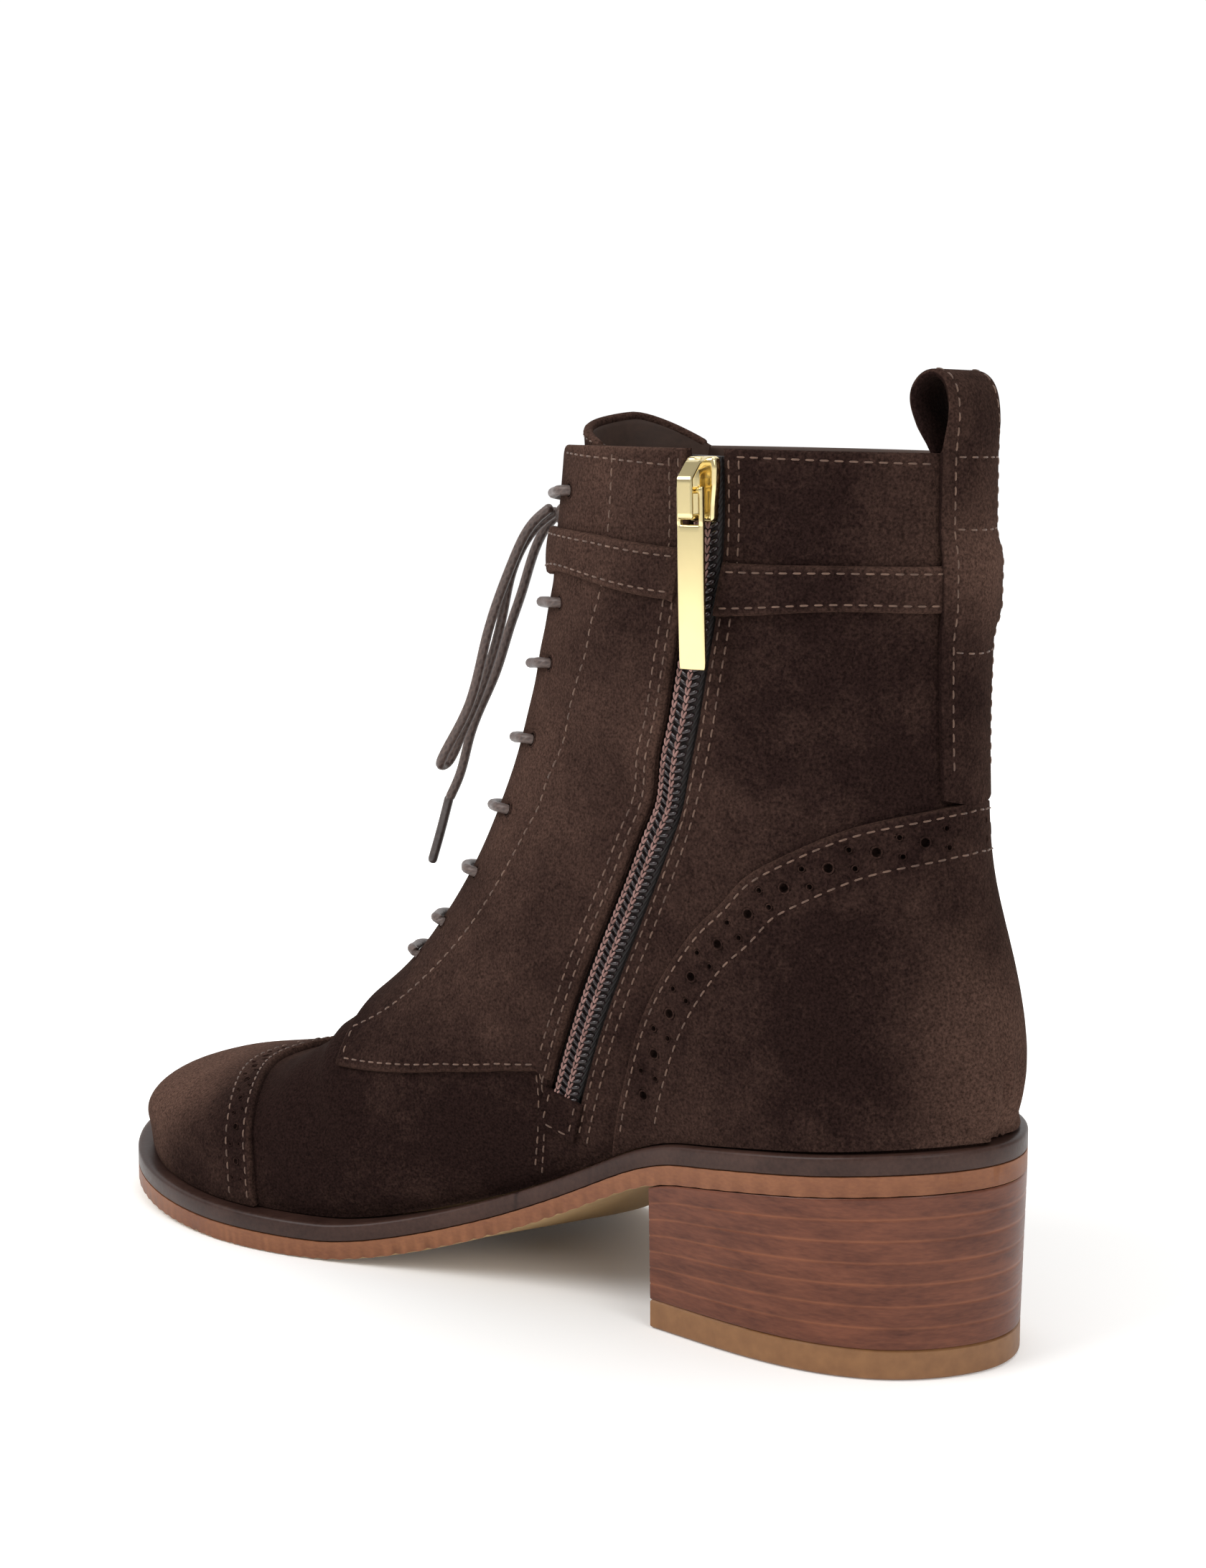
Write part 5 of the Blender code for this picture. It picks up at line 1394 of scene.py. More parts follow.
@dataclass
class SuedeUpper(Sewn):
    """The hollow upper and the panels laid on it."""

    wall: float = 2.0
    panel_gap: float = 0.02
    panel_top: float = 1.8
    strap_top: float = 3.45
    strap_crown: float = 0.35
    quarter_front: float = 8.55
    edge_radius: float = 0.7
    fold_radius: float = 0.8
    # Nap tone added at panel edges: partly the lighter cut nap, partly painted highlight on the rounded edges
    edge_nap_and_highlight: float = 0.3
    back_slope: float = 0.01
    # Sections of the rows of stitches under the collar, on the quarters and behind the zip
    collar_rows: tuple[float, float] = (24.62, 24.86)
    # Distances of rows of stitches from the edge, and of the middle of the holes
    zip_rows: tuple[float, float] = (1.5, 4.0)
    cap_rows: tuple[float, float] = (1.6, 8.0)
    cap_holes: float = 4.8
    counter_rows: tuple[float, float] = (1.8, 10.8)
    counter_holes: float = 6.3
    strap_rows: tuple[float, float] = (0.16, 0.84)
    # Seam from the zip's end to the welt: section, share; and the distance of its second row
    seam: Places = ((11.42, 0.752), (11.18, 0.850), (10.72, 0.985))
    seam_apart: float = 2.6
    # Rear edge of the facing quarter below the zip: section, distance
    quarter_low: Places = ((8.55, 41.0), (9.4, 50.5), (10.26, 60.5), (11.0, 71.0), (11.5, 79.5))
    # Top edge of the heel counter: section, share
    counter_edge: Places = (
        (11.62, 1.0), (12.38, 0.846), (13.25, 0.721), (14.64, 0.621), (16.0, 0.576), (17.0, 0.551),
        (18.0, 0.580), (18.98, 0.65), (20.28, 0.804), (20.86, 0.921), (21.05, 1.0),
    )
    # Rear edge of the toe cap: share, section
    cap_edge: Places = ((0.0, 6.0), (0.25, 6.17), (0.64, 7.0), (0.78, 7.03), (1.0, 6.88))
    # Strap: distance from the ridge, lower section, upper section
    strap: Sequence[Three] = (
        (14.0, 19.0, 20.9), (30.0, 20.3, 21.75), (50.0, 21.25, 22.45), (70.0, 21.9, 22.9),
        (82.0, 22.02, 22.93), (107.0, 22.72, 23.36), (132.0, 23.03, 23.6), (140.0, 23.1, 23.65),
    )
    # Row of stitches behind the eyelets: section, distance
    facing_row: Places = (
        (24.85, 47.0), (22.6, 47.5), (20.71, 48.0), (18.64, 44.5), (17.0, 43.0), (15.08, 41.0),
        (13.78, 39.5), (12.5, 38.0), (11.0, 36.0), (9.6, 33.5), (8.62, 31.0),
    )

    def _skin(self, name: str, top: Array, bottom: Array, node_name: str,
              rim: Array, keep: Optional[Array] = None,
              hole_shade: Optional[Array] = None) -> Object:
        """Closed suede solid between two grids, with brushed tone, edges lightened (cut nap and painted highlight) and
        painted hole shade as attributes.

        Args:
            name: name of the object.
            top: outer grid.
            bottom: inner grid.
            node_name: node that it stands for.
            rim: nearness to the edge, from 0 to 1.
            keep: cells that exist.
            hole_shade: how far into a punched hole each outer point lies, which sets the painted shade there.

        Returns:
            The object.
        """
        hole_shade = np.zeros(top.shape[:2]) if hole_shade is None else hole_shade
        # Edges are lightened, partly cut nap and partly painted highlight; holes carry painted shade on the outer face
        # only
        edge_tone, hole_shade = (np.concatenate([outer.ravel(), 0.0 * outer.ravel()]) for outer in (rim, hole_shade))
        return self.suede(name, shell(top, bottom, keep), node_name, self.edge_nap_and_highlight * edge_tone, hole_shade=hole_shade)

    def _laid(self, surface: Callable[[Lift], Array], low: float, high: float, borders: str,
              dent: Lift = 0.0) -> Triple:
        """Grids of a panel, whose top falls off in a quarter circle at its edge.

        Args:
            surface: works out the grid at a lift.
            low: lift of the bottom.
            high: lift of the top.
            borders: letters of the borders that are edges.
            dent: how far the top is sunk.

        Returns:
            Top grid, bottom grid and nearness to the edge.
        """
        edge = border_distance(surface(high), borders)
        top = surface(high - rounded_drop(edge, self.edge_radius) - dent)
        return top, surface(low), np.exp(-(edge / 0.9) ** 2)

    def body(self) -> Object:
        """The hollow upper: outer face, lining face, and edges rolled over at collar, throat and zip.

        Returns:
            The object.
        """
        last = self.last
        facing_cells, beside_cells, panel_cells, slot_cells, back_cells = 6, 9, 20, 2, 8
        outer_cells = 2 * panel_cells + slot_cells
        q = np.unique(np.round(np.concatenate([
            [0.0, 0.12, 0.25, 0.4, 0.6, 0.8], np.arange(1.0, last.throat, 0.125),
            np.linspace(last.throat, last.zip_bottom, 22), np.linspace(last.zip_bottom, last.heel_seat, 58),
            np.linspace(last.heel_seat, 24.7, 82), [24.8, 24.88, 24.94, 24.97, last.collar]]), 4))
        facing, zip_middle = line(last.facing, q), last.zip_middle(q)
        slot = last.slot_half * last.zip_spread(q)
        layers: dict[float, list[Array]] = {0.0: [], -self.wall: []}
        for side in (Side.OUTER, Side.INNER):
            girth = last.girth(q, side)
            scale = np.clip(girth / 60.0, 0.0, 1.0)
            edge_line = facing * scale
            beside = edge_line + 16.0 * scale
            middle = np.minimum(zip_middle, 0.875 * girth)
            half = slot * scale
            behind = np.maximum(girth - 14.0, (girth + middle + half) / 2.0)
            stops = [(0.0 * q, edge_line, facing_cells), (edge_line, beside, beside_cells)]
            if side is Side.INNER:
                stops += [(beside, middle - half, panel_cells), (middle - half, middle + half, slot_cells),
                          (middle + half, behind, panel_cells)]
            else:
                stops += [(beside, behind, outer_cells)]
            stops += [(behind, girth, back_cells)]
            s = np.concatenate([
                a[:, None] + (b - a)[:, None] * crowded(cells + 1)[None, (k > 0):]
                for k, (a, b, cells) in enumerate(stops)], 1)
            rows = last.cornered(np.repeat(q[:, None], s.shape[1], 1), s - edge_line[:, None])
            edge = border_distance(last.at(rows, s, side), "b")
            off_facing = np.maximum(s - edge_line[:, None], 0.0)
            edge = np.where(q[:, None] >= last.throat, np.minimum(edge, off_facing), edge)
            if side is Side.INNER:
                off_slot = np.maximum(np.abs(s - middle[:, None]) - half[:, None], 0.0)
                edge = np.where(q[:, None] >= last.zip_bottom, np.minimum(edge, off_slot), edge)
            drop = rounded_drop(edge, self.fold_radius)
            for lift, grids in layers.items():
                grid = last.above_welt(last.at(rows, s, side, lift + (drop if lift < 0.0 else -drop)))
                grid[q < last.heel_seat, -1, 2] -= last.seat_gap
                grids.append(grid)
        joined = [np.concatenate([outer[:, ::-1], inner[:, 1:]], 1) for outer, inner in layers.values()]
        for grid in joined:
            grid[0] = grid[0].mean(0)
        ridge = facing_cells + beside_cells + outer_cells + back_cells
        slot_from = ridge + facing_cells + beside_cells + panel_cells
        keep = np.ones((len(q) - 1, joined[0].shape[1] - 1), bool)
        keep[q[:-1] >= last.throat - 1e-6, ridge - facing_cells:ridge + facing_cells] = False
        keep[q[:-1] >= last.zip_bottom - 1e-6, slot_from:slot_from + slot_cells] = False
        return self.suede("suede_upper", shell(*joined, keep), "upper", lined=True)

    def quarters(self) -> None:
        """Facing quarters from the throat to the zip line, with their rows of stitches."""
        last = self.last
        q = np.unique(np.round(np.concatenate([
            self.quarter_front + np.array([0.0, 0.01, 0.025, 0.05, 0.09]), np.linspace(8.75, 11.5, 34),
            np.linspace(11.5, 17.0, 62), np.linspace(17.0, 24.7, 86), [24.8, 24.88, 24.94, 24.97, 25.0]]), 4))
        facing = line(last.facing, q)
        beside_zip = last.zip_middle(q) - last.slot_half * last.zip_spread(q)
        rear = np.where(q < 11.5, line(self.quarter_low, q), beside_zip)
        s = facing[:, None] + (rear - facing)[:, None] * crowded(50)[None]
        rows = last.cornered(np.repeat(q[:, None], s.shape[1], 1), s - facing[:, None])
        for side, word in ((Side.INNER, "medial"), (Side.OUTER, "lateral")):
            top, bottom, rim = self._laid(
                lambda lift: last.at(rows, s, side, lift), self.panel_gap, self.panel_top, "tblr")
            self._skin(f"suede_quarter_{word}", top, bottom, f"quarter_{word}", rim)
            self._quarter_rows(side)
        self.stitching.put("quarter_stitching")

    def _quarter_rows(self, side: Side) -> None:
        """Rows behind the eyelets, round the front corner, along the zip, and along the collar.

        Args:
            side: half of the boot.
        """
        last, top = self.last, self.panel_top
        q, s = spline(np.arange(len(self.facing_row)), np.array(self.facing_row),
                      np.linspace(0.0, len(self.facing_row) - 1.0, 160)).T
        self.stitching.on_last(q, s, side, top)
        self.stitching.on_last(np.full(30, self.quarter_front + 0.1), np.linspace(31.0, 40.0, 30), side, top)
        low = np.linspace(self.quarter_front + 0.1, 11.45, 90)
        self.stitching.on_last(low, line(self.quarter_low, low) - 2.0, side, top)
        for away, start in zip(self.zip_rows, (11.4, 11.6)):
            q = np.linspace(start, 24.85, 220)
            reach = (last.slot_half + away) * last.zip_spread(q)
            self.stitching.on_last(q, last.zip_middle(q) - reach, side, top)
        s = np.linspace(line(last.facing, last.collar) + 9.0, line(last.zip_line, last.collar) - 9.0, 60)
        self.stitching.on_last(np.full_like(s, self.collar_rows[0]), s, side, top)

    def rear_rows(self) -> None:
        """Rows on the upper behind the zip, along the collar, round the zip's end and down to the welt."""
        last = self.last
        for away in self.zip_rows:
            q = np.linspace(11.4, 24.85, 220)
            reach = (last.slot_half + away) * last.zip_spread(q)
            self.stitching.on_last(q, last.zip_middle(q) + reach, Side.INNER, 0.0)
        for side in Side:
            back = last.girth(np.array(24.85), side) - 13.0
            start = line(last.zip_line, last.collar) + (last.slot_half + 3.0 if side is Side.INNER else -2.0)
            s = np.linspace(start, back, 70)
            self.stitching.on_last(np.full_like(s, self.collar_rows[1]), s, side, 0.0)
            q, share = spline(np.arange(3.0), np.array(self.seam), np.linspace(0.0, 2.0, 40)).T
            s = share * last.girth(q, side)
            for shift in (0.0, -self.seam_apart):
                self.stitching.on_last(q, s + shift, side, 0.0)
            if side is Side.OUTER:
                q = np.linspace(11.6, 24.85, 220)
                self.stitching.on_last(q, last.zip_middle(q) - 0.8, side, 0.05)
        self.stitching.put("upper_stitching")

    def toe_cap(self) -> None:
        """Toe cap with a swept rear edge, two rows of stitches and punched holes between them."""
        last = self.last
        share = np.linspace(-1.0, 1.0, 241)
        along = np.concatenate([np.linspace(0.0, 0.8, 30), np.linspace(0.8, 0.985, 22)[1:],
                                [0.988, 0.991, 0.994, 0.997, 1.0]])
        rows = np.array(self.cap_edge)
        edge = spline(rows[:, 0], rows[:, 1], np.abs(share))
        tip = last.face(np.array(0.0), np.array(0.0), Side.INNER)[0]
        holes = Perforations(pitch=8.8, large=0.85, small=0.5, spread=1.6, depth=0.8)

        def surface(lift: Lift) -> Array:
            """Rows from the tip to the rear edge, columns from the outer to the inner welt.

            Args:
                lift: height over the upper's face.

            Returns:
                Grid of points.
            """
            lift = np.broadcast_to(np.asarray(lift, float), (len(along), len(share)))
            halves = []
            for side, chosen in ((Side.OUTER, share <= 0.0), (Side.INNER, share > 0.0)):
                part = np.repeat(np.abs(share[chosen])[None], len(along), 0)
                grid = last.face(along[:, None] * edge[None, chosen], part, side, lift[:, chosen])[0]
                halves.append(last.above_welt(grid))
            grid = np.concatenate(halves, 1)
            grid[0] = last.above_welt(tip + (lift[0, 0], 0.0, 0.0))
            return grid

        for side in Side:
            part = np.linspace(0.012, 0.975, 120)
            cut = spline(rows[:, 0], rows[:, 1], part)
            q, s = cut, part * last.girth(cut, side)
            ahead = float(side.value)
            for inset in self.cap_rows:
                self.stitching.on_last(*last.walk(q, s, side, ahead * inset), side, self.panel_top)
            q, s = last.walk(q, s, side, ahead * self.cap_holes)
            holes.along(*last.face(q, s / last.girth(q, side), side, self.panel_top))
        inside = holes.share(surface(self.panel_top))
        top, bottom, rim = self._laid(surface, self.panel_gap, self.panel_top, "b", holes.depth * inside)
        # Painted shade in the punched holes, at half strength on the cap
        self._skin("suede_toe_cap", top, bottom, "toe_cap", rim, hole_shade=0.5 * inside)
        holes.rims("toe_cap_hole_rims", self.skins.suede)
        self.stitching.put("toe_cap_stitching")

    def counter(self) -> None:
        """Heel counter: one piece round the back with an arched edge, stitched and punched."""
        last = self.last
        rows = np.array(self.counter_edge)
        knots = last.face(rows[:, 0], rows[:, 1], Side.INNER)[0]
        run = lengths(knots)
        at = np.linspace(0.0, run[-1], 500)
        guess_q, guess_share = read(at, run, rows).T
        girth = last.girth(guess_q, Side.INNER)
        guess_s = np.minimum(guess_share * girth, girth - 0.7)
        q, s = last.project(spline(run, knots, at), guess_q, guess_s, Side.INNER)
        girth = last.girth(q, Side.INNER)
        edge = np.where(s > girth - 0.75, 1.0, s / girth)
        holes = Perforations()
        halves = {}
        for side in Side:
            girth = last.girth(q, side)
            length = (1.0 - edge) * girth
            fine = np.minimum(0.6, 14.0 / np.maximum(length, 1e-6))[:, None]
            mix = np.concatenate([fine * crowded(20, 0.25)[None],
                                  fine + (1.0 - fine) * (1.0 - np.linspace(1.0, 0.0, 23)[None, 1:] ** 1.7)], 1)
            halves[side] = edge[:, None] + (1.0 - edge)[:, None] * mix
            inside = (q > 11.72) & (q < 21.0)
            path_q, path_s = q[inside], (edge * girth)[inside]
            ahead = float(side.value)
            for inset in self.counter_rows:
                row_q, row_s = self._to_back(*last.walk(path_q, path_s, side, ahead * inset), side)
                self.stitching.on_last(row_q, row_s, side, self.panel_top)
            row_q, row_s = self._to_back(*last.walk(path_q, path_s, side, ahead * self.counter_holes), side)
            holes.along(*last.face(row_q, row_s / last.girth(row_q, side), side, self.panel_top))
        behind = q >= last.heel_seat

        def surface(lift: Lift) -> Array:
            """Rows along the edge, columns from the inner edge round the back to the outer edge.

            Args:
                lift: height over the upper's face.

            Returns:
                Grid of points.
            """
            columns = halves[Side.INNER].shape[1]
            lift = np.broadcast_to(np.asarray(lift, float), (len(q), 2 * columns))
            inner, outer = (
                last.above_welt(last.face(np.repeat(q[:, None], columns, 1), halves[side], side, part)[0])
                for side, part in ((Side.INNER, lift[:, :columns]), (Side.OUTER, lift[:, columns:][:, ::-1])))
            middle = (inner[behind, -1] + outer[behind, -1]) / 2.0
            inner[behind, -1] = middle
            outer[behind, -1] = middle
            return np.concatenate([inner, outer[:, ::-1]], 1)

        inside = holes.share(surface(self.panel_top))
        top, bottom, rim = self._laid(surface, self.panel_gap, self.panel_top, "lr", holes.depth * inside)
        keep = np.ones((len(q) - 1, top.shape[1] - 1), bool)
        keep[~behind[:-1], top.shape[1] // 2 - 1] = False
        # The last value is the painted shade in the punched holes
        self._skin("suede_heel_counter", top, bottom, "heel_counter", rim, keep, 0.8 * inside)
        holes.rims("counter_hole_rims", self.skins.suede)
        self.stitching.put("counter_stitching")

    def _to_back(self, q: Array, s: Array, side: Side) -> Pair:
        """Row cut short of the back and carried on level from there to the back line.

        Args:
            q: section numbers along the row.
            s: distances from the ridge along the row.
            side: half of the boot.

        Returns:
            Section numbers and distances of the new row.
        """
        ok = (s < 0.96 * self.last.girth(q, side)) & (q > 10.0)
        q, s = q[ok], s[ok]
        more = np.linspace(0.0, 1.0, 13)[1:] * (float(self.last.girth(q[-1:], side)[0]) - s[-1] - 0.4)
        on_q = q[-1] + self.back_slope * more
        on_s = np.minimum(s[-1] + more, self.last.girth(on_q, side) - 0.3)
        return np.concatenate([q, on_q]), np.concatenate([s, on_s])

    def _strap_edges(self, side: Side, end: End) -> Array:
        """Edges of one piece of the strap; on the zip side each piece has a curve of its own.

        Args:
            side: half of the boot.
            end: piece of the strap.

        Returns:
            Rows of the strap's table.
        """
        rows = np.array(self.strap)
        if side is Side.OUTER:
            return rows
        return rows[:4] if end is End.FRONT else rows[4:]

    def straps(self) -> None:
        """Strap round the shaft in four pieces: a folded, slightly crowned band with two rows of stitches."""
        last = self.last
        aside = last.slot_half + 0.6
        middle = float(line(last.zip_line, 22.4))
        front = float(line(last.facing, 20.0)) + 0.4
        for side, word, behind in ((Side.INNER, "medial", aside), (Side.OUTER, "lateral", 1.0 - last.slot_half)):
            back = float(last.girth(np.array(23.3), side)) - 6.5
            spans = ((End.FRONT, front, middle - aside, self.panel_top - 0.05, self.strap_top),
                     (End.REAR, middle + behind, back, self.panel_gap, self.panel_top + 0.1))
            for end, start, stop, low, high in spans:
                s = start + (stop - start) * crowded(int((stop - start) / 1.1), 0.2)
                rows = self._strap_edges(side, end)
                lower, upper = spline(rows[:, 0], rows[:, 1], s), spline(rows[:, 0], rows[:, 2], s)
                share = crowded(16, 0.5)
                q = lower[:, None] + (upper - lower)[:, None] * share[None]
                across = np.repeat(s[:, None], 16, 1)
                crown = self.strap_crown * (1.0 - (2.0 * share - 1.0) ** 4)[None] + 0.0 * across
                top, bottom, rim = self._laid(lambda lift: last.at(q, across, side, lift), low, high, "tblr", -crown)
                self._skin(f"suede_strap_{word}_{end.value}", top, bottom, f"strap_{word}_{end.value}", rim)
                for part in self.strap_rows:
                    run = np.linspace(start + 1.0, stop - 1.0, 80)
                    a, b = spline(rows[:, 0], rows[:, 1], run), spline(rows[:, 0], rows[:, 2], run)
                    self.stitching.on_last(a + (b - a) * part, run, side, high + 0.25)
        self.stitching.put("strap_stitching")


@dataclass
class BackStrip(Sewn):
    """Strip up the back line that runs over the strap's ends and ends in the pull loop."""

    wall: float = 2.0
    layer: float = 0.6
    lining_gap: float = 0.9
    thick: float = 1.6
    loop_leg: float = 0.8
    # Painted shade: how much darker the strip's inner face is, where it lies in shadow inside the loop
    inner_painted_shade: float = 0.6
    # Section, half width, lift over the strap's ends
    band: Sequence[Three] = (
        (21.2, 10.0, 0.0), (22.2, 10.6, 0.0), (22.75, 11.0, 0.2), (23.05, 11.2, 1.7), (23.7, 11.4, 1.7),
        (24.0, 11.5, 0.2), (25.0, 11.5, 0.0),
    )
    # Middle of the loop above the collar: x, z
    loop: Places = ((11.4, 203.6), (12.4, 208.8), (15.2, 213.6), (19.2, 214.6), (22.4, 211.2), (21.2, 205.4))
    cross_rows: Sequence[float] = (22.62, 24.05, 24.96)

    def _across(self, q: Array, half: Array, lift: Array, reach: Array) -> Array:
        """Grid across the back line, from the inner edge to the outer one.

        Args:
            q: section numbers of the rows.
            half: half width of each row.
            lift: lift of each point.
            reach: place of each column, from -1 to 1.

        Returns:
            Grid of points.
        """
        halves = []
        for side in (Side.INNER, Side.OUTER):
            part = np.abs(reach[reach > 0.0] if side is Side.OUTER else reach[reach <= 0.0])
            distance = self.last.girth(q, side)[:, None] - half[:, None] * part[None]
            rows = np.repeat(q[:, None], len(part), 1)
            chosen = lift[:, reach > 0.0] if side is Side.OUTER else lift[:, reach <= 0.0]
            halves.append(self.last.at(rows, distance, side, chosen))
        return np.concatenate(halves, 1)

    def _loop_rows(self, outside: Array, lining: Array, shift: float, drop: Array) -> Array:
        """Rows of the loop: a smooth line through its middle, moved out by half the thickness less the drop.

        Args:
            outside: last row of the outside leg.
            lining: first row of the inside leg.
            shift: half for the outer face, minus half for the inner one.
            drop: fall of each column at the edges.

        Returns:
            Grid of points.
        """
        middle = len(outside) // 2
        legs = [np.array([row[middle, 0], row[middle, 2]]) for row in (outside, lining)]
        route = np.vstack([legs[0], self.loop, legs[1]])
        keys = lengths(route)
        at = np.linspace(0.0, keys[-1], 64)[1:-1]
        ahead = unit(spline(keys, route, at + 0.4) - spline(keys, route, at - 0.4))
        out = np.stack([-ahead[:, 1], ahead[:, 0]], 1)
        share = (at / keys[-1])[:, None]
        from_legs = np.minimum(1.0, 6.0 * np.minimum(share, 1.0 - share))
        amount = shift * (self.thick * from_legs - 2.0 * drop[None])
        centre = spline(keys, route, at)
        bow = (outside[:, 0] - legs[0][0])[None] * (1.0 - share) + (lining[:, 0] - legs[1][0])[None] * share
        bow = bow * np.abs(2.0 * share - 1.0)
        half = outside[:, 1][None] * (1.0 - share) + lining[:, 1][None] * share
        return np.stack([centre[:, :1] + out[:, :1] * amount + bow, half,
                         centre[:, 1:] + out[:, 1:] * amount], -1)

    def build(self) -> None:
        """Outside leg, loop and inside leg as one closed band with rounded edges, its inner face darkened as painted
        shade, and its stitches.
        """
        rows = np.array(self.band)
        reach = 2.0 * crowded(25, 0.5) - 1.0
        q = np.unique(np.concatenate([np.linspace(21.0, 25.0, 90), rows[:, 0]]))
        half = np.interp(q, rows[:, 0], rows[:, 1])
        keys = rows[:, (0, 2)]
        over = np.array([np.interp(q + d, keys[:, 0], keys[:, 1]) for d in (-0.06, 0.0, 0.06)]).mean(0)
        inside = np.linspace(self.last.collar, self.last.collar - self.loop_leg, 14)
        inside_half = np.full_like(inside, half[-1])
        edge = (1.0 - np.abs(reach)) * float(half[-1])
        drop = 0.55 * rounded_drop(edge, 1.0)
        layers = []
        for rise, shift in ((self.thick, 0.5), (0.0, -0.5)):
            fall = drop if rise else 0.0 * drop
            lift = self.layer + over[:, None] + rise - fall[None]
            lift = lift if rise else np.minimum(lift, 0.05 + over[:, None])
            outside = self._across(q, half, lift + 0.0 * reach[None], reach)
            lining = self._across(inside, inside_half,
                                  np.repeat((-self.wall - self.lining_gap - rise + fall)[None], len(inside), 0), reach)
            layers.append(np.concatenate([outside, self._loop_rows(outside[-1], lining[0], shift, drop), lining]))
        mesh, top = shell(*layers), layers[0]
        # Painted shade: the inner face is made darker through the nap tone
        inner_face = np.arange(len(mesh[0])) >= len(mesh[0]) // 2
        self.suede("suede_back_strip", mesh, "back_strip", -self.inner_painted_shade * inner_face)
        normals = unit(np.cross(np.gradient(top, axis=1), np.gradient(top, axis=0)))
        normals *= np.sign((normals[10, 12] * (-1.0, 0.0, 0.0)).sum())
        for share in (-0.76, 0.76):
            column = int(np.abs(reach - share).argmin())
            run = slice(8, len(q) + 44)
            self.stitching.along(top[run, column], normals[run, column])
        for level in self.cross_rows:
            row = int(np.abs(q - level).argmin())
            span = slice(4, 21)
            self.stitching.along(top[row, span], normals[row, span])
        self.stitching.put("back_strip_stitching")


@dataclass
class Tongue(Sewn):
    """Tongue behind the facings, rising above the collar in a shallow arch."""

    foot: float = 8.3
    thick: float = 2.0
    lift: float = -2.9
    rise: float = 7.6
    peak: float = -0.35
    lean: float = 0.06
    binding_radius: float = 1.15
    half: Places = ((8.3, 20.0), (12.0, 27.0), (25.0, 33.0))

    def build(self) -> None:
        """Grid behind the throat, its top rows raised by a power curve that falls away from the peak."""
        q = np.linspace(self.foot, self.last.collar, 120)
        share = 2.0 * crowded(49, 0.3) - 1.0
        half = line(self.half, q)
        reach = np.where(share > self.peak, 1.0 - self.peak, 1.0 + self.peak)
        arch = self.rise * (1.0 - np.abs((share - self.peak) / reach) ** 1.5)
        layers = []
        for lift in (self.lift, self.lift - self.thick):
            halves = []
            for side in (Side.OUTER, Side.INNER):
                chosen = share <= 0.0 if side is Side.OUTER else share > 0.0
                distance = half[:, None] * np.abs(share[chosen])[None]
                halves.append(self.last.at(np.repeat(q[:, None], chosen.sum(), 1), distance, side, lift))
            grid = np.concatenate(halves, 1)
            steps = np.linspace(0.0, 1.0, 11)[1:, None]
            up = steps * arch[None]
            pinch = (0.5 if lift == self.lift else -0.5) * (steps > 0.85) * 0.5
            top = grid[-1][None] + np.stack([self.lean * up - pinch, 0.0 * up, up + 0.02 * steps], -1)
            layers.append(np.concatenate([grid, top]))
        self.suede("suede_tongue", shell(*layers), "tongue", lined=True)
        rim = resample((layers[0][-1, 2:-2] + layers[1][-1, 2:-2]) / 2.0 - (0.0, 0.0, 0.5), 1.5)
        self.suede("suede_tongue_binding", tube(rim, self.binding_radius, (1.0, 0.0, 0.4), 10), tone=0.25)
        top = layers[0]
        normals = unit(np.cross(np.gradient(top, axis=1), np.gradient(top, axis=0)))
        normals *= np.sign(normals[60, 24, 0])
        self.stitching.along(top[-4, 3:-3], normals[-4, 3:-3])
        self.stitching.put("tongue_stitching")


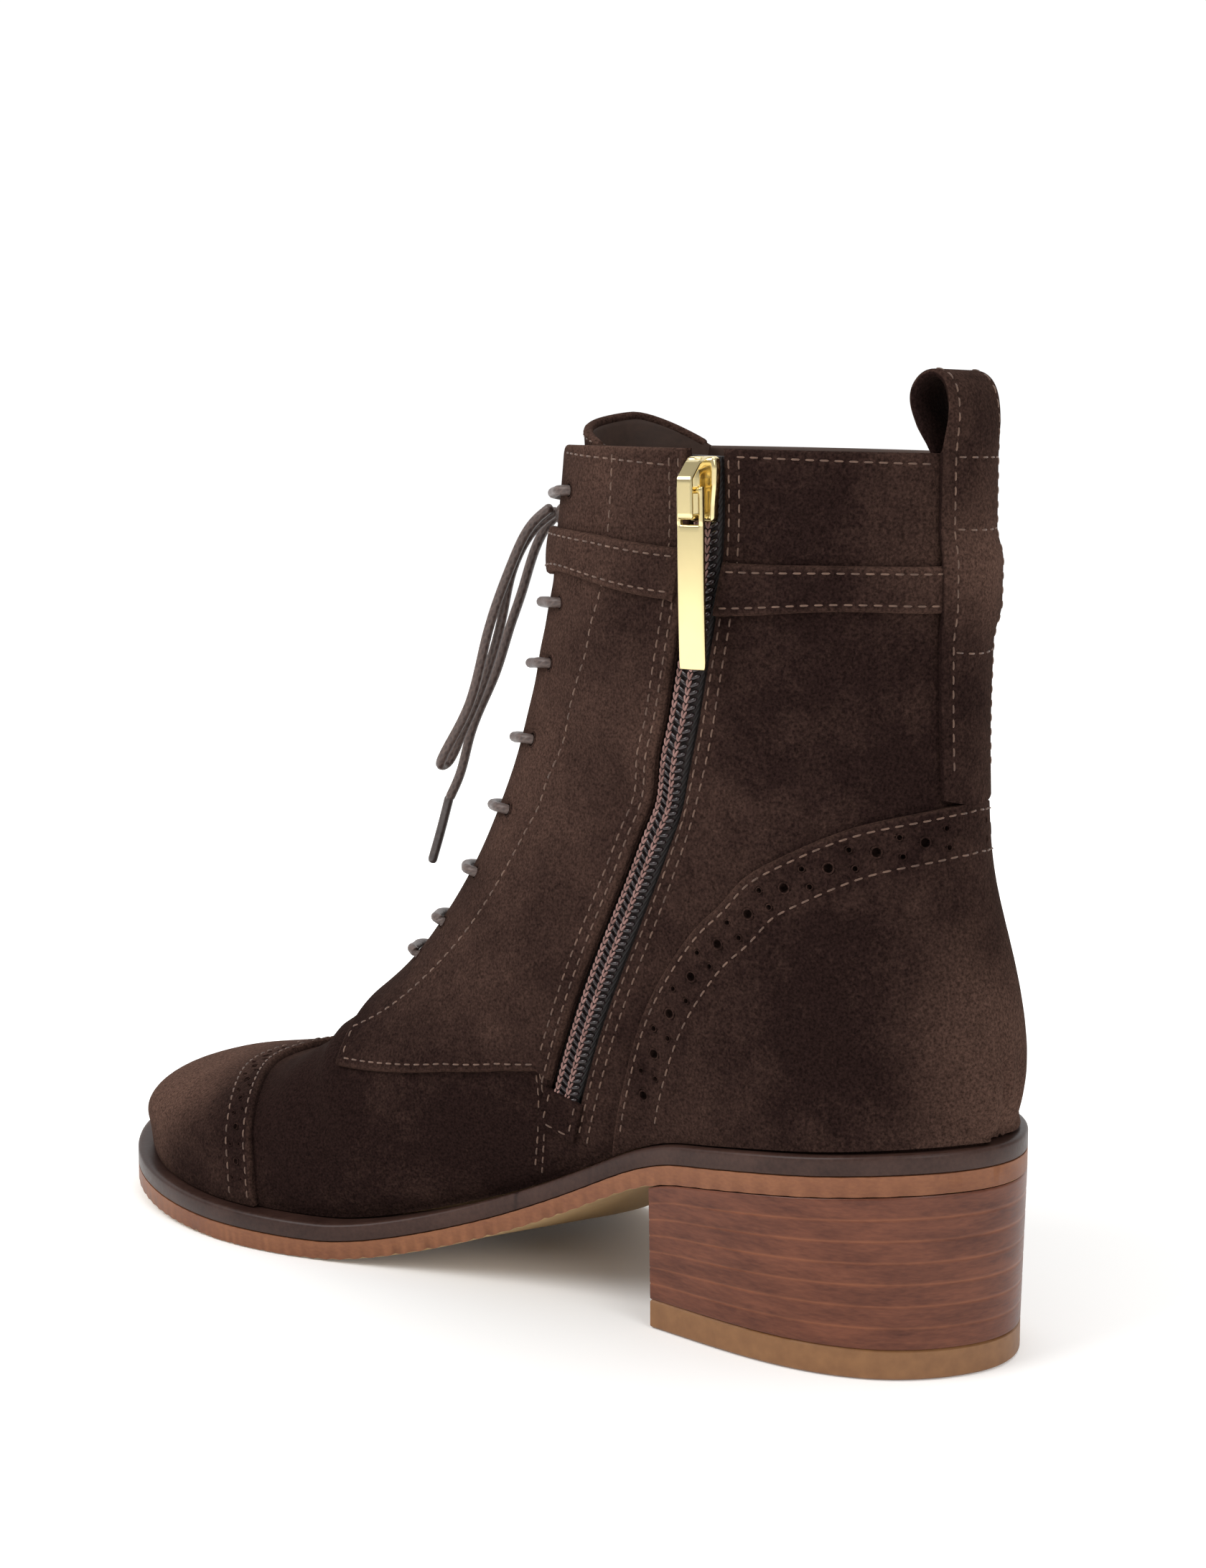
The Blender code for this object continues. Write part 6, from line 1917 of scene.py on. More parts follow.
@dataclass
class SoleUnit:
    """Outsole, welt, insole, stacked heel and top lift."""

    plan: SolePlan
    skins: Finishes
    frame: dict
    breast: float = 76.0
    heel_inset: float = 0.8
    heel_gap: float = 0.25
    lift_thick: float = 6.6
    layers: int = 7
    groove: float = 0.14
    seat_round: float = 0.2
    wall_seat: float = 4.2
    nick_at: float = 100.0

    def build(self) -> None:
        """Build the pieces from the floor up."""
        self._outsole()
        self._welt()
        self._heel()
        insole = self.frame["nodes"]["insole"]
        insole.data.materials.clear()
        insole.data.materials.append(self.skins.insole)

    def _rim(self, plan: Array) -> Array:
        """Distance of plan points from the sole's edge, as the least distance to its outline.

        Args:
            plan: grid of plan points.

        Returns:
            Distances.
        """
        ring = self.plan.drawn_in(np.zeros_like).ring
        flat = plan.reshape(-1, 1, 2)
        return np.linalg.norm(flat - ring[None], axis=-1).min(1).reshape(plan.shape[:2])

    def _outsole(self) -> None:
        """Sheet of sole leather under the whole foot: edges rounded, a fine scribed line round the edge."""
        shares = crowded(300, 0.45)
        mix = np.concatenate([[0.0, 0.004, 0.01, 0.02, 0.04], np.linspace(0.08, 0.92, 15),
                              [0.96, 0.98, 0.99, 0.996, 1.0]])
        edge = self.plan.drawn_in(np.zeros_like)
        plan = edge.across(shares, mix)
        low = self.plan.underside(plan[..., 0], plan[..., 1])
        rim = self._rim(plan)
        fall = rounded_drop(rim, 0.8)
        rise = np.where(low > 1e-6, 0.9, 0.5)
        rise = np.where(plan[..., 0] < self.breast, 0.2, rise)
        rows = [np.concatenate([plan, z[..., None]], -1)
                for z in (low + self.plan.outsole_thick - 0.3 * fall, low + rise * fall)]
        points, faces, tags = shell(rows[0], rows[1])
        seam = np.concatenate([np.zeros(plan[..., 0].size), ease((0.5 - rim) / 0.5).ravel() * 0.5])
        under = (tags == 1) & (points[faces].mean(1)[:, 2] < 60.0)
        Piece("leather_outsole", points, faces, [self.skins.sole, self.skins.tread], "sole_leather",
              replaces=("outsole",), face_skin=under.astype(int), floats={"seam": seam}).put()

    def _welt(self) -> None:
        """Welt ring: a rounded strip on the outsole, nicked by the waist and joined in one place."""
        shares = crowded(420, 0.3)
        inset = np.array([0.0, 0.12, 0.35, 0.8, 1.6, 3.2, 5.0, 6.8])
        rows = []
        for amount in inset / inset[-1]:
            edge = self.plan.drawn_in(lambda x, a=amount: a * (self.plan.ledge(x) + self.wall_seat))
            rows.append(np.vstack([edge.at(Side.INNER, shares), edge.at(Side.OUTER, shares[::-1])[1:]]))
        plan = np.stack(rows, 1)
        low = self.plan.underside(plan[..., 0], plan[..., 1]) + self.plan.outsole_thick
        away = inset[None] + 0.0 * low
        run = lengths(plan[:, 0])[:, None]
        side = slice(len(shares) - 1, None, -1)
        at = np.interp(self.nick_at, plan[side, 0, 0], run[side, 0])
        nick = np.exp(-((run - at + 16.0) / 0.35) ** 2) + 0.5 * sum(
            np.exp(-((run - at - step) / 0.3) ** 2) for step in (6.0, 8.4, 11.1))
        fall = rounded_drop(away, 0.9)
        top = np.concatenate([plan, (low + self.plan.welt_thick - fall - 0.25 * nick * (away < 1.0))[..., None]], -1)
        bottom = np.concatenate([plan, (low + 0.05 + 0.35 * fall)[..., None]], -1)
        points, faces, _ = shell(top, bottom)
        dark = np.clip(nick + 0.0 * away, 0.0, 1.0)
        Piece("leather_welt", points, faces, [self.skins.welt], "welt_leather", replaces=("welt",),
              floats={"seam": np.concatenate([dark.ravel(), dark.ravel()])}).put()

    def _heel_ring(self, inset: float) -> Array:
        """Closed plan of the heel: the sole's edge behind the breast, and the breast itself.

        Args:
            inset: how far it is drawn in from the sole's edge.

        Returns:
            Points of the ring at even steps.
        """
        edge = self.plan.drawn_in(lambda x: np.full_like(x, inset))
        shares = np.linspace(0.55, 1.0, 600)
        inner, outer = (edge.at(side, shares) for side in (Side.INNER, Side.OUTER))
        inner, outer = inner[inner[:, 0] <= self.breast], outer[outer[:, 0] <= self.breast]
        ring = np.vstack([inner, outer[::-1][1:]])
        ends = np.array([[self.breast, ring[-1, 1]], [self.breast, ring[0, 1]]])
        loop = np.vstack([ring, ends[:1], ends[1:], ring[:1]])
        run = lengths(loop)
        return read(np.linspace(0.0, run[-1], 361), run, loop)[:-1]

    def _heel(self) -> None:
        """Stacked heel: its plan carried from the lift to the seat, grooved between even layers; then the lift."""
        upper, lower = self._heel_ring(0.0), self._heel_ring(self.heel_inset)
        step = np.linspace(0.0, 1.0, 113)
        seat = self.plan.underside(upper[:, 0], upper[:, 1]) - self.heel_gap
        middle = upper.mean(0)
        layer = step * self.layers
        nearest, half = np.round(layer), self.layers / 2.0
        seam = np.exp(-((layer - nearest) / 0.055) ** 2) * (np.abs(nearest - half) < half)
        ends = rounded_drop(np.minimum(step, 1.0 - step) * 30.0, self.seat_round)
        plan = lower[None] * (1.0 - step[:, None, None]) + upper[None] * step[:, None, None]
        inwards = unit(middle - plan)
        plan = plan + inwards * (self.groove * seam + ends)[:, None, None]
        z = self.lift_thick + 0.1 + (seat[None] - self.lift_thick - 0.1) * step[:, None]
        wall = np.concatenate([plan, z[..., None]], -1)
        self._drum("stacked_heel", wall, self.skins.stack, "heel_leather", "heel_block",
                   {"seam": np.repeat(seam[:, None], len(upper), 1)}, seated=True)
        step = np.linspace(0.0, 1.0, 17)
        ends = rounded_drop(np.minimum(step, 1.0 - step) * self.lift_thick, 0.5)
        plan = np.repeat(lower[None], 17, 0)
        plan = plan + unit(middle - plan) * ends[:, None, None]
        z = np.repeat((step * self.lift_thick)[:, None], len(lower), 1)
        wall = np.concatenate([plan, z[..., None]], -1)
        self._drum("rubber_top_lift", wall, self.skins.lift, "lift_rubber", "top_lift", {})

    def _drum(self, name: str, wall: Array, skin: Material, slot: str, node_name: str,
              floats: dict[str, Array], seated: bool = False) -> None:
        """Closed solid from rings of one plan: the rings, then rows drawn in to the middle at both ends.

        Args:
            name: name of the object.
            wall: rings of points from the lowest to the highest.
            skin: its material.
            slot: its slot, which is kept on the piece and not used.
            node_name: node that it stands for.
            floats: values on the rings, by attribute name.
            seated: whether its top follows the underside of the sole.
        """
        share = np.linspace(0.0, 1.0, 8)[1:, None, None]
        foot, head = (ring[None] * (1.0 - share) + ring.mean(0) * share for ring in (wall[0], wall[-1]))
        if seated:
            head[..., 2] = self.plan.underside(head[..., 0], head[..., 1]) - self.heel_gap
            head[-1, :, 2] = head[-1, :, 2].mean()
        grid = np.concatenate([foot[::-1], wall, head])
        grid = np.concatenate([grid, grid[:, :1]], 1)
        faces = grid_faces(grid).reshape(-1, 4)
        padded = {key: np.pad(np.concatenate([v, v[:, :1]], 1), ((7, 7), (0, 0))) for key, v in floats.items()}
        Piece(name, grid.reshape(-1, 3), faces, [skin], slot, replaces=(node_name,),
              floats={key: v.ravel() for key, v in padded.items()}, sharp=0.7).put()


@dataclass
class SideZip(Sewn):
    """Zip up the inner side: tape, coil, slider and pull."""

    # Half width, lowest and highest lift of the tape and of the chain's bed
    tape: Three = (7.2, -3.4, -2.6)
    chain: Three = (2.9, -2.4, -0.55)
    pitch: float = 1.75
    coil_radius: float = 0.5
    # Nylon turns: start and end across the zip, slant, height
    turns: Sequence[tuple[float, float, float, float]] = ((-2.2, 0.8, -0.4, 0.0), (0.8, 3.4, 0.6, 0.1))
    chains: Sequence[float] = (-2.2, 0.75)
    slider_at: float = 24.2
    slider_half: tuple[float, float] = (4.0, 7.0)
    slider_thick: float = 2.6
    # Wings of the slider: share of its half length, share of its half width
    slider_wings: Places = (
        (-1.0, 0.66), (-0.9, 0.8), (-0.45, 0.84), (0.1, 0.95), (0.7, 1.0), (0.93, 0.93), (1.0, 0.72),
    )
    bridge_half: tuple[float, float] = (1.9, 6.4)
    bridge_rise: float = 6.0
    bridge_bar: float = 1.2
    # Side view of the bridge from its lower to its upper foot: share of its reach, share of its rise
    bridge_line: Places = ((-1.0, 0.0), (-0.97, 0.86), (-0.9, 1.0), (0.42, 1.0), (0.98, 0.45), (1.0, 0.0))
    pull_length: float = 38.4
    pull_half: float = 3.3
    pull_thick: float = 1.5
    pull_window: tuple[float, float] = (2.3, 7.3)
    pull_play: float = 0.3
    gap: float = 0.3
    tab_half: float = 5.4
    tab_span: tuple[float, float] = (-9.5, 1.2)
    tab_top: float = 1.0

    def build(self) -> None:
        """Make the tape, the coil with its sewing thread, the end tab, the slider and the pull."""
        beds = (("zip_tape", self.tape, "zip_cloth"), ("zip_chain", self.chain, "zip_coil"))
        for name, (half, low, high), slot in beds:
            q = np.linspace(self.last.zip_bottom + 0.05, self.last.collar - 0.15, 200)
            reach = half * self.last.zip_spread(q)[:, None] * (2.0 * crowded(11, 0.5) - 1.0)[None]
            s = self.last.zip_middle(q)[:, None] + reach
            rows = np.repeat(q[:, None], s.shape[1], 1)
            points, faces, _ = shell(*(self.last.at(rows, s, Side.INNER, lift) for lift in (high, low)))
            Piece(f"woven_{name}", points, faces, [self.skins.tape], slot, replaces=(name,)).put()
        self._coil()
        self._end_tab()
        origin, axes = self._frame()
        self._slider(origin, axes)
        self._pull(origin, axes)

    def _line(self) -> Triple:
        """Middle of the chain at even steps of one tooth.

        Returns:
            Points, directions along and directions outwards.
        """
        q = np.linspace(self.last.zip_bottom + 0.14, self.last.collar - 0.17, 400)
        s = self.last.zip_middle(q)
        points, normals = self.last.face(q, s / self.last.girth(q, Side.INNER), Side.INNER, -0.35)
        run = lengths(points)
        at = np.arange(0.5 * self.pitch, run[-1] - 0.5, self.pitch)
        middle, out, ahead = (read(at, run, values) for values in (points, normals, np.gradient(points, axis=0)))
        ahead = unit(ahead)
        return middle, ahead, unit(out - (out * ahead).sum(-1, keepdims=True) * ahead)

    def _coil(self) -> None:
        """Coil: slanting nylon turns in two rows, each beside a chain of sewing thread made of paired strands."""
        middle, ahead, out = self._line()
        across = np.cross(ahead, out)
        centres, axes = [], []
        for from_, to, slant, high in self.turns:
            reach = unit(across + slant * ahead)
            centres.append(middle + 0.5 * (from_ + to) * across + high * out)
            axes.append(np.stack([reach * (to - from_) / 2.0, np.cross(out, reach), out], 1))
        points, faces = scattered(lozenge(2.3, self.coil_radius, 0.3, sides=8, rings=7),
                                  np.concatenate(centres), np.concatenate(axes))
        Piece("zip_coil", points, faces, [self.skins.coil], "zip_coil").put()
        centres, axes = [], []
        for row in self.chains:
            for lean in (-1.0, 1.0):
                reach = unit(ahead + 0.3 * lean * across)
                centres.append(middle + (row + 0.3 * lean) * across + 0.5 * out)
                axes.append(np.stack([reach, np.cross(out, reach), out], 1))
        points, faces = scattered(lozenge(2.0, 0.27, 0.22), np.concatenate(centres), np.concatenate(axes))
        Piece("zip_coil_thread", points, faces, [self.skins.coil_thread], "zip_coil").put()

    def _end_tab(self) -> None:
        """Tab over the zip's lower end: a flat patch square to the zip, laid on the upper and stitched round."""
        last = self.last
        q = last.zip_bottom + np.array([0.14, 0.5])
        s = last.zip_middle(q)
        points, normals = last.face(q, s / last.girth(q, Side.INNER), Side.INNER)
        up = unit(points[1] - points[0])
        across = unit(np.cross(up, normals[0]))
        rows = self.tab_span[0] + (self.tab_span[1] - self.tab_span[0]) * crowded(24, 0.5)
        columns = self.tab_half * (2.0 * crowded(24, 0.5) - 1.0)
        flat = points[0] + rows[:, None, None] * up + columns[None, :, None] * across
        guess = np.full(flat.shape[:2], 1.0)
        q, s = last.project(flat, guess * q[0], guess * s[0], Side.INNER, 8)
        edge = border_distance(last.at(q, s, Side.INNER), "tblr")
        top = last.at(q, s, Side.INNER, self.tab_top - rounded_drop(edge, 0.5))
        self.suede("suede_zip_end_tab", shell(top, last.at(q, s, Side.INNER, 0.0)), tone=-0.1)
        near = 5
        for cut in ((slice(near, None), near), (near, slice(near, -near)), (slice(near, None), -near - 1)):
            self.stitching.on_last(q[cut], s[cut], Side.INNER, self.tab_top)
        self.stitching.put("zip_end_stitching")

    def _frame(self) -> Pair:
        """Place under the slider.

        Returns:
            The place, and the directions across, up the zip and outwards.
        """
        plain = Last(self.last.sole, creases=())
        q = np.array([self.slider_at, self.slider_at + 0.4, self.slider_at - 0.4])
        origin, above, below = plain.at(q, line(self.last.zip_line, q), Side.INNER)
        up = unit(above - below)
        middle = line(self.last.zip_line, self.slider_at)
        sides = plain.at(np.full(2, self.slider_at), middle + np.array([1.0, -1.0]), Side.INNER)
        out = np.cross(up, sides[0] - sides[1])
        out = unit(out * np.sign(out[1]))
        return origin, np.stack([np.cross(up, out), up, out])

    def _slider(self, origin: Array, axes: Array) -> None:
        """Body with flared wings and a middle rib, and the arched bridge over it, all with eased edges.

        Args:
            origin: place under the slider.
            axes: directions across, up the zip and outwards.
        """
        wide, long = self.slider_half
        rows = long * crowded(29, 0.4) * 2.0 - long
        share = 2.0 * crowded(19, 0.5) - 1.0
        narrow = line(self.slider_wings, rows / long)
        y = np.repeat(rows[:, None], 19, 1)
        x = wide * narrow[:, None] * share[None]
        edge = np.minimum(wide * narrow[:, None] * (1.0 - np.abs(share))[None], (long - np.abs(rows))[:, None])
        rib = 0.45 * np.exp(-(x / 1.1) ** 2) * (np.abs(y) < 0.95 * long)
        notch = 1.1 * np.exp(-(x / 1.0) ** 2 - ((y - long) / 2.2) ** 2)
        top = self.gap + self.slider_thick - rounded_drop(edge, 0.9) + rib - notch - 0.35
        layers = [origin + np.stack([x, y, z], -1) @ axes
                  for z in (top, self.gap + 0.3 * rounded_drop(edge, 0.6))]
        points, faces, _ = shell(*layers)
        half, reach = self.bridge_half
        share = 2.0 * crowded(9, 0.5) - 1.0
        ends = rounded_drop((1.0 - np.abs(share)) * half, 0.35)
        base = self.gap + self.slider_thick - 0.7
        outline = np.array(self.bridge_line) * (reach, self.bridge_rise + 0.7)
        run = lengths(outline)
        at = np.linspace(0.0, run[-1], 61)
        route = np.mean([read(at + d, run, outline) for d in (-0.5, 0.0, 0.5)], 0)
        ahead = unit(np.gradient(route, axis=0))
        out = np.stack([-ahead[:, 1], ahead[:, 0]], -1)
        layers = []
        for sunk in (ends, self.bridge_bar - ends):
            flat = route[:, None] - out[:, None] * sunk[None, :, None]
            x = np.repeat(half * share[None], len(at), 0)
            layers.append(origin + np.stack([x, flat[..., 0], base + np.maximum(flat[..., 1], 0.0)], -1) @ axes)
        arch_points, arch_faces, _ = shell(*layers)
        Piece("gold_zip_slider", np.concatenate([points, arch_points]),
              np.concatenate([faces, arch_faces + len(points)]), [self.skins.gold], "gold_metal",
              replaces=("zip_slider",), sharp=0.8).put()

    def _pull(self, origin: Array, axes: Array) -> None:
        """Flat bar that hangs from the bridge: a window at its top, bevelled edges, a plain face.

        Args:
            origin: place under the slider.
            axes: directions across, up the zip and outwards.
        """
        top = self.gap + self.slider_thick
        pin = top + self.bridge_rise - self.bridge_bar - self.pull_play - self.pull_thick / 2.0 * 2.0 ** 0.5
        wide, window = self.pull_window
        bar = self.pull_thick / 2.0
        half = self.pull_half
        bevel = np.array([0.0, 0.08, 0.22, 0.42])
        x_side = np.concatenate([bevel - half, [-wide - 0.3, -wide - 0.12, -wide]])
        x = np.concatenate([x_side, np.linspace(-wide, wide, 9)[1:-1], -x_side[::-1]])
        y = np.concatenate([
            [bar, bar - 0.1, bar - 0.3, 0.0, -bar + 0.3, -bar + 0.1, -bar], np.linspace(-bar, -window, 9)[1:-1],
            [-window, -window - 0.1, -window - 0.3], np.linspace(-window - 0.6, -self.pull_length + 0.6, 26),
            bevel[::-1] - self.pull_length])
        grid_x, grid_y = np.meshgrid(x, y)
        in_window = (np.abs(grid_x) < wide - 1e-6) & (grid_y < -bar - 1e-6) & (grid_y > -window + 1e-6)
        outer = np.minimum(half - np.abs(grid_x), np.minimum(bar - grid_y, grid_y + self.pull_length))
        gap_x = np.maximum(np.abs(grid_x) - wide, 0.0)
        gap_y = np.maximum(np.maximum(grid_y + bar, -window - grid_y), 0.0)
        edge = np.minimum(outer, np.hypot(gap_x, gap_y))
        corner = 0.9
        over = np.maximum(np.abs(grid_x) - half + corner, 0.0) * np.maximum(-self.pull_length + corner - grid_y, 0.0)
        grid_x = grid_x - np.sign(grid_x) * 0.35 * over
        fall = rounded_drop(edge, 0.4)
        hinge = origin + pin * axes[2]
        crown = 0.22 * (grid_x / half) ** 2 + 0.25 * (2.0 * grid_y / self.pull_length + 1.0) ** 2 * (grid_y < -window)
        layers = [hinge + np.stack([grid_x, grid_y, z], -1) @ axes for z in (bar - fall - crown, -bar + fall)]
        keep = ~(in_window[:-1, :-1] | in_window[1:, 1:] | in_window[:-1, 1:] | in_window[1:, :-1])
        points, faces, _ = shell(*layers, keep)
        Piece("gold_zip_pull", points, faces, [self.skins.gold], "gold_metal", body=Body.PULL,
              replaces=("zip_pull",), sharp=0.8).put()


@dataclass
class Laces:
    """Round lace: bars across the throat, knot, free loop, free end and its tip."""

    last: Last
    skins: Finishes
    radius: float = 1.2
    heights: Sequence[float] = (73.6, 83.0, 96.8, 113.2, 130.6, 149.0, 163.6, 189.4)
    set_back: float = 13.0
    droop: float = 2.5
    clear: float = 3.2
    knot_at: Three = (123.0, 0.0, 182.9)
    knot_half: Three = (4.2, 4.6, 3.2)
    eyelet_rim: tuple[float, float] = (1.75, 0.3)
    eyelet_hole: float = 0.85
    # Routes of the free lace from the knot: x, y, z
    loop_route: Sequence[Three] = (
        (127.6, 1.5, 183.8), (132.3, 2.5, 180.3), (136.5, 3.5, 174.7), (139.1, 4.2, 168.6), (141.3, 5.0, 158.4),
        (144.9, 6.0, 146.0), (149.1, 7.0, 135.7), (153.0, 8.0, 127.5), (155.2, 8.1, 123.4),
        (156.5, 9.2, 121.2), (156.3, 11.2, 121.2), (154.6, 12.3, 123.6), (150.3, 12.0, 130.2), (146.4, 11.6, 137.1),
        (144.4, 10.3, 145.2), (143.0, 8.9, 153.6), (140.0, 7.8, 163.1),
        (135.9, 6.9, 172.6), (130.6, 5.4, 181.6), (127.0, 4.4, 184.6),
    )
    end_route: Sequence[Three] = (
        (127.5, -2.1, 184.3), (131.6, -2.2, 181.6), (136.5, -2.5, 175.7), (141.4, -2.5, 164.0), (144.8, -2.0, 155.4),
        (148.9, -1.0, 143.5), (153.3, 0.0, 134.3), (155.6, 1.0, 127.8), (158.4, 2.0, 117.5), (160.6, 3.0, 112.2),
    )
    tip_route: Sequence[Three] = ((161.0, 3.2, 111.4), (163.1, 4.0, 103.3), (165.0, 5.0, 96.0))

    def build(self) -> None:
        """Make the bars with their punched eyelets, then the knot and the free lace as cords."""
        self._bars()
        knot = self._knot()
        side_of = (0.0, 1.0, 0.0)
        loop = self._cord("lace_free_loop", self.loop_route, self.skins.lace, "lace_cord", "lace_loop", (0.3, 0.2, 1.0))
        end = self._cord("lace_free_end", self.end_route, self.skins.lace, "lace_cord", "lace_end", side_of)
        tip, _ = self._cord("lace_end_tip", self.tip_route, self.skins.aglet, "lace_tip", "lace_tip", side_of)
        for (made, path), pieces, far in ((loop, [knot], "knot"), (end, [tip], "fitting")):
            place(path[0])
            float(lengths(path)[-1]) * MM
            place(path)
            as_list(pieces)

    def _cord(self, name: str, route: Sequence[Three], skin: Material, slot: str,
              node_name: str, side_of: Sequence[float]) -> tuple[Object, Array]:
        """Tube along a smooth curve through a route.

        Args:
            name: name of the object.
            route: points that the curve goes through.
            skin: its material.
            slot: its slot, which is kept on the piece and not used.
            node_name: node that it stands for.
            side_of: direction that the route never runs along.

        Returns:
            The object and the path that it follows.
        """
        path = resample(np.array(route), 0.8)
        points, faces, uv = tube(path, self.radius, side_of)
        made = Piece(name, points, faces, [skin], slot, replaces=(node_name,), uv=uv).put()
        return made, path

    def _level(self, height: float, distance: float, side: Side, lift: float) -> Pair:
        """Place at one height and one distance from the ridge.

        Args:
            height: height over the floor.
            distance: distance from the ridge.
            side: half of the boot.
            lift: height over the upper's face.

        Returns:
            Point and normal.
        """
        sections = np.linspace(self.last.throat, self.last.collar, 400)
        heights = self.last.at(sections, np.full_like(sections, distance), side)[:, 2]
        q = np.interp(height, heights, sections)
        share = distance / self.last.girth(np.array(q), side)
        return self.last.face(np.array(q), share, side, lift)

    def _bars(self) -> None:
        """Each bar dives through its eyelets at both ends and sags a little over the throat."""
        sections = np.linspace(self.last.throat, self.last.collar, 120)
        ridge = self.last.at(sections, np.full_like(sections, 12.0), Side.INNER)[:, 2]
        holes, normals = [], []
        for number, height in enumerate(self.heights, 1):
            edge = float(line(self.last.facing, np.interp(height, ridge, sections)))
            ends = edge + self.set_back
            profile = ((ends + 1.0, -1.6), (ends + 0.8, 1.2), (ends - 0.9, self.clear),
                       (edge + 0.6 * self.set_back, self.clear + 0.1), (edge + 1.0, self.clear + 0.4),
                       (0.6 * edge, 3.0), (0.0, 2.4))
            routes = {}
            for side in Side:
                found = [self._level(height - self.droop * (1.0 - min(1.0, away / ends)), away, side, lift)
                         for away, lift in profile]
                routes[side] = [point for point, _ in found]
                spot, normal = self._level(height, ends + 0.7, side, 1.84)
                holes.append(spot)
                normals.append(normal)
            path = resample(np.array(routes[Side.INNER] + routes[Side.OUTER][-2::-1]), 0.9)
            points, faces, uv = tube(path, self.radius, (0.9, 0.0, 0.5))
            Piece(f"lace_across_{number}", points, faces, [self.skins.lace], "lace_cord",
                  replaces=(f"lace_bar_{number}",), uv=uv).put()
        holes, normals = np.array(holes), np.array(normals)
        ahead = unit(np.cross(normals, (0.0, 0.0, 1.0)))
        axes = np.stack([ahead, np.cross(normals, ahead), normals], 1)
        points, faces = scattered(torus(*self.eyelet_rim, 18, 8), holes - 0.12 * normals, axes)
        Piece("eyelet_rims", points, faces, [self.skins.suede], "suede").put()
        # Painted shade: a flat disc, fully darkened, lies in each eyelet where the inside of the hole would be in
        # shadow
        axes[:, 2] *= 0.06
        points, faces = scattered(torus(self.eyelet_hole, self.eyelet_hole, 18, 8), holes + 0.02 * normals, axes)
        Piece("eyelet_hole_shade", points, faces, [self.skins.suede], "suede",
              floats={"hole_shade": np.ones(len(points))}).put()

    def _knot(self) -> Object:
        """Knot: one lace carried round a three-lobed knot line inside the knot's size.

        Returns:
            The object.
        """
        t = np.linspace(0.0, 2.0 * np.pi, 97)[:-1]
        curve = np.stack([(np.sin(t) + 2.0 * np.sin(2.0 * t)) / 3.0, (np.cos(t) - 2.0 * np.cos(2.0 * t)) / 3.0,
                          -np.sin(3.0 * t)], -1)
        path = np.array(self.knot_at) + curve * (np.array(self.knot_half) - self.radius)
        ahead = unit(np.roll(path, -1, 0) - np.roll(path, 1, 0))
        across = unit(np.cross(ahead, unit(path - np.array(self.knot_at) + (0.0, 0.0, 0.35))))
        path, ahead, across = (np.concatenate([rows, rows[:1]]) for rows in (path, ahead, across))
        points, faces, uv = swept(path, ahead, across, np.full(len(path), self.radius))
        return Piece("lace_top_knot", points, faces, [self.skins.lace], "lace_cord",
                     replaces=("lace_knot",), uv=uv).put()


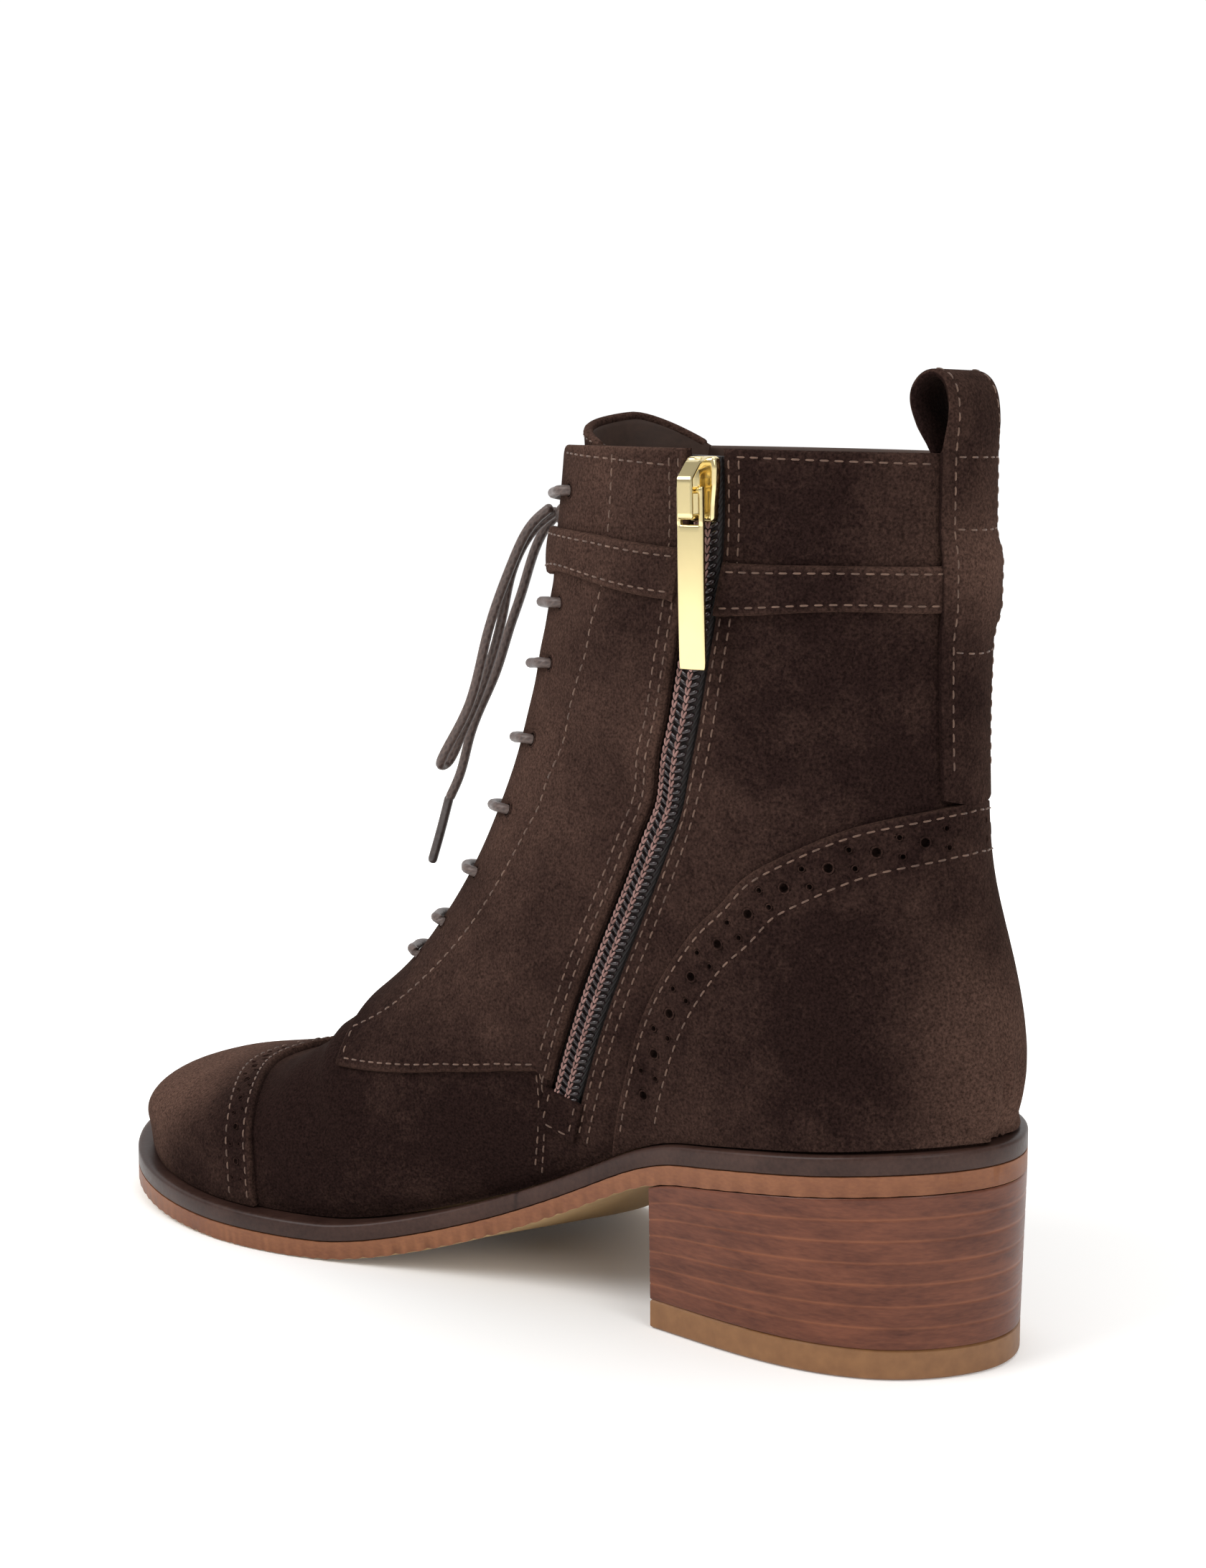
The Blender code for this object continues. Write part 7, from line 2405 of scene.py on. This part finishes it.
@dataclass
class Studio:
    """Pale floor, soft lights and the camera."""

    eye: Three = (-0.3951, 0.4714, 0.1986)
    target: Three = (-0.0191, 0.0003, 0.1188)
    lens_mm: float = 57.97
    sensor_mm: float = 36.0
    floor_half: float = 4.0
    floor_level: float = -0.0002
    floor_colour: str = "#f4f3f1"
    # Painted light: the floor glows more away from the boot, from the near to the far distance in metres up to the
    # given strength, which lifts the shade on the floor
    paper_glow: Three = (0.0, 0.35, 0.5)
    backdrop_away: float = 2.4
    world_level: float = 0.45
    # Place, size, power in watts
    lights: Sequence[tuple[Three, float, float]] = (
        ((0.55, 1.05, 1.2), 1.1, 17.0),
        ((-1.25, 0.55, 0.8), 0.8, 6.0),
        ((-0.1, -0.3, 1.7), 1.2, 8.0),
    )

    def build(self) -> None:
        """Set the floor, the world, the lights and the camera."""
        self._floor()
        self._light()
        data = bpy.data.cameras.new("studio_camera")
        data.lens, data.sensor_width = self.lens_mm, self.sensor_mm
        data.clip_start, data.clip_end = 0.01, 50.0
        camera = bpy.data.objects.new("studio_camera", data)
        camera.location = self.eye
        camera.rotation_euler = (Vector(self.target) - Vector(self.eye)).to_track_quat("-Z", "Y").to_euler()
        bpy.context.scene.collection.objects.link(camera)
        bpy.context.scene.camera = camera

    def _floor(self) -> None:
        """Paper floor just under the sole, which glows more away from the boot as painted light, and an upright bright
        sheet well behind the boot.
        """
        half = self.floor_half
        made, tree, surface = started("matt_white_paper", Base_Color=linear(self.floor_colour), Roughness=0.9,
                                      Specular_IOR_Level=0.1, Emission_Color=(1.0, 1.0, 1.0, 1.0))
        where = node(tree, "ShaderNodeTexCoord", out="Object")
        away = node(tree, "ShaderNodeVectorMath", {0: where}, "Value", operation="LENGTH")
        near, far, glow = self.paper_glow
        node(tree, "ShaderNodeMapRange", {"Value": away, "From Min": near, "From Max": far, "To Max": glow},
             to=surface.inputs["Emission Strength"])
        bright, _, _ = started("bright_backdrop", Base_Color=linear("#000000"), Emission_Strength=1.0,
                               Emission_Color=(1.0, 1.0, 1.0, 1.0))
        ahead = unit(np.array(self.target)[:2] - np.array(self.eye)[:2])
        right = np.array([ahead[1], -ahead[0]])
        foot = [ahead * self.backdrop_away + side * half * right for side in (-1.0, 1.0)]
        low = self.floor_level
        square = [(-half, -half, low), (half, -half, low), (half, half, low), (-half, half, low)]
        upright = [(*foot[0], low), (*foot[1], low), (*foot[1], half), (*foot[0], half)]
        sheets = {"studio_floor": (made, square), "studio_backdrop": (bright, upright)}
        for name, (skin, corners) in sheets.items():
            mesh = bpy.data.meshes.new(name)
            mesh.from_pydata([tuple(float(v) for v in corner) for corner in corners], [], [(0, 1, 2, 3)])
            mesh.materials.append(skin)
            sheet = bpy.data.objects.new(name, mesh)
            bpy.context.scene.collection.objects.link(sheet)

    def _light(self) -> None:
        """Even white surroundings and three large soft lamps."""
        world = bpy.data.worlds.new("studio_world")
        world.use_nodes = True
        world.node_tree.nodes["Background"].inputs["Color"].default_value = (1.0, 1.0, 1.0, 1.0)
        world.node_tree.nodes["Background"].inputs["Strength"].default_value = self.world_level
        bpy.context.scene.world = world
        for number, (spot, size, power) in enumerate(self.lights, 1):
            data = bpy.data.lights.new(f"softbox_{number}", "AREA")
            data.shape, data.size, data.energy = "DISK", size, power
            lamp = bpy.data.objects.new(f"softbox_{number}", data)
            lamp.location = spot
            lamp.rotation_euler = (Vector(self.target) - Vector(spot)).to_track_quat("-Z", "Y").to_euler()
            bpy.context.scene.collection.objects.link(lamp)
        bpy.context.scene.view_settings.view_transform = "Standard"


def main() -> None:
    """Load the frame, build every sub-assembly in order, and note the sizes."""
    logging.basicConfig(level=logging.INFO, format="%(name)s %(message)s")
    for old in list(bpy.data.objects):
        bpy.data.objects.remove(old, do_unlink=True)
    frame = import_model()
    skins = Finishes()
    plan = SolePlan()
    last = Last(plan)
    brush_and_light = BrushAndLight(last)
    stitching = Stitching(last, skins)
    Studio().build()
    Laces(last, skins).build()
    SoleUnit(plan, skins, frame).build()
    upper = SuedeUpper(last, skins, brush_and_light, stitching)
    upper.body()
    upper.rear_rows()
    upper.quarters()
    upper.toe_cap()
    upper.counter()
    upper.straps()
    BackStrip(last, skins, brush_and_light, stitching).build()
    Tongue(last, skins, brush_and_light, stitching).build()
    SideZip(last, skins, brush_and_light, stitching).build()


if __name__ == "__main__":
    main()
